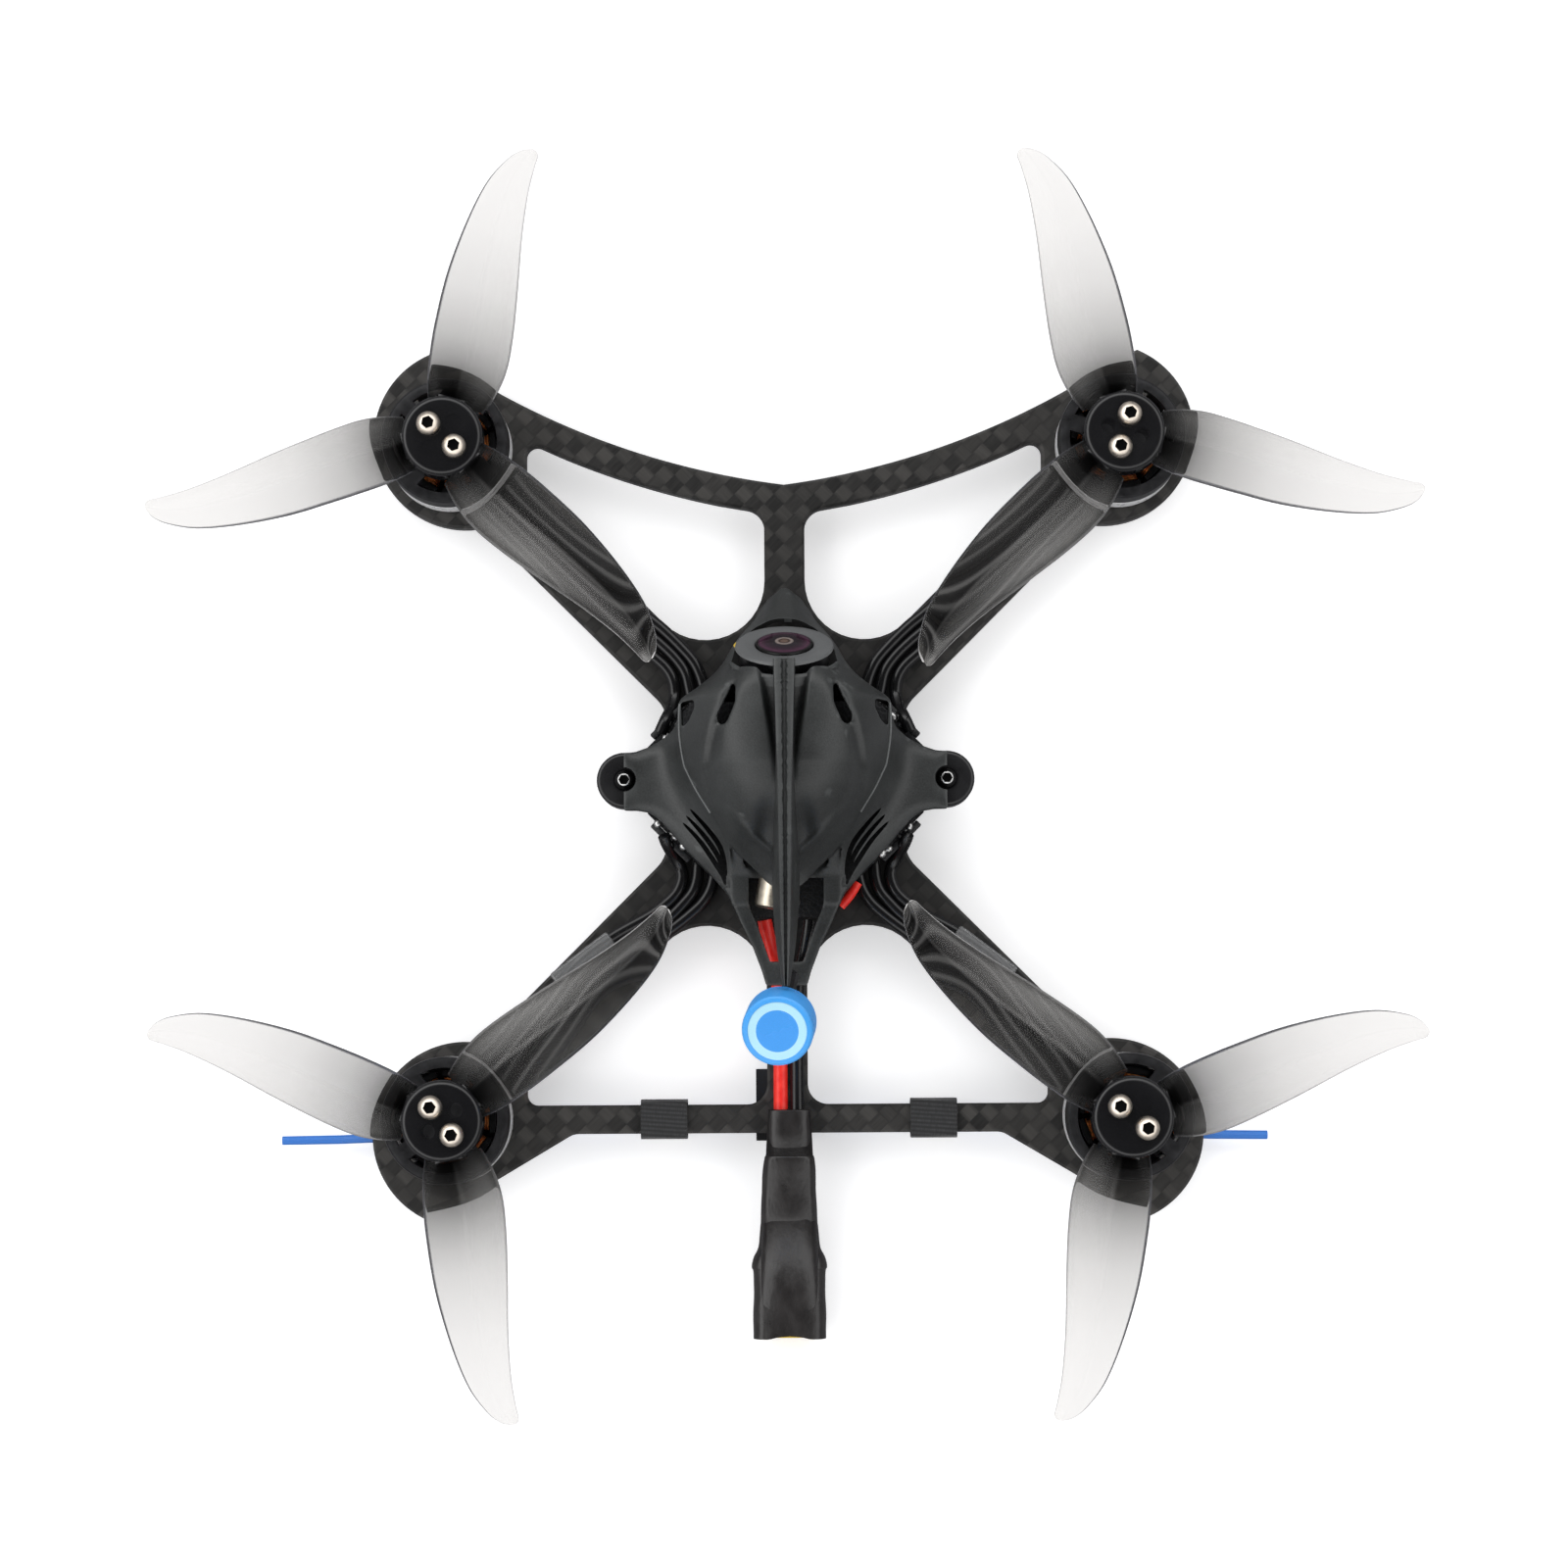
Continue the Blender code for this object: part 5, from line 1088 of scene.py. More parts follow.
@dataclass
class PowerLead:
    """Two silicone wires in a heat-shrink sleeve that ends in a two-pole connector."""

    wire_radius: float = 0.00105
    red_route: tuple[Point3, ...] = (
        (-0.0032, -0.0206, 0.0093), (-0.0029, -0.0222, 0.0091), (-0.0022, -0.0252, 0.0084),
        (-0.0014, -0.0290, 0.0076), (-0.0010, -0.0340, 0.0075), (-0.0010, -0.0400, 0.0078),
        (-0.0010, -0.0460, 0.0082), (-0.0010, -0.0510, 0.0082), (-0.0011, -0.0560, 0.0071),
        (-0.0011, -0.0620, 0.0055), (-0.0011, -0.0680, 0.0041), (-0.0011, -0.0723, 0.0034))
    black_route: tuple[Point3, ...] = (
        (0.0034, -0.0206, 0.0093), (0.0032, -0.0222, 0.0091), (0.0026, -0.0252, 0.0084),
        (0.0018, -0.0290, 0.0076), (0.0014, -0.0340, 0.0074), (0.0014, -0.0400, 0.0077),
        (0.0014, -0.0460, 0.0082), (0.0014, -0.0510, 0.0082), (0.0013, -0.0560, 0.0071),
        (0.0013, -0.0620, 0.0055), (0.0013, -0.0680, 0.0041), (0.0013, -0.0723, 0.0034))
    sleeve_wall: float = 0.0005
    sleeve_power: float = 0.7
    sleeve_ridge: float = 0.00014
    sleeve_dent: float = 0.0009
    sleeve_pull: float = 0.0005
    sleeve_rows: tuple[tuple[float, ...], ...] = (
        (0.00025, -0.0484, 0.0082, 0.0031, 0.0019), (0.00025, -0.0520, 0.0081, 0.0031, 0.0018),
        (0.00020, -0.0549, 0.0073, 0.0033, 0.0019), (0.00020, -0.0556, 0.0072, 0.0037, 0.0026),
        (0.00010, -0.0600, 0.0062, 0.0040, 0.0027), (0.00010, -0.0646, 0.0053, 0.0042, 0.0028),
        (0.00010, -0.0658, 0.0045, 0.0043, 0.0024), (0.00010, -0.0686, 0.0036, 0.0045, 0.0024),
        (0.00010, -0.0702, 0.0035, 0.0053, 0.0027), (0.00010, -0.0716, 0.0034, 0.0056, 0.0031),
        (0.00010, -0.0732, 0.0034, 0.0053, 0.0030), (0.00010, -0.0821, 0.0033, 0.0054, 0.0031))

    def build(self, finishes: Finishes) -> None:
        """Lay the wires as cords, with the sleeve and connector on them."""
        sleeve = self.sleeve(finishes)
        connector = repaint("power_connector", finishes.yellow)
        wires = (("red_wire", self.red_route, finishes.red_wire, "red_silicone", "power_wire_red",
                  [sleeve, connector]),
                 ("black_wire", self.black_route, finishes.black_wire, "black_silicone",
                  "power_wire_black", [connector]))
        for name, route, material, slot, node, others in wires:
            points = smooth_rows(route, 3)
            wire = Bench.route(name, points, self.wire_radius, 6)
            settle(wire, material, "airframe", slot, node)
            length = sum(math.dist(a, b) for a, b in zip(points, points[1:]))
            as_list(others)
            LOG.info("%s is %.1f mm long", name, length * 1000)

    def sleeve(self, finishes: Finishes) -> Piece:
        """Shrink the sleeve over the wires and the connector."""
        rows = smooth_rows(self.sleeve_rows, 8)

        def place(share: float, along: float, inset: float) -> Point3:
            """Return a point of the sleeve's wall, drawn in by an inset."""
            spot = along * (len(rows) - 1)
            low = min(int(spot), len(rows) - 2)
            x, y, z, wide, tall = (a + (b - a) * (spot - low) for a, b in zip(rows[low], rows[low + 1]))
            angle = 2 * math.pi * share
            c, s = math.cos(angle), math.sin(angle)
            ripple = 0.00006 * math.sin(y * 900 + 3 * c) * math.sin(angle * 2 + y * 300)
            u = squared(c, self.sleeve_power) * (wide - inset + ripple)
            v = squared(s, self.sleeve_power) * (tall - inset)
            if s > 0 and y < -0.0556:
                v += self.sleeve_ridge * math.exp(-((abs(u) / wide - 0.8) / 0.09) ** 2)
                v -= self.sleeve_dent * math.exp(-(u / 0.0022) ** 2 - ((y + 0.0678) / 0.0016) ** 2)
            pull = self.sleeve_pull * max(along - 0.94, 0.0) / 0.06 * max(1 - (u / 0.003) ** 2, 0.0)
            return x + u, y + pull, z + v

        outer = Bench.skin("heat_shrink", 48, 120, lambda u, v: place(u, v, 0.0), caps=False)
        inner = Bench.skin("heat_shrink_inside", 48, 120, lambda u, v: place(u, v, self.sleeve_wall),
                           caps=False)
        piece = Bench.smooth(Bench.cap(Bench.join("heat_shrink", [outer, inner]), bridge=True), 50)
        return settle(piece, finishes.shrink, "airframe", "heat_shrink", "heat_shrink_sleeve")


@dataclass
class Airframe:
    """Carbon plate with its windows and holes, the battery pad below it and the plate's screws."""

    chamfer: float = 0.0004
    body_half: float = 0.0177
    body_fillet: float = 0.005
    arm_side: float = 0.0066
    arm_end: float = 0.0058
    ear_half: float = 0.0032
    ear_reach: float = 0.0265
    ear_fillet: float = 0.0015
    spine_half: float = 0.003
    spine_fillet: float = 0.003
    crutch_fillet: float = 0.0088
    bumper_radius: float = 0.0137
    bumper_inward: float = 0.0019
    bumper_outward: float = 0.0024
    bumper_tip: float = math.radians(67)
    nose_apex: float = 0.0445
    nose_middle: Point2 = (0.0204, 0.0490)
    nose_end_inward: float = 0.0064
    nose_end_outward: float = 0.0094
    nose_width: float = 0.0045
    tail_rear: float = -0.0519
    tail_front: float = -0.0477
    gusset_inward: float = 0.0179
    gusset_fillet: float = 0.003
    window_end: float = 0.0385
    window_fillet: float = 0.0016
    window_steps: int = 14
    window_share: float = 0.72
    bolt_reach: float = 0.0045
    bolt_hole: float = 0.0011
    motor_hole: float = 0.0026
    post_reach: float = 0.01803
    post_hole: float = 0.0008
    ear_hole: float = 0.0009
    pad_half: Point2 = (0.014, 0.018)
    rib_pitch: float = 0.0023
    rib_half: float = 0.0006
    rib_inset: float = 0.0015

    def nose_edge(self, x: float, inset: float) -> float:
        """Return y on the nose bar's edge at x, inset from its front edge."""
        ax, ay = 0.0, self.nose_apex
        bx, by = self.nose_middle
        cx, cy = LAYOUT.motor - self.nose_end_inward, LAYOUT.motor + self.nose_end_outward
        d = 2 * (ax * (by - cy) + bx * (cy - ay) + cx * (ay - by))
        a2, b2, c2 = ax * ax + ay * ay, bx * bx + by * by, cx * cx + cy * cy
        ux = (a2 * (by - cy) + b2 * (cy - ay) + c2 * (ay - by)) / d
        uy = (a2 * (cx - bx) + b2 * (ax - cx) + c2 * (bx - ax)) / d
        radius = math.hypot(ax - ux, ay - uy)
        return uy - math.sqrt((radius + inset) ** 2 - (x - ux) ** 2)

    def outline(self) -> list[Point2]:
        """Return the plate's outer edge."""
        motor = LAYOUT.motor
        end = motor - self.nose_end_inward
        bar = [(end * i / 24, self.nose_edge(end * i / 24, 0)) for i in range(25)]
        cx, cy = motor - self.bumper_inward, motor + self.bumper_outward
        away = (cy - cx + self.arm_side) / math.sqrt(2)
        last = -math.pi / 4 - math.acos(away / self.bumper_radius)
        pad = []
        for i in range(41):
            angle = self.bumper_tip + (last - self.bumper_tip) * i / 40
            pad.append((cx + self.bumper_radius * math.cos(angle),
                        cy + self.bumper_radius * math.sin(angle)))
        rear_pad = [(x, -y) for x, y in reversed(pad)]
        root = self.body_half - self.arm_side
        side = [(*pad[-1], 0), (self.body_half, root, self.body_fillet),
                (self.body_half, self.ear_half, self.ear_fillet),
                (self.ear_reach, self.ear_half, self.ear_half),
                (self.ear_reach, -self.ear_half, self.ear_half),
                (self.body_half, -self.ear_half, self.ear_fillet),
                (self.body_half, -root, self.body_fillet), (*rear_pad[0], 0)]
        knee = (motor - self.gusset_inward, self.tail_rear, self.gusset_fillet)
        gusset = [(*rear_pad[-1], 0), knee, (0, self.tail_rear, 0)]
        right = bar + pad[:-1] + filleted(side) + rear_pad[1:-1] + filleted(gusset)[:-1]
        return right + mirrored(right)[:-1]

    def windows(self) -> list[list[Point2]]:
        """Return the four windows."""
        spine, end, width = self.spine_half, self.window_end, self.nose_width
        front = [(spine, self.nose_edge(spine, width), self.spine_fillet)]
        for i in range(1, 16):
            x = spine + (end - spine) * (0.14 + 0.78 * i / 16)
            front.append((x, self.nose_edge(x, width), 0))
        front += [(end, self.nose_edge(end, width), self.window_fillet),
                  (end, end + self.arm_end, self.window_fillet),
                  (spine, spine + self.arm_end, self.crutch_fillet)]
        rear = [(spine, self.tail_front, self.spine_fillet),
                (spine, -spine - self.arm_end, self.crutch_fillet),
                (end, -end - self.arm_end, self.window_fillet), (end, self.tail_front, self.window_fillet)]
        loops = []
        for corners in (front, rear):
            window = filleted(corners, self.window_steps, self.window_share)
            loops += [window, mirrored(window)]
        return loops

    def build(self, finishes: Finishes) -> None:
        """Cut the plate, ridge the pad and sink the motor screws."""
        loops = [self.outline(), *self.windows()]
        fit = LAYOUT.fit
        posts = ((self.post_reach, 0), (0, self.post_reach), (-self.post_reach, 0), (0, -self.post_reach))
        loops += [ring_points(x, y, self.post_hole + fit, 20) for x, y in posts]
        loops += [ring_points(side * LAYOUT.ear, 0, self.ear_hole + fit, 20) for side in (-1, 1)]
        spots = []
        for rotor in ROTORS:
            x, y = rotor.side_x * LAYOUT.motor, rotor.side_y * LAYOUT.motor
            loops.append(ring_points(x, y, self.motor_hole, 32))
            for dx, dy in ((1, 0), (0, 1), (-1, 0), (0, -1)):
                spots.append((x + dx * self.bolt_reach, y + dy * self.bolt_reach))
        loops += [ring_points(x, y, self.bolt_hole, 20) for x, y in spots]
        plate = Bench.plate("carbon_plate", loops, LAYOUT.plate_bottom, LAYOUT.plate_top, self.chamfer)
        settle(Bench.smooth(plate, 30), finishes.carbon, "airframe", "carbon", "frame_plate")
        self.pad(finishes)
        bolt = button_screw("plate_bolt", 0.00185, 0.0010, 0.00095, 0.0045, 0.00075)
        flip = Matrix.Rotation(math.pi, 4, "X")
        bolts = [Bench.copy(bolt, f"plate_bolt_{i}",
                            Matrix.Translation((x, y, LAYOUT.plate_bottom - 0.00005)) @ flip)
                 for i, (x, y) in enumerate(spots)]
        Bench.drop(bolt)
        settle(Bench.join("plate_bolts", bolts), finishes.black_steel, "airframe", "black_steel")

    def pad(self, finishes: Finishes) -> None:
        """Mould the battery pad with shallow ribs on its lower face."""
        half_x, half_y = self.pad_half
        pad = Bench.plate("battery_pad_ribbed", [rounded_box_points(half_x, half_y, 0.003)], 0.0004,
                          LAYOUT.plate_bottom - LAYOUT.fit, 0.0003, 1)
        ribs = []
        for i in range(-7, 8):
            low = (-half_x + self.rib_inset, i * self.rib_pitch - self.rib_half, 0.0)
            high = (half_x - self.rib_inset, i * self.rib_pitch + self.rib_half, 0.0008)
            ribs.append(Bench.block(f"pad_rib_{i}", low, high, 0.0003, 2))
        piece = Bench.combine(pad, [Bench.join("pad_ribs", ribs)], "UNION")
        settle(Bench.smooth(piece), finishes.rubber, "airframe", "rubber", "battery_pad")


def dress_faces(piece: Piece, materials: Sequence[bpy.types.Material],
                choose: Callable[[Vector], int]) -> None:
    """Give a piece several finishes; a rule chooses the finish of each face by the face's middle."""
    piece.data.materials.clear()
    for material in materials:
        piece.data.materials.append(material)
    for face in piece.data.polygons:
        face.material_index = int(choose(face.center))


def point_tree(points: Sequence[Point2]) -> KDTree:
    """Return a tree of flat points, for finding the nearest."""
    tree = KDTree(len(points))
    for i, (x, y) in enumerate(points):
        tree.insert((x, y, 0.0), i)
    tree.balance()
    return tree


def face_tree(piece: Piece) -> BVHTree:
    """Return a tree of a piece's faces as they are now, for finding the nearest."""
    return BVHTree.FromPolygons([vertex.co.copy() for vertex in piece.data.vertices],
                                [tuple(face.vertices) for face in piece.data.polygons])


def mark_reach(piece: Piece, radius: float) -> None:
    """Store on each point how far it lies from the Z axis, as a share of a radius."""
    mesh = piece.data
    reach = mesh.attributes.new("reach", "FLOAT", "POINT")
    reach.data.foreach_set("value", [math.hypot(*vertex.co[:2]) / radius for vertex in mesh.vertices])


def button_screw(name: str, head: float, tall: float, shank: float, length: float, socket: float) -> Piece:
    """Model a button-head screw about Z, its seat at height 0 and its hexagon socket on top.

    Args:
        name: The piece's name.
        head: Radius of the head.
        tall: Height of the head.
        shank: Radius of the shank.
        length: Length of the shank below the seat.
        socket: Radius of the socket over its corners.

    Returns:
        The screw.
    """
    profile = [(0, tall)]
    for degrees in (25, 40, 55, 68, 80, 90):
        angle = math.radians(degrees)
        profile.append((head * math.sin(angle),
                        tall * (0.12 + 0.88 * math.cos(angle)) if degrees < 90 else tall * 0.12))
    profile[0] = (0, profile[1][1])
    profile += [(head * 0.97, 0), (shank, 0), (shank, -length), (0, -length)]
    screw = Bench.lathe(name, profile, 40)
    top = profile[1][1]
    hexagon = Bench.plate(name + "_socket", [ring_points(0, 0, socket, 6)], top - tall * 0.7, top + tall)
    Bench.combine(screw, [hexagon], "DIFFERENCE")
    return Bench.smooth(screw, 30)


def ring_faces(piece: Piece, materials: Sequence[bpy.types.Material], radii: Sequence[float],
               low: float) -> None:
    """Dress the faces of a turned piece above a height by their distance from its axis.

    Args:
        piece: The piece, turned about Z.
        materials: The finish of the rest, then one for each ring from the middle out.
        radii: The outer radius of each ring.
        low: The height below which faces keep the first finish.
    """
    def choose(spot: Vector) -> int:
        """Return the number of the ring that a spot lies in."""
        inner = [k for k, radius in enumerate(radii) if math.hypot(*spot[:2]) < radius]
        return inner[0] + 1 if inner and spot.z > low else 0

    dress_faces(piece, materials, choose)


@dataclass
class Motor:
    """One outrunner motor: base with bearing tube, wound stator and turning bell."""

    base_radius: float = 0.0086
    base_height: float = 0.0016
    tube_radius: float = 0.0026
    tube_height: float = 0.0089
    shaft: float = 0.00075
    stator_radius: float = 0.0071
    stator_height: float = 0.0052
    stator_lift: float = 0.0009
    teeth: int = 9
    hub_radius: float = 0.0037
    root_width: float = 0.002
    winding_width: float = 0.0032
    coil_turns: int = 6
    coil_power: float = 0.6
    tip_width: float = 0.0038
    tip_thickness: float = 0.0009
    bell_radius: float = 0.0092
    bell_wall: float = 0.0016
    bell_top_thickness: float = 0.0014
    spokes: int = 4
    spoke_width: float = 0.0024
    boss_radius: float = 0.0044
    ring_height: float = 0.0043

    def base(self) -> Piece:
        """Turn the mounting base with its bearing tube."""
        seat, fit = LAYOUT.seat, LAYOUT.fit
        top, tube_top = seat + self.base_height, seat + self.tube_height
        bore = self.shaft + fit
        base = Bench.lathe("motor_base", [
            (bore, tube_top), (self.tube_radius - 0.0002, tube_top), (self.tube_radius, tube_top - 0.0002),
            (self.tube_radius, top), (self.base_radius - 0.0003, top), (self.base_radius, top - 0.0003),
            (self.base_radius, seat), (bore, seat), (bore, tube_top)], 64, closed=True)
        return Bench.smooth(base)

    def core(self) -> Piece:
        """Cut the laminated core."""
        neck = self.stator_radius - self.tip_thickness
        half = [(self.hub_radius, self.root_width / 2), (neck, self.root_width / 2),
                (neck, self.tip_width / 2)]
        first = math.asin(self.tip_width / 2 / self.stator_radius)
        arc = [(self.stator_radius * math.cos(first * k), self.stator_radius * math.sin(first * k))
               for k in (1, 0.6, 0.2)]
        half += arc
        tooth = [(u, -v) for u, v in half] + [(u, v) for u, v in reversed(half)]
        points = []
        for k in range(self.teeth):
            turn = Matrix.Rotation(2 * math.pi * k / self.teeth, 2)
            points += [tuple(turn @ Vector(point)) for point in tooth]
        foot = LAYOUT.seat + self.base_height + self.stator_lift
        hole = ring_points(0, 0, self.tube_radius + LAYOUT.fit, 32)
        return Bench.smooth(Bench.plate("stator_core", [points, hole], foot + 0.0007,
                                        foot + self.stator_height - 0.0007))

    def windings(self) -> Piece:
        """Wind copper round each tooth."""
        foot = LAYOUT.seat + self.base_height + self.stator_lift
        middle, tall = foot + self.stator_height / 2, self.stator_height / 2
        start, end = self.hub_radius + 0.0002, self.stator_radius - self.tip_thickness - 0.0001

        def place(share: float, along: float) -> Point3:
            """Return a point of one coil: its turns bulge along the tooth."""
            angle = 2 * math.pi * share
            bulge = abs(math.sin(math.pi * self.coil_turns * along)) ** 0.5
            grow = 0.88 + 0.12 * bulge
            half = self.root_width / 2 + (self.winding_width - self.root_width) / 2 * along
            wide = (half + 0.0002) * grow
            c, s = math.cos(angle), math.sin(angle)
            v = squared(c, self.coil_power) * wide
            w = squared(s, self.coil_power) * tall * (0.94 + 0.06 * bulge)
            return start + (end - start) * along, v, middle + w

        coil = Bench.smooth(Bench.skin("coil", 28, self.coil_turns * 6, place), 60)
        return Bench.join("stator_windings", Bench.round_copies(coil, self.teeth))

    def window(self, k: int) -> list[Point2]:
        """Return one opening between two spokes of the bell's top."""
        outer, half = self.bell_radius - self.bell_wall, self.spoke_width / 2
        first, inner_first = math.asin(half / outer), math.asin(half / self.boss_radius)
        quarter = 2 * math.pi / self.spokes
        points = []
        for i in range(13):
            angle = quarter * k + first + (quarter - 2 * first) * i / 12
            points.append((outer * math.cos(angle), outer * math.sin(angle)))
        for i in range(13):
            angle = quarter * (k + 1) - inner_first - (quarter - 2 * inner_first) * i / 12
            points.append((self.boss_radius * math.cos(angle), self.boss_radius * math.sin(angle)))
        return points

    def bell(self, finishes: Finishes) -> Piece:
        """Turn the bell, open its top between the spokes and give it its steel ring."""
        top, bottom, r = LAYOUT.bell_top, LAYOUT.bell_bottom, self.bell_radius
        under, inner = top - self.bell_top_thickness, r - self.bell_wall
        bell = Bench.lathe("motor_bell", [
            (0, top), (r - 0.0010, top), (r - 0.0004, top - 0.00012), (r - 0.00012, top - 0.0004),
            (r, top - 0.0010), (r, bottom + 0.0046), (r - 0.00012, bottom + 0.0045),
            (r - 0.00012, bottom + self.ring_height), (r, bottom + 0.0042), (r, bottom + 0.0003),
            (r - 0.0003, bottom), (inner, bottom), (inner, under), (self.shaft, under),
            (self.shaft, LAYOUT.seat + LAYOUT.fit), (0, LAYOUT.seat + LAYOUT.fit)], 72)
        loops = [self.window(k) for k in range(self.spokes)]
        loops += [ring_points(side * 0.0025, 0, 0.0011, 16) for side in (-1, 1)]
        cut = Bench.plate("bell_cut", loops, under - LAYOUT.fit, top + LAYOUT.fit)
        Bench.combine(bell, [cut], "DIFFERENCE")
        # Faces of the lower inner ring take the flux ring finish, brightened as painted reflection.
        dress_faces(bell, (finishes.black_metal, finishes.flux_ring_with_painted_reflection),
                    lambda spot: spot.z < bottom + self.ring_height
                    and math.hypot(*spot[:2]) > inner - 0.0001)
        return Bench.smooth(bell, 30)


@dataclass
class Propeller:
    """A three-blade propeller of clear smoke plastic with its hub and two button-head screws."""

    radius: float = 0.04445
    pitch: float = 0.0508
    blades: int = 3
    root_thickness: float = 0.0022
    tip_thickness: float = 0.0008
    edge_share: float = 0.32
    camber: float = 0.6
    full_pitch: float = 0.014
    steepest: float = 0.019
    hub_radius: float = 0.0059
    hub_edge: float = 0.0009
    recess: float = 0.00025
    bolt_reach: float = 0.0025
    bolt_angle: float = math.radians(3.5)
    plan: tuple[tuple[float, float, float], ...] = (
        (0.110, 0.081, -0.104), (0.180, 0.100, -0.126), (0.270, 0.113, -0.137), (0.385, 0.122, -0.128),
        (0.540, 0.126, -0.104), (0.710, 0.112, -0.073), (0.850, 0.085, -0.055), (0.942, 0.043, -0.052),
        (0.984, 0.008, -0.053), (0.999, -0.021, -0.043))

    def blade(self, name: str, sense: Sense) -> Piece:
        """Skin one blade along +X."""
        rows = smooth_rows(self.plan, 8)
        middle = (LAYOUT.hub_bottom + LAYOUT.hub_top) / 2

        def place(share: float, along: float) -> Point3:
            """Return a point of the blade: round its section, then out along its span."""
            station, lead, trail = rows[round(along * (len(rows) - 1))]
            out = station * self.radius
            slope = self.pitch / (2 * math.pi * max(out, self.steepest)) * min(1.0, out / self.full_pitch)
            thick = self.root_thickness + (self.tip_thickness - self.root_thickness) * station
            angle = 2 * math.pi * share
            chord = (1 - math.cos(angle)) / 2
            across = (lead + (trail - lead) * chord) * self.radius
            camber = 4 * chord * (1 - chord) * self.camber * thick
            edge = thick * self.edge_share
            inside = min(min(chord, 1 - chord) * (lead - trail) * self.radius / edge * 2, 1.0)
            full = self.edge_share + (1 - self.edge_share) * 4 * chord * (1 - chord)
            side = 1 if share < 0.5 else -1
            half = thick / 2 * full * math.sqrt(max(1 - (1 - inside) ** 2, 0.0)) * side
            return out, sense.value * across, middle + across * slope + camber + half

        return Bench.skin(name, 40, len(rows) - 1, place)

    def mark_chord(self, piece: Piece, sense: Sense) -> None:
        """Store on each point how far across its blade it lies, from 0 at the leading edge to 1."""
        rows = smooth_rows(self.plan, 8)
        values = []
        for vertex in piece.data.vertices:
            value = 0.5
            for k in range(self.blades):
                spot = Matrix.Rotation(-2 * math.pi * k / self.blades, 3, "Z") @ vertex.co / self.radius
                _, lead, trail = min(rows, key=lambda row: abs(row[0] - spot.x))
                share = (lead - sense.value * spot.y) / (lead - trail)
                if spot.x > 0 and -0.1 < share < 1.1:
                    value = share
            values.append(value)
        piece.data.attributes.new("chord", "FLOAT", "POINT").data.foreach_set("value", values)

    def pattern(self, name: str, sense: Sense, finishes: Finishes) -> Piece:
        """Model a whole propeller about its axis."""
        top, bottom, r, e = LAYOUT.hub_top, LAYOUT.hub_bottom, self.hub_radius, self.hub_edge
        edge = [(r - e + e * math.sin(angle), top - e + e * math.cos(angle))
                for angle in (math.radians(15 * k) for k in range(7))]
        hub = Bench.lathe(name, [(0, top), *edge, (r, bottom + 0.0003), (r - 0.0003, bottom), (0, bottom)],
                          96)
        blades = Bench.round_copies(self.blade(name + "_blade", sense), self.blades)
        Bench.combine(hub, blades, "UNION", Solver.MANIFOLD)
        drills, hollows = [], [ring_points(0, 0, 0.0012, 32)]
        for k in range(4):
            angle = sense.value * self.bolt_angle + math.pi / 2 * k
            place = (self.bolt_reach * math.cos(angle), self.bolt_reach * math.sin(angle))
            drills.append(ring_points(*place, 0.0011, 24))
            hollows.append(ring_points(*place, 0.0012, 32))
        cuts = [Bench.plate(name + "_hollow", [loop], top - self.recess, top + LAYOUT.fit)
                for loop in hollows]
        cuts.append(Bench.plate(name + "_drills", drills[:1], bottom - LAYOUT.fit, top))
        cuts.append(Bench.plate(name + "_drills", drills[2:3], bottom - LAYOUT.fit, top))
        for cut in cuts:
            Bench.combine(hub, [cut], "DIFFERENCE", Solver.MANIFOLD)
        mark_reach(hub, self.radius)
        self.mark_chord(hub, sense)
        dress_faces(hub, (finishes.smoke, finishes.hub), lambda spot: math.hypot(*spot[:2]) < r + 0.00002)
        return Bench.smooth(hub, 38)


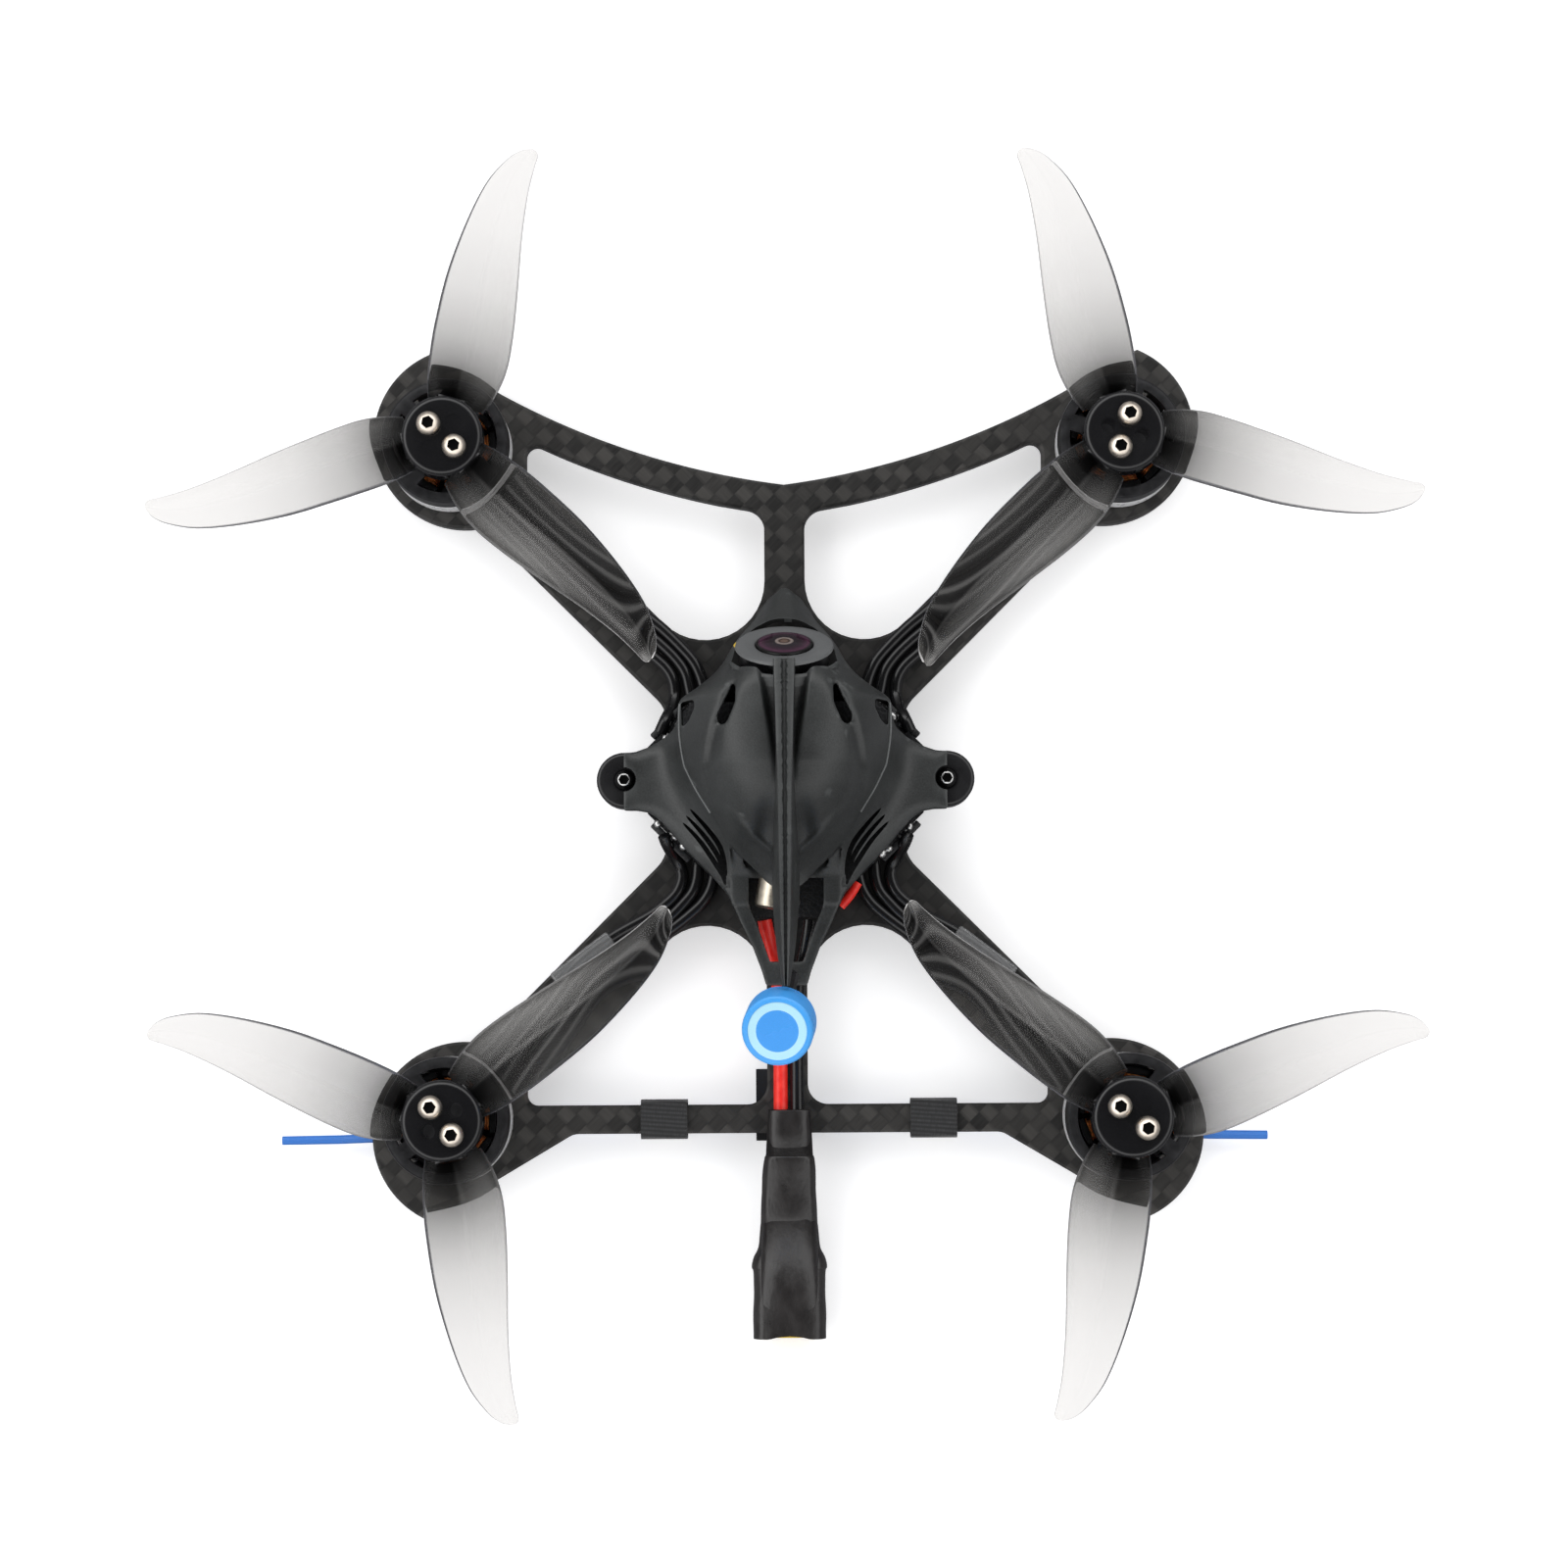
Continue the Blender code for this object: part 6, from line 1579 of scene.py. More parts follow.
class Rotors:
    """The four motors with their propellers."""

    def __init__(self, motor: Motor, propeller: Propeller) -> None:
        """Keep the patterns' sizes."""
        self.motor = motor
        self.propeller = propeller

    def build(self, finishes: Finishes) -> None:
        """Model each pattern once and put its copies on the four arms."""
        base, core, coils = self.motor.base(), self.motor.core(), self.motor.windings()
        bell = self.motor.bell(finishes)
        patterns = {sense: self.propeller.pattern("propeller_" + sense.name.lower(), sense, finishes)
                    for sense in Sense}
        screw = button_screw("hub_screw", 0.00175, 0.0014, 0.0008, 0.0055, 0.00095)
        # The socket takes the near-black inside finish: painted shade in the recess.
        ring_faces(screw, (finishes.screw, finishes.inside), (0.00094,), 0.0001)
        reach = self.propeller.bolt_reach
        for rotor in ROTORS:
            name, body = rotor.name, "rotor_" + rotor.name
            spot = Matrix.Translation((rotor.side_x * LAYOUT.motor, rotor.side_y * LAYOUT.motor, 0))
            blade = math.radians(rotor.blade_angle)
            line = blade + rotor.sense.value * self.propeller.bolt_angle + math.pi / 2 * rotor.screw_pair
            settle(Bench.copy(base, "base_" + name, spot), finishes.black_metal, "airframe", "black_metal",
                   "motor_base_" + name)
            settle(Bench.copy(coils, "windings_" + name, spot), finishes.copper, "airframe", "copper",
                   "motor_stator_" + name)
            settle(Bench.copy(core, "core_" + name, spot), finishes.black_metal, "airframe", "black_metal")
            settle(Bench.copy(bell, "bell_" + name, spot @ Matrix.Rotation(line, 4, "Z")),
                   finishes.black_metal, body, "black_metal", "motor_bell_" + name)
            blades = Bench.copy(patterns[rotor.sense], "blades_" + name,
                                spot @ Matrix.Rotation(blade, 4, "Z"))
            blades.visible_shadow = False
            blades.visible_diffuse = False
            settle(blades, finishes.smoke, body, "smoke_polycarbonate", "propeller_" + name)
            for letter, turn in (("a", 0.0), ("b", math.pi)):
                seat = Matrix.Translation((reach, 0, LAYOUT.hub_top + LAYOUT.fit))
                place = spot @ Matrix.Rotation(line + turn, 4, "Z") @ seat
                settle(Bench.copy(screw, f"hub_screw_{name}_{letter}", place), finishes.screw, body,
                       "screw_steel", f"prop_screw_{name}_{letter}")
        Bench.drop(base, core, coils, bell, screw, *patterns.values())


@dataclass
class Canopy:
    """Moulded canopy: two lobes with a dorsal fin, air slots, side lugs and an open tail.

    The shell's rows are in millimetres: y, half width of the shoulder edge, height of that edge, height
    of the lobes and run of the hollow below the edge, heights counted from the rim.
    """

    wall: float = 1.2
    voxel: float = 0.00026
    room: float = 0.030
    lobe_share: float = 0.62
    lobe_power: float = 3.3
    side_power: float = 1.6
    opening: float = 0.0082
    axis_depth: float = 0.007
    boss: Point3 = (0.0019, 0.0068, 0.0027)
    bore: Point3 = (0.0012, 0.0065, 0.0035)
    hole_height: float = 0.0058
    screw_notch: Point2 = (0.0018, 0.0025)
    bead_span: Point2 = (-5.5, 10.6)
    bead_touch: float = 0.00002
    floor_share: float = 0.9
    lug_height: float = 1.45
    roll: float = 0.7
    roll_reach: float = 1.7
    side_reach: float = 26.0
    rail_height: float = 0.0022
    shelf_height: float = 0.0025
    nose_foot: float = 0.0064
    nose_step: float = 0.0209
    rows: tuple[tuple[float, ...], ...] = (
        (28.6, 0.6, -3.4, -2.9, 0.5), (27.0, 2.1, -2.6, -0.4, 0.5), (25.0, 3.5, -1.0, 3.0, 0.5),
        (23.0, 4.6, 1.0, 6.6, 0.5), (21.0, 6.2, 3.4, 10.6, 0.6), (19.0, 7.5, 5.4, 14.2, 0.7),
        (17.0, 8.5, 6.8, 17.4, 0.8), (15.0, 10.0, 7.8, 19.6, 0.9), (13.0, 12.4, 8.4, 20.5, 1.0),
        (11.3, 14.8, 8.8, 20.6, 1.0), (10.0, 15.2, 8.9, 20.5, 1.1), (6.0, 15.25, 8.8, 20.0, 1.2),
        (2.0, 14.7, 8.4, 19.2, 1.4), (0.4, 14.1, 8.1, 18.7, 1.6), (-2.2, 12.8, 7.6, 17.7, 1.9),
        (-5.3, 10.9, 7.0, 15.8, 2.2), (-8.5, 9.1, 6.4, 12.8, 2.2), (-10.5, 7.9, 6.0, 10.6, 2.0),
        (-12.3, 6.5, 5.7, 8.6, 1.8), (-14.0, 4.8, 5.5, 7.0, 1.6), (-15.5, 3.4, 5.3, 6.2, 1.5),
        (-18.6, 1.8, 4.6, 4.8, 1.5))
    trench: tuple[Point3, ...] = (
        (30.0, 3.9, 0.0), (15.5, 3.9, 0.6), (13.8, 3.6, 0.9), (12.5, 3.3, 1.2), (10.4, 2.9, 2.4),
        (8.5, 2.6, 2.8), (7.0, 2.3, 2.4), (3.5, 1.8, 1.4), (0.7, 1.5, 0.6), (-2.0, 1.4, 0.0),
        (-20.0, 1.4, 0.0))
    crease: tuple[Point3, ...] = (
        (9.0, 8.8, 0.0), (7.4, 9.45, 0.6), (3.9, 10.35, 1.0), (0.4, 10.9, 1.0), (-2.9, 10.4, 0.8),
        (-6.1, 9.2, 0.4), (-8.5, 8.0, 0.0))
    vee: tuple[Point3, ...] = (
        (-4.2, 8.9, 0.0), (-5.2, 7.95, 0.6), (-7.1, 6.4, 1.0), (-9.0, 4.6, 1.0), (-11.1, 2.05, 1.0),
        (-12.2, 1.0, 0.0))
    lip: float = 0.0002
    # tail and hidden bound the painted shade inside the canopy: faces ahead of tail and deeper than hidden
    # under the outer face.
    tail: float = -0.0095
    hidden: float = 0.0006
    outline: tuple[Point2, ...] = (
        (0.0004, 0.02875), (0.0024, 0.0271), (0.0038, 0.0250), (0.0049, 0.0230), (0.0065, 0.0210),
        (0.0078, 0.0190), (0.0088, 0.0170), (0.0103, 0.0150), (0.0127, 0.0130), (0.0150, 0.0114),
        (0.0155, 0.0106), (0.0156, 0.0085), (0.0162, 0.0073), (0.0178, 0.0060), (0.0200, 0.0048),
        (0.0220, 0.0041), (0.0237, 0.0039), (0.0237, -0.0046), (0.0217, -0.0046), (0.0200, -0.0049),
        (0.0185, -0.0059), (0.0167, -0.0079), (0.0147, -0.0103), (0.0116, -0.0134), (0.0085, -0.0170),
        (0.0077, -0.0184))
    fin: tuple[tuple[float, ...], ...] = (
        (15.6, 1.50, 1.70, 19.5, 21.7), (13.0, 1.45, 1.65, 17.0, 22.1), (10.0, 1.35, 1.55, 15.5, 22.4),
        (4.0, 1.20, 1.45, 15.0, 22.8), (-2.0, 1.05, 1.55, 13.5, 23.2), (-8.5, 0.95, 1.75, 9.0, 23.5),
        (-12.5, 0.90, 1.95, 6.0, 23.6), (-15.6, 0.85, 2.0, 6.2, 23.6), (-19.8, 0.78, 1.8, 11.0, 23.5),
        (-24.0, 0.65, 1.45, 16.0, 23.4), (-27.5, 0.50, 1.0, 19.5, 23.3), (-30.6, 0.30, 0.5, 21.6, 22.9))
    rail_outer: tuple[Point2, ...] = (
        (0.0090, -0.0160), (0.0080, -0.0180), (0.0066, -0.0212), (0.0050, -0.0245), (0.0036, -0.0282),
        (0.0030, -0.0303))
    rail_inner: tuple[Point2, ...] = (
        (0.0024, -0.0268), (0.0041, -0.0218), (0.0053, -0.0189), (0.0055, -0.0160))
    pocket: tuple[Point2, ...] = (
        (0.0081, -0.0098), (0.0064, -0.0117), (0.0045, -0.0135), (0.0036, -0.0145), (0.0027, -0.0160),
        (0.0020, -0.0190), (0.0020, -0.0240), (0.0077, -0.0240), (0.0077, -0.0178), (0.0079, -0.0142))
    hole: tuple[Point2, ...] = ((0.0055, -0.0146), (0.0055, -0.0183), (0.0041, -0.0216), (0.0024, -0.0268))
    drop_vent: tuple[tuple[float, float, float], ...] = (
        (0.0069, 0.0135, 0.0002), (0.0080, 0.0110, 0.0012), (0.0096, 0.0079, 0.0008),
        (0.0093, 0.0066, 0.0006), (0.0083, 0.0067, 0.0008), (0.0070, 0.0096, 0.002))
    corner_vent: tuple[tuple[float, float, float], ...] = (
        (0.0150, 0.0105, 0.0003), (0.0130, 0.0106, 0.0005), (0.0129, 0.0094, 0.0015),
        (0.0138, 0.0076, 0.002), (0.0149, 0.0067, 0.0003))
    slots: tuple[tuple[Point2, ...], ...] = (
        ((0.0139, -0.0046), (0.0114, -0.0075), (0.0097, -0.0099), (0.0090, -0.0121), (0.0087, -0.0143)),
        ((0.0145, -0.0055), (0.0121, -0.0082), (0.0102, -0.0109), (0.0093, -0.0130), (0.0088, -0.0149)),
        ((0.0150, -0.0065), (0.0126, -0.0091), (0.0106, -0.0120), (0.0094, -0.0140), (0.0088, -0.0156)))
    slot_width: float = 0.00075

    def surface(self, y: float, across: float, rows: Sequence[Sequence[float]], edge: KDTree, rim: KDTree,
                inset: float) -> tuple[float, float]:
        """Return x and height of the shell's face at a station, both in millimetres.

        Args:
            y: The station.
            across: From 0 in the middle to 1 at the far end of the side.
            rows: The shell's rows, finely spaced.
            edge: The same rows as points of the shoulder edge, for the distance to it.
            rim: Points of the outline, towards which the side rolls down.
            inset: How far the face is drawn in.

        Returns:
            The distance from the middle and the height above the rim.
        """
        _, half, low, high, _ = read_rows(rows, y)
        half = max(half - inset, 0.3)
        if across <= self.lobe_share:
            share = across / self.lobe_share
            x = half * share
            height = low + (high - low) * (1 - share ** self.lobe_power)
            return x, height + self.relief(x, y) - inset
        outward = (across - self.lobe_share) / (1 - self.lobe_share)
        x = half + (self.side_reach - half) * outward ** self.side_power
        _, nearest, away = edge.find((x + inset, y, 0.0))
        _, _, low, _, run = rows[nearest]
        height = low
        if low > self.lug_height:
            height = self.lug_height + (low - self.lug_height) * math.exp(-away / run)
        _, _, reach = rim.find((x, y, 0.0))
        return x, height - inset - self.roll * max(1 - reach / self.roll_reach, 0.0) ** 2

    def relief(self, x: float, y: float) -> float:
        """Return how far trench, creases and ridges lift the lobes at a spot, in millimetres."""
        _, edge, depth = read_rows(self.trench, y)
        share = min(max((edge + 0.35 - x) / 0.9, 0.0), 1.0)
        lift = -depth * share * share * (3 - 2 * share)
        if self.crease[-1][0] < y < self.crease[0][0]:
            _, line, weight = read_rows(self.crease, y)
            lift += weight * (0.3 * math.exp(-((x - line - 1.2) / 0.7) ** 2)
                              - 0.75 * math.exp(-((x - line) / 0.8) ** 2))
        if self.vee[-1][0] < y < self.vee[0][0]:
            _, line, weight = read_rows(self.vee, y)
            lift += weight * 0.55 * math.exp(-((x - line) / 0.75) ** 2)
        lift -= 1.1 * math.exp(-((x - 2.7) / 1.6) ** 2 - ((y + 7.4) / 2.6) ** 2)
        along = min(max((y - 6.5) / 8.0, 0.0), 1.0)
        return lift - 0.9 * math.sin(math.pi * along) * math.exp(-((x - 9.2 + 2.6 * along) / 0.8) ** 2)

    def shell(self, name: str, inset: float) -> Piece:
        """Skin the shell's outer or inner face as a closed body."""
        rows = smooth_rows(self.rows, 12)
        edge = point_tree([(row[1], row[0]) for row in rows])
        rim = point_tree([(x * 1000, y * 1000) for x, y in smooth_rows(self.outline, 8)
                          if x < LAYOUT.ear - 0.0012])
        front, rear = rows[0][0] - 2 * inset, rows[-1][0] - (0.3 if inset else 0.0)
        floor = self.nose_foot - (LAYOUT.fit if inset else 0.0)

        def place(share: float, along: float) -> Point3:
            """Return a point of the closed section: over the top, then back along the floor."""
            if share > 0.999:
                return place(0.0, along)
            y = front + (rear - front) * along
            if share > self.floor_share:
                back = 1 - 2 * (share - self.floor_share) / 0.1
                return (self.side_reach - inset) * 0.001 * back, y * 0.001, floor
            t = share / self.floor_share * 2 - 1
            x, height = self.surface(y, abs(t), rows, edge, rim, inset)
            return math.copysign(x, t) * 0.001, y * 0.001, max(LAYOUT.rim + height * 0.001, floor + 0.0001)

        return Bench.skin(name, 200, 150, place)

    def fin_body(self) -> Piece:
        """Loft the dorsal fin: sloping flanks and a groove between two lips on top."""
        rows = smooth_rows(self.fin, 14)

        def place(share: float, along: float) -> Point3:
            """Return a point of the fin's section."""
            y, top_half, half, bottom, top = rows[round(along * (len(rows) - 1))]
            rough = (math.sin(y * 11.0) * 0.5 + math.sin(y * 27.0 + 1.3) * 0.3
                     + math.sin(y * 5.3 + 0.4) * 0.4)
            groove = top_half * (0.26 + 0.09 * rough)
            side = [(half, bottom), (half * 0.99, bottom + 0.25 * (top - bottom)),
                    (top_half + (half - top_half) * 0.35, bottom + 0.62 * (top - bottom)),
                    (top_half, top - 0.35), (top_half - 0.05, top - 0.12), (top_half * 0.82, top),
                    (groove + 0.08, top - 0.04 + 0.03 * rough), (groove * 0.45, top - 0.55)]
            corners = side + [(-u, w) for u, w in reversed(side)]
            x, z = corners[round(share * 16) % 16]
            return x * 0.001, y * 0.001, LAYOUT.rim + z * 0.001

        return Bench.skin("fin", 16, len(rows) - 1, place)

    def lips(self) -> list[Piece]:
        """Run a fine bead along each shoulder edge; it carries a lighter finish, a painted highlight of
        that edge.
        """
        rows = [row for row in smooth_rows(self.rows, 6) if self.bead_span[0] < row[0] < self.bead_span[1]]
        beads = []
        for side in (-1, 1):
            points = [(side * (row[1] - 0.03) * 0.001, row[0] * 0.001, LAYOUT.rim + (row[2] + 0.1) * 0.001)
                      for row in rows]
            beads.append(Bench.tube("shoulder_bead", points, self.lip, 3))
        return beads

    def build(self, finishes: Finishes) -> None:
        """Mould the canopy and cut its openings."""
        rim, fit = LAYOUT.rim, LAYOUT.fit
        top = rim + self.room
        shell = self.shell("canopy_moulding", 0.0)
        skin = face_tree(shell)
        Bench.combine(shell, [self.trim(self.nose_foot)], "INTERSECT", Solver.MANIFOLD)
        under = Bench.block("under", (-0.03, -0.04, 0.0), (0.03, self.nose_step, rim))
        Bench.combine(shell, [under, self.shell("canopy_inside", self.wall)], "DIFFERENCE", Solver.MANIFOLD)
        tools = []
        for side in (-1, 1):
            tools.append(self.pocket_tool(side, top))
            tools.append(Bench.plate("drop_vent", [on_side(filleted(self.drop_vent, 5), side)],
                                     rim + 0.009, top))
        Bench.combine(shell, tools, "DIFFERENCE", Solver.MANIFOLD)
        front = LAYOUT.camera_front()
        joins = [shell, self.rails(), *(self.shelf(side) for side in (-1, 1))]
        axis = front @ Vector((0, -self.axis_depth, 0))

        def pin_rod(name: str, side: int, sizes: Point3, steps: int) -> Piece:
            """Return a rod on the camera's axis from its radius, start and length."""
            radius, start, length = sizes
            return Bench.rod(name, radius, (side * start, axis.y, axis.z), (side, 0, 0), length, steps)

        joins += [pin_rod("pin_boss", side, self.boss, 32) for side in (-1, 1)]
        body = Bench.join("canopy_moulding", joins)
        Bench.modify(body, "REMESH", mode="VOXEL", voxel_size=self.voxel)
        Bench.modify(body, "SMOOTH", factor=0.5, iterations=4)
        Bench.modify(body, "DECIMATE", ratio=0.55)
        lips = self.lips()
        beads = [face_tree(bead) for bead in lips]
        for part in (self.collar(front), self.fin_body(), *lips):
            Bench.combine(body, [part], "UNION", Solver.MANIFOLD)
        forward = front.to_3x3() @ Vector((0, 1, 0))
        cuts = [Bench.rod("camera_cut", self.opening, front @ Vector((0, -0.0026, 0)), forward, 0.012, 96)]
        hole = [*self.hole, *mirrored(self.hole)]
        cuts.append(Bench.plate("tail_hole", [hole], rim - fit, rim + self.hole_height))
        wide, tall = self.screw_notch
        for side in (-1, 1):
            notch = ring_points(side * LAYOUT.ear, 0, wide, 32)
            cuts.append(Bench.plate("notch", [notch], rim - fit, rim + tall))
            cuts.append(Bench.plate("corner_vent", [on_side(filleted(self.corner_vent, 5), side)],
                                    rim - 0.004, top))
            cuts.append(pin_rod("pin_bore", side, self.bore, 24))
            cuts += [Bench.plate("slot", [on_side(self.slot(route), side)], rim + 0.0004, top)
                     for route in self.slots]
        Bench.combine(body, cuts, "DIFFERENCE", Solver.MANIFOLD)

        def choose(spot: Vector) -> int:
            """Return 2 on a bead, which carries the painted edge highlight; 1 well below the shell's outer
            face, which carries painted shade; 0 elsewhere.
            """
            if any(bead.find_nearest(spot, self.bead_touch)[0] for bead in beads):
                return 2
            above, _, _, away = skin.ray_cast(spot, (0, 0, 1))
            return 1 if spot.y > self.tail and above and away > self.hidden else 0

        dress_faces(body, (finishes.canopy, finishes.inside, finishes.canopy_edge_highlight), choose)
        settle(Bench.smooth(body, 40), finishes.canopy, "airframe", "moulded_canopy", "canopy")

    def collar(self, front: Matrix) -> Piece:
        """Bend the collar that rings the back of the camera opening."""
        section = ((0.0078, -0.0016), (0.0081, -0.0013), (0.0084, -0.0013), (0.0087, -0.0016),
                   (0.0087, -0.0030), (0.0078, -0.0030))
        sweep = math.radians(88)

        def place(share: float, along: float) -> Point3:
            """Return a point of the collar's section, turned about the camera's axis."""
            r, depth = section[round(share * 6) % 6]
            angle = sweep * (2 * along - 1)
            r -= 0.0010 * max(abs(2 * along - 1) - 0.66, 0.0) / 0.34
            return tuple(front @ Vector((r * math.sin(angle), depth, r * math.cos(angle))))

        ring = Bench.skin("collar", 6, 64, place)
        return Bench.combine(ring, [self.trim(LAYOUT.rim)], "INTERSECT", Solver.MANIFOLD)

    def trim(self, low: float) -> Piece:
        """Cut a body to the canopy's outline, from a height up; what lies outside it is trimmed off."""
        return Bench.plate("trim", [[*self.outline, *mirrored(self.outline)]], low, LAYOUT.rim + self.room)

    def pocket_tool(self, side: int, top: float) -> Piece:
        """Shape the tool that hollows one tail pocket, its floor rising towards the dome."""
        tool = Bench.plate("pocket", [on_side(self.pocket, side)], LAYOUT.rim + self.shelf_height, top)
        for vertex in tool.data.vertices:
            if vertex.co.z < LAYOUT.rim + self.shelf_height + 0.001 and vertex.co.y > -0.0143:
                vertex.co.z += (vertex.co.y + 0.0143) * 0.5
        return tool

    def slot(self, route: Sequence[Point2]) -> list[Point2]:
        """Return one louvre slot of the right side, pointed at both ends."""
        points = [Vector(point) for point in smooth_rows(route, 5)]
        left, right = [], []
        for i, point in enumerate(points):
            ahead = points[min(i + 1, len(points) - 1)] - points[max(i - 1, 0)]
            wide = self.slot_width / 2 * (0.15 + 0.85 * math.sin(math.pi * i / (len(points) - 1)) ** 0.5)
            across = Vector((-ahead.y, ahead.x)).normalized() * wide
            left.append(tuple(point + across))
            right.append(tuple(point - across))
        return left + right[::-1]

    def shelf(self, side: int) -> Piece:
        """Lay the shelf of one tail pocket."""
        corners = ((0.0083, -0.0120), (0.0055, -0.0120), (0.0030, -0.0146), (0.0055, -0.0146),
                   (0.0055, -0.0184), (0.0080, -0.0184))
        return Bench.plate("shelf", [on_side(corners, side)], LAYOUT.rim + 0.0008,
                           LAYOUT.rim + self.shelf_height)

    def rails(self) -> Piece:
        """Cut the tail rails round the open tail."""
        outer, inner = list(self.rail_outer), list(self.rail_inner)
        outline = outer + mirrored(outer) + mirrored(inner) + inner
        return Bench.plate("rails", [outline], LAYOUT.rim, LAYOUT.rim + self.rail_height)


@dataclass
class Camera:
    """The tilting camera: body, round bezel and coated lens."""

    bezel_radius: float = 0.0071
    flange: float = 0.00045
    tape_radius: float = 0.0074
    barrel_radius: float = 0.0064
    depth: float = 0.003
    lens_radius: float = 0.0041
    raise_edge: float = 0.0001
    bulge: float = 0.0004

    def build(self, finishes: Finishes) -> None:
        """Turn bezel and lens and set them on the camera's front."""
        front = LAYOUT.camera_front() @ Matrix.Rotation(-math.pi / 2, 4, "X")
        r, bore, deep, flange = self.bezel_radius, self.lens_radius + 0.00005, -self.depth, self.flange
        bezel = Bench.lathe("bezel", [
            (bore, -0.00035), (bore + 0.00012, -0.0001), (bore + 0.0003, 0), (r - 0.00055, 0),
            (r - 0.0002, -0.00012), (r - 0.00005, -0.0003), (r, -0.0005), (r, -flange),
            (self.barrel_radius, -flange - 0.0001), (self.barrel_radius, deep), (bore, deep),
            (bore, -0.00035)], 96, closed=True)
        dress_faces(bezel, (finishes.bezel, finishes.black_plastic),
                    lambda spot: spot.z < -flange - 0.00002 or math.hypot(*spot[:2]) < bore + 0.00004)
        settle(Bench.smooth(Bench.move(bezel, front), 30), finishes.bezel, "camera", "bezel_grey",
               "camera_bezel")
        arc = [(self.tape_radius * math.cos(angle), self.tape_radius * math.sin(angle))
               for angle in (math.radians(126 + 2 * i) for i in range(20))]
        tape = Bench.tube("camera_tape", [(x, y, -0.0011) for x, y in arc], 0.00024, 4)
        settle(Bench.smooth(Bench.move(tape, front), 50), finishes.yellow, "camera", "connector_yellow")
        profile = []
        for i in range(1, 19):
            angle = math.pi / 2 * i / 18
            profile.append((self.lens_radius * math.sin(angle),
                            self.raise_edge + self.bulge * math.cos(angle)))
        lens = Bench.lathe("lens", [(0, profile[0][1]), *profile, (self.lens_radius, deep + LAYOUT.fit),
                                    (0, deep + LAYOUT.fit)], 72)
        mark_reach(lens, self.lens_radius)
        settle(Bench.smooth(Bench.move(lens, front), 50), finishes.lens, "camera", "lens_glass",
               "camera_lens")


@dataclass
class Antennas:
    """Capped video antenna, straight receiver antenna, its holder and the woven bands."""

    ring_inner: float = 0.0029
    ring_margin: float = 0.0009
    cap_radius: float = 0.00505
    cap_low: Point3 = (-0.0007, -0.0354, 0.0293)
    cap_high: Point3 = (-0.00125, -0.0370, 0.0359)

    def build(self, finishes: Finishes) -> None:
        """Turn the cap; dress the stem, the tubes, their holder and the bands."""
        low, high = Vector(self.cap_low), Vector(self.cap_high)
        tall, r = (high - low).length, self.cap_radius
        cap = Bench.lathe("cap", [
            (0, tall - 0.00015), (0.0030, tall - 0.0001), (r - self.ring_margin, tall - 0.0001),
            (r - 0.00085, tall), (r - 0.00035, tall - 0.00005), (r - 0.0001, tall - 0.0003),
            (r, tall - 0.0008), (r, 0.0014), (r - 0.0001, 0.00135), (r - 0.0001, 0.00115), (r, 0.0011),
            (r, 0.0007), (r - 0.0002, 0.0002), (r - 0.0007, 0), (0, 0)], 72)
        lean = Vector((0, 0, 1)).rotation_difference(high - low).to_matrix().to_4x4()
        dress_faces(cap, (finishes.cap_blue, finishes.pale_blue),
                    lambda spot: spot.z > tall - 0.0002
                    and self.ring_inner < math.hypot(*spot[:2]) < r - self.ring_margin)
        Bench.smooth(Bench.move(cap, Matrix.Translation(low) @ lean), 30)
        settle(cap, finishes.cap_blue, "airframe", "antenna_blue", "antenna_cap")
        for side in ("left", "right"):
            repaint("receiver_antenna_" + side, finishes.aerial_blue)
            repaint("tail_bar_band_" + side, finishes.webbing)
        for name in ("antenna_stem", "antenna_holder"):
            repaint(name, finishes.black_plastic)


def repaint(node: str, material: bpy.types.Material) -> Piece:
    """Give a CAD node that stays a better finish, and return it."""
    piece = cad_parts[node]
    piece.data.materials.clear()
    piece.data.materials.append(material)
    LOG.info("%s keeps its solid", node)
    return piece


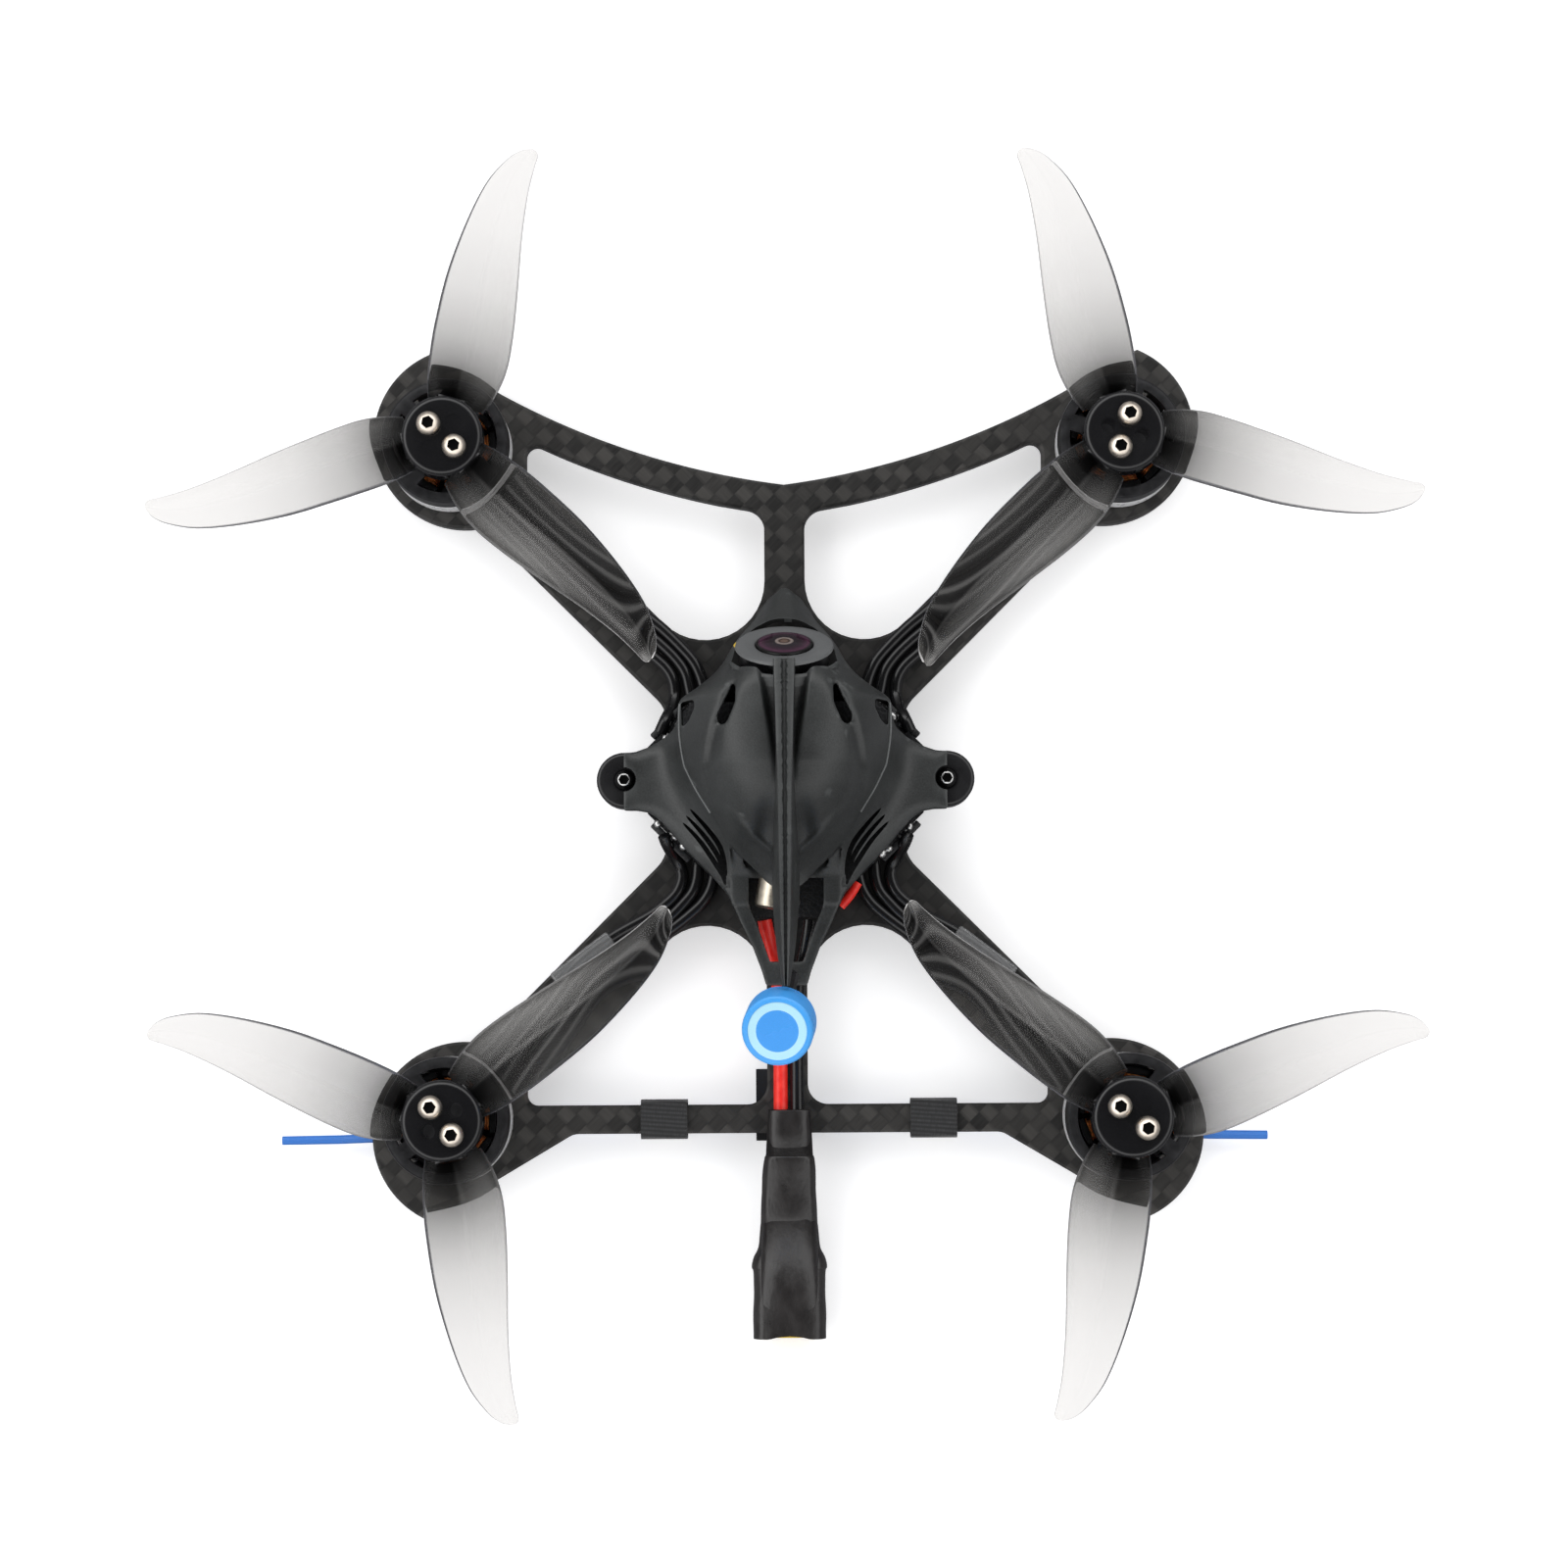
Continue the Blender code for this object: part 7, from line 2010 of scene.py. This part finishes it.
@dataclass
class Looms:
    """The three motor wires that run along each arm, routes in millimetres for the right side."""

    radius: float = 0.00092
    sleeve_feet: tuple[Point2, Point2] = ((0.0259, -0.0230), (0.0250, -0.0224))
    sleeve_size: Point3 = (0.0105, 0.0023, 0.0022)
    sleeve_turn: float = math.radians(-37)
    front: tuple[tuple[Point2, ...], ...] = (
        ((41.6, 44.0), (38.8, 41.4), (33.5, 36.6), (28.0, 31.6), (21.9, 25.8), (18.5, 23.0), (15.9, 20.5),
         (13.7, 18.0), (12.6, 15.8), (12.0, 13.6), (11.4, 11.4), (10.8, 9.4)),
        ((42.9, 42.9), (40.1, 40.1), (34.9, 35.2), (29.2, 30.0), (21.7, 23.3), (18.4, 20.5), (16.2, 18.3),
         (14.8, 16.2), (14.2, 13.8), (13.8, 11.8), (13.0, 9.8), (12.2, 8.0)),
        ((44.0, 41.6), (41.4, 38.8), (36.2, 33.8), (30.7, 28.4), (22.9, 21.6), (19.9, 19.0), (17.7, 17.0),
         (16.6, 15.0), (16.4, 12.7), (16.9, 10.6), (17.6, 8.8), (18.4, 7.0)))
    rear: tuple[tuple[Point2, ...], ...] = (
        ((44.0, -41.6), (41.4, -38.8), (36.6, -33.2), (31.4, -27.2), (25.9, -23.0), (20.2, -19.8),
         (17.9, -18.1), (16.2, -16.4), (15.4, -14.4), (15.6, -12.8), (16.5, -11.2), (17.5, -9.3),
         (17.9, -8.2)),
        ((42.9, -42.9), (40.1, -40.1), (35.0, -34.9), (29.6, -29.2), (24.0, -25.0), (19.1, -21.5),
         (17.1, -19.9), (15.5, -18.3), (13.9, -16.4), (13.2, -14.4), (13.0, -12.2), (12.6, -9.8)),
        ((41.6, -44.0), (38.8, -41.4), (33.6, -36.4), (28.4, -30.9), (23.0, -26.6), (18.2, -22.7),
         (16.2, -21.2), (14.2, -19.6), (12.4, -17.9), (11.2, -15.9), (10.6, -13.4), (10.3, -11.0)))

    def build(self, finishes: Finishes) -> None:
        """Lay the wires of the four arms."""
        for rotor in ROTORS:
            wires = []
            ahead = rotor.side_y > 0
            for k, route in enumerate(self.front if ahead else self.rear):
                outer = k == (2 if ahead else 0)
                points = [(rotor.side_x * x * 0.001, y * 0.001, self.height(x + abs(y), outer))
                          for x, y in route]
                wires.append(Bench.smooth(Bench.tube("loom_wire", smooth_rows(points, 6), self.radius, 6),
                                          60))
            loom = Bench.join("loom_" + rotor.name, wires)
            settle(loom, finishes.black_wire, "airframe", "black_silicone", "motor_wires_" + rotor.name)
        self.sleeves(finishes)

    def height(self, out: float, outer: bool) -> float:
        """Return a wire's height: it runs under the board, or the outer one rises onto the board's edge."""
        low, high = LAYOUT.seat + self.radius, LAYOUT.board_top + self.radius
        share = min(max((28.4 - out) / 2.2, 0.0), 1.0) if outer else 0.0
        return low + (high - low) * share * share * (3 - 2 * share)

    def sleeves(self, finishes: Finishes) -> None:
        """Lay a clear sleeve beside the wires on each rear arm."""
        long, wide, tall = self.sleeve_size
        for name, side, (x, y) in (("left", -1, self.sleeve_feet[0]), ("right", 1, self.sleeve_feet[1])):
            sleeve = Bench.block("clear_sleeve_" + name, (0, -wide / 2, 0), (long, wide / 2, tall), 0.0004,
                                 3)
            turn = Matrix.Diagonal((side, 1, 1, 1)) @ Matrix.Translation((x, y, LAYOUT.seat))
            Bench.move(sleeve, turn @ Matrix.Rotation(self.sleeve_turn, 4, "Z"))
            settle(Bench.smooth(Bench.sew(sleeve), 40), finishes.clear, "airframe", "smoke_polycarbonate")


@dataclass
class Boards:
    """Flight controller and the boards above it, their posts, the ear blocks and their screws."""

    ear_inner: float = 0.0211
    ear_radius: float = 0.0041
    edge_line: float = 0.0260
    edge_front: Point2 = (0.0196, 0.0150)
    edge_rear: Point2 = (0.0196, 0.0142)
    pads: tuple[Point2, ...] = (
        (-15.8, 8.0), (-17.6, 6.4), (15.9, 9.2), (17.3, 8.0), (-18.8, -6.3), (-16.6, -8.2), (-15.1, -9.7),
        (18.2, -7.0), (17.2, -8.4), (15.1, -10.3), (14.1, -10.9))
    pad_radius: float = 0.00062
    can: tuple[Point2, ...] = (
        (0, 0), (1.9, 0), (2.2, 0.06), (2.5, 0.3), (2.6, 0.7), (2.6, 4.2), (2.42, 4.45), (2.42, 4.65),
        (2.6, 4.9), (2.6, 5.6), (2.45, 5.9), (2.2, 6.0), (0, 6.0))
    can_foot: Point3 = (-0.0021, -0.0192, 0.0138)
    can_turn: float = math.radians(-10)
    leads: tuple[tuple[Point3, ...], ...] = (
        ((10.5, -15.2, 9.2), (9.8, -16.4, 9.3), (9.0, -17.5, 9.2), (8.0, -18.6, 9.0)),)

    def edges(self, finishes: Finishes) -> None:
        """Model the board's solder edges, with a drop of solder on each pad."""
        bars = []
        for side_x in (-1, 1):
            for side_y, (start, end) in ((1, self.edge_front), (-1, self.edge_rear)):
                a = Vector((side_x * start, side_y * (self.edge_line - start), 0))
                b = Vector((side_x * end, side_y * (self.edge_line - end), 0))
                long = (b - a).length / 2
                bar = Bench.block("board_edge", (-long, -0.00052, LAYOUT.board_bottom),
                                  (long, 0.00052, LAYOUT.board_top), 0.0002)
                turn = Matrix.Rotation(math.atan2(b.y - a.y, b.x - a.x), 4, "Z")
                bars.append(Bench.move(bar, Matrix.Translation((a + b) / 2) @ turn))
        settle(Bench.smooth(Bench.join("board_edges", bars), 40), finishes.board, "airframe", "board")
        r = self.pad_radius
        dome = [(0, 0.9 * r), (0.35 * r, 0.84 * r), (0.7 * r, 0.6 * r), (0.93 * r, 0.28 * r), (r, 0),
                (0, -0.1 * r)]
        drop = Bench.smooth(Bench.lathe("drop", dome, 20), 60)
        drops = []
        for i, (x, y) in enumerate(self.pads):
            stretch = Matrix.Diagonal((1.0 + 0.35 * (i % 3) / 2, 1.0 - 0.2 * (i % 2), 1, 1))
            spot = Matrix.Translation((x * 0.001, y * 0.001, LAYOUT.board_top))
            turn = Matrix.Rotation(i * 1.1, 4, "Z")
            drops.append(Bench.copy(drop, f"solder_drop_{i}", spot @ turn @ stretch))
        Bench.drop(drop)
        settle(Bench.join("solder_drops", drops), finishes.solder, "airframe", "screw_steel")
        tubes = [Bench.tube("lead", [tuple(0.001 * part for part in point)
                                     for point in smooth_rows(route, 6)], 0.0007)
                 for route in self.leads]
        settle(Bench.smooth(Bench.join("board_leads", tubes), 60), finishes.red_wire, "airframe",
               "red_silicone")

    def ear(self, name: str, side: int, finishes: Finishes) -> None:
        """Mould one ear block with rounded edges and turn its screw."""
        arc = [math.pi * (0.5 - i / 28) for i in range(29)]
        points = [(self.ear_inner, self.ear_radius)]
        points += [(LAYOUT.ear + self.ear_radius * math.cos(a), self.ear_radius * math.sin(a)) for a in arc]
        points.append((self.ear_inner, -self.ear_radius))
        hole = ring_points(LAYOUT.ear, 0, 0.0012, 24)
        block = Bench.plate("ear_" + name, [on_side(points, side), on_side(hole, side)], LAYOUT.seat,
                            LAYOUT.rim - LAYOUT.fit, 0.0006, 3)
        settle(Bench.smooth(block, 40), finishes.black_plastic, "airframe", "black_plastic",
               "ear_block_" + name)
        screw = button_screw("canopy_bolt_" + name, 0.0014, 0.0014, 0.0009, 0.0080, 0.0008)
        # The socket takes the near-black inside finish as painted shade; the ring round it takes the bright
        # solder finish.
        ring_faces(screw, (finishes.black_steel, finishes.inside, finishes.solder), (0.00079, 0.00098),
                   0.0001)
        Bench.move(screw, Matrix.Translation((side * LAYOUT.ear, 0, LAYOUT.rim)))
        settle(screw, finishes.black_steel, "airframe", "black_steel", "canopy_screw_" + name)

    def build(self, finishes: Finishes) -> None:
        """Dress the boards, turn the capacitor and set the ears."""
        for name in ("flight_controller", "video_transmitter", "receiver"):
            repaint(name, finishes.board)
        for name in ("right", "front", "left", "rear"):
            repaint("board_post_" + name, finishes.rubber)
        can = Bench.lathe("capacitor_can", [(r * 0.001, z * 0.001) for r, z in self.can], 56)
        lay = Matrix.Rotation(-math.pi / 2, 4, "X")
        Bench.move(can, Matrix.Translation(self.can_foot) @ Matrix.Rotation(self.can_turn, 4, "Z") @ lay)
        settle(Bench.smooth(can, 35), finishes.silver, "airframe", "capacitor_can", "capacitor")
        self.edges(finishes)
        repaint("camera_body", finishes.black_plastic)
        for name, side in (("left", -1), ("right", 1)):
            repaint("camera_pin_" + name, finishes.screw)
            self.ear(name, side, finishes)


def main() -> None:
    """Build the studio and every sub-assembly."""
    logging.basicConfig(level=logging.INFO, format="%(message)s")
    Studio().build()
    finishes = Finishes()
    PowerLead().build(finishes)
    Airframe().build(finishes)
    Rotors(Motor(), Propeller()).build(finishes)
    Canopy().build(finishes)
    Camera().build(finishes)
    Boards().build(finishes)
    Antennas().build(finishes)
    Looms().build(finishes)
    Bench.clear()


if __name__ == "__main__":
    main()
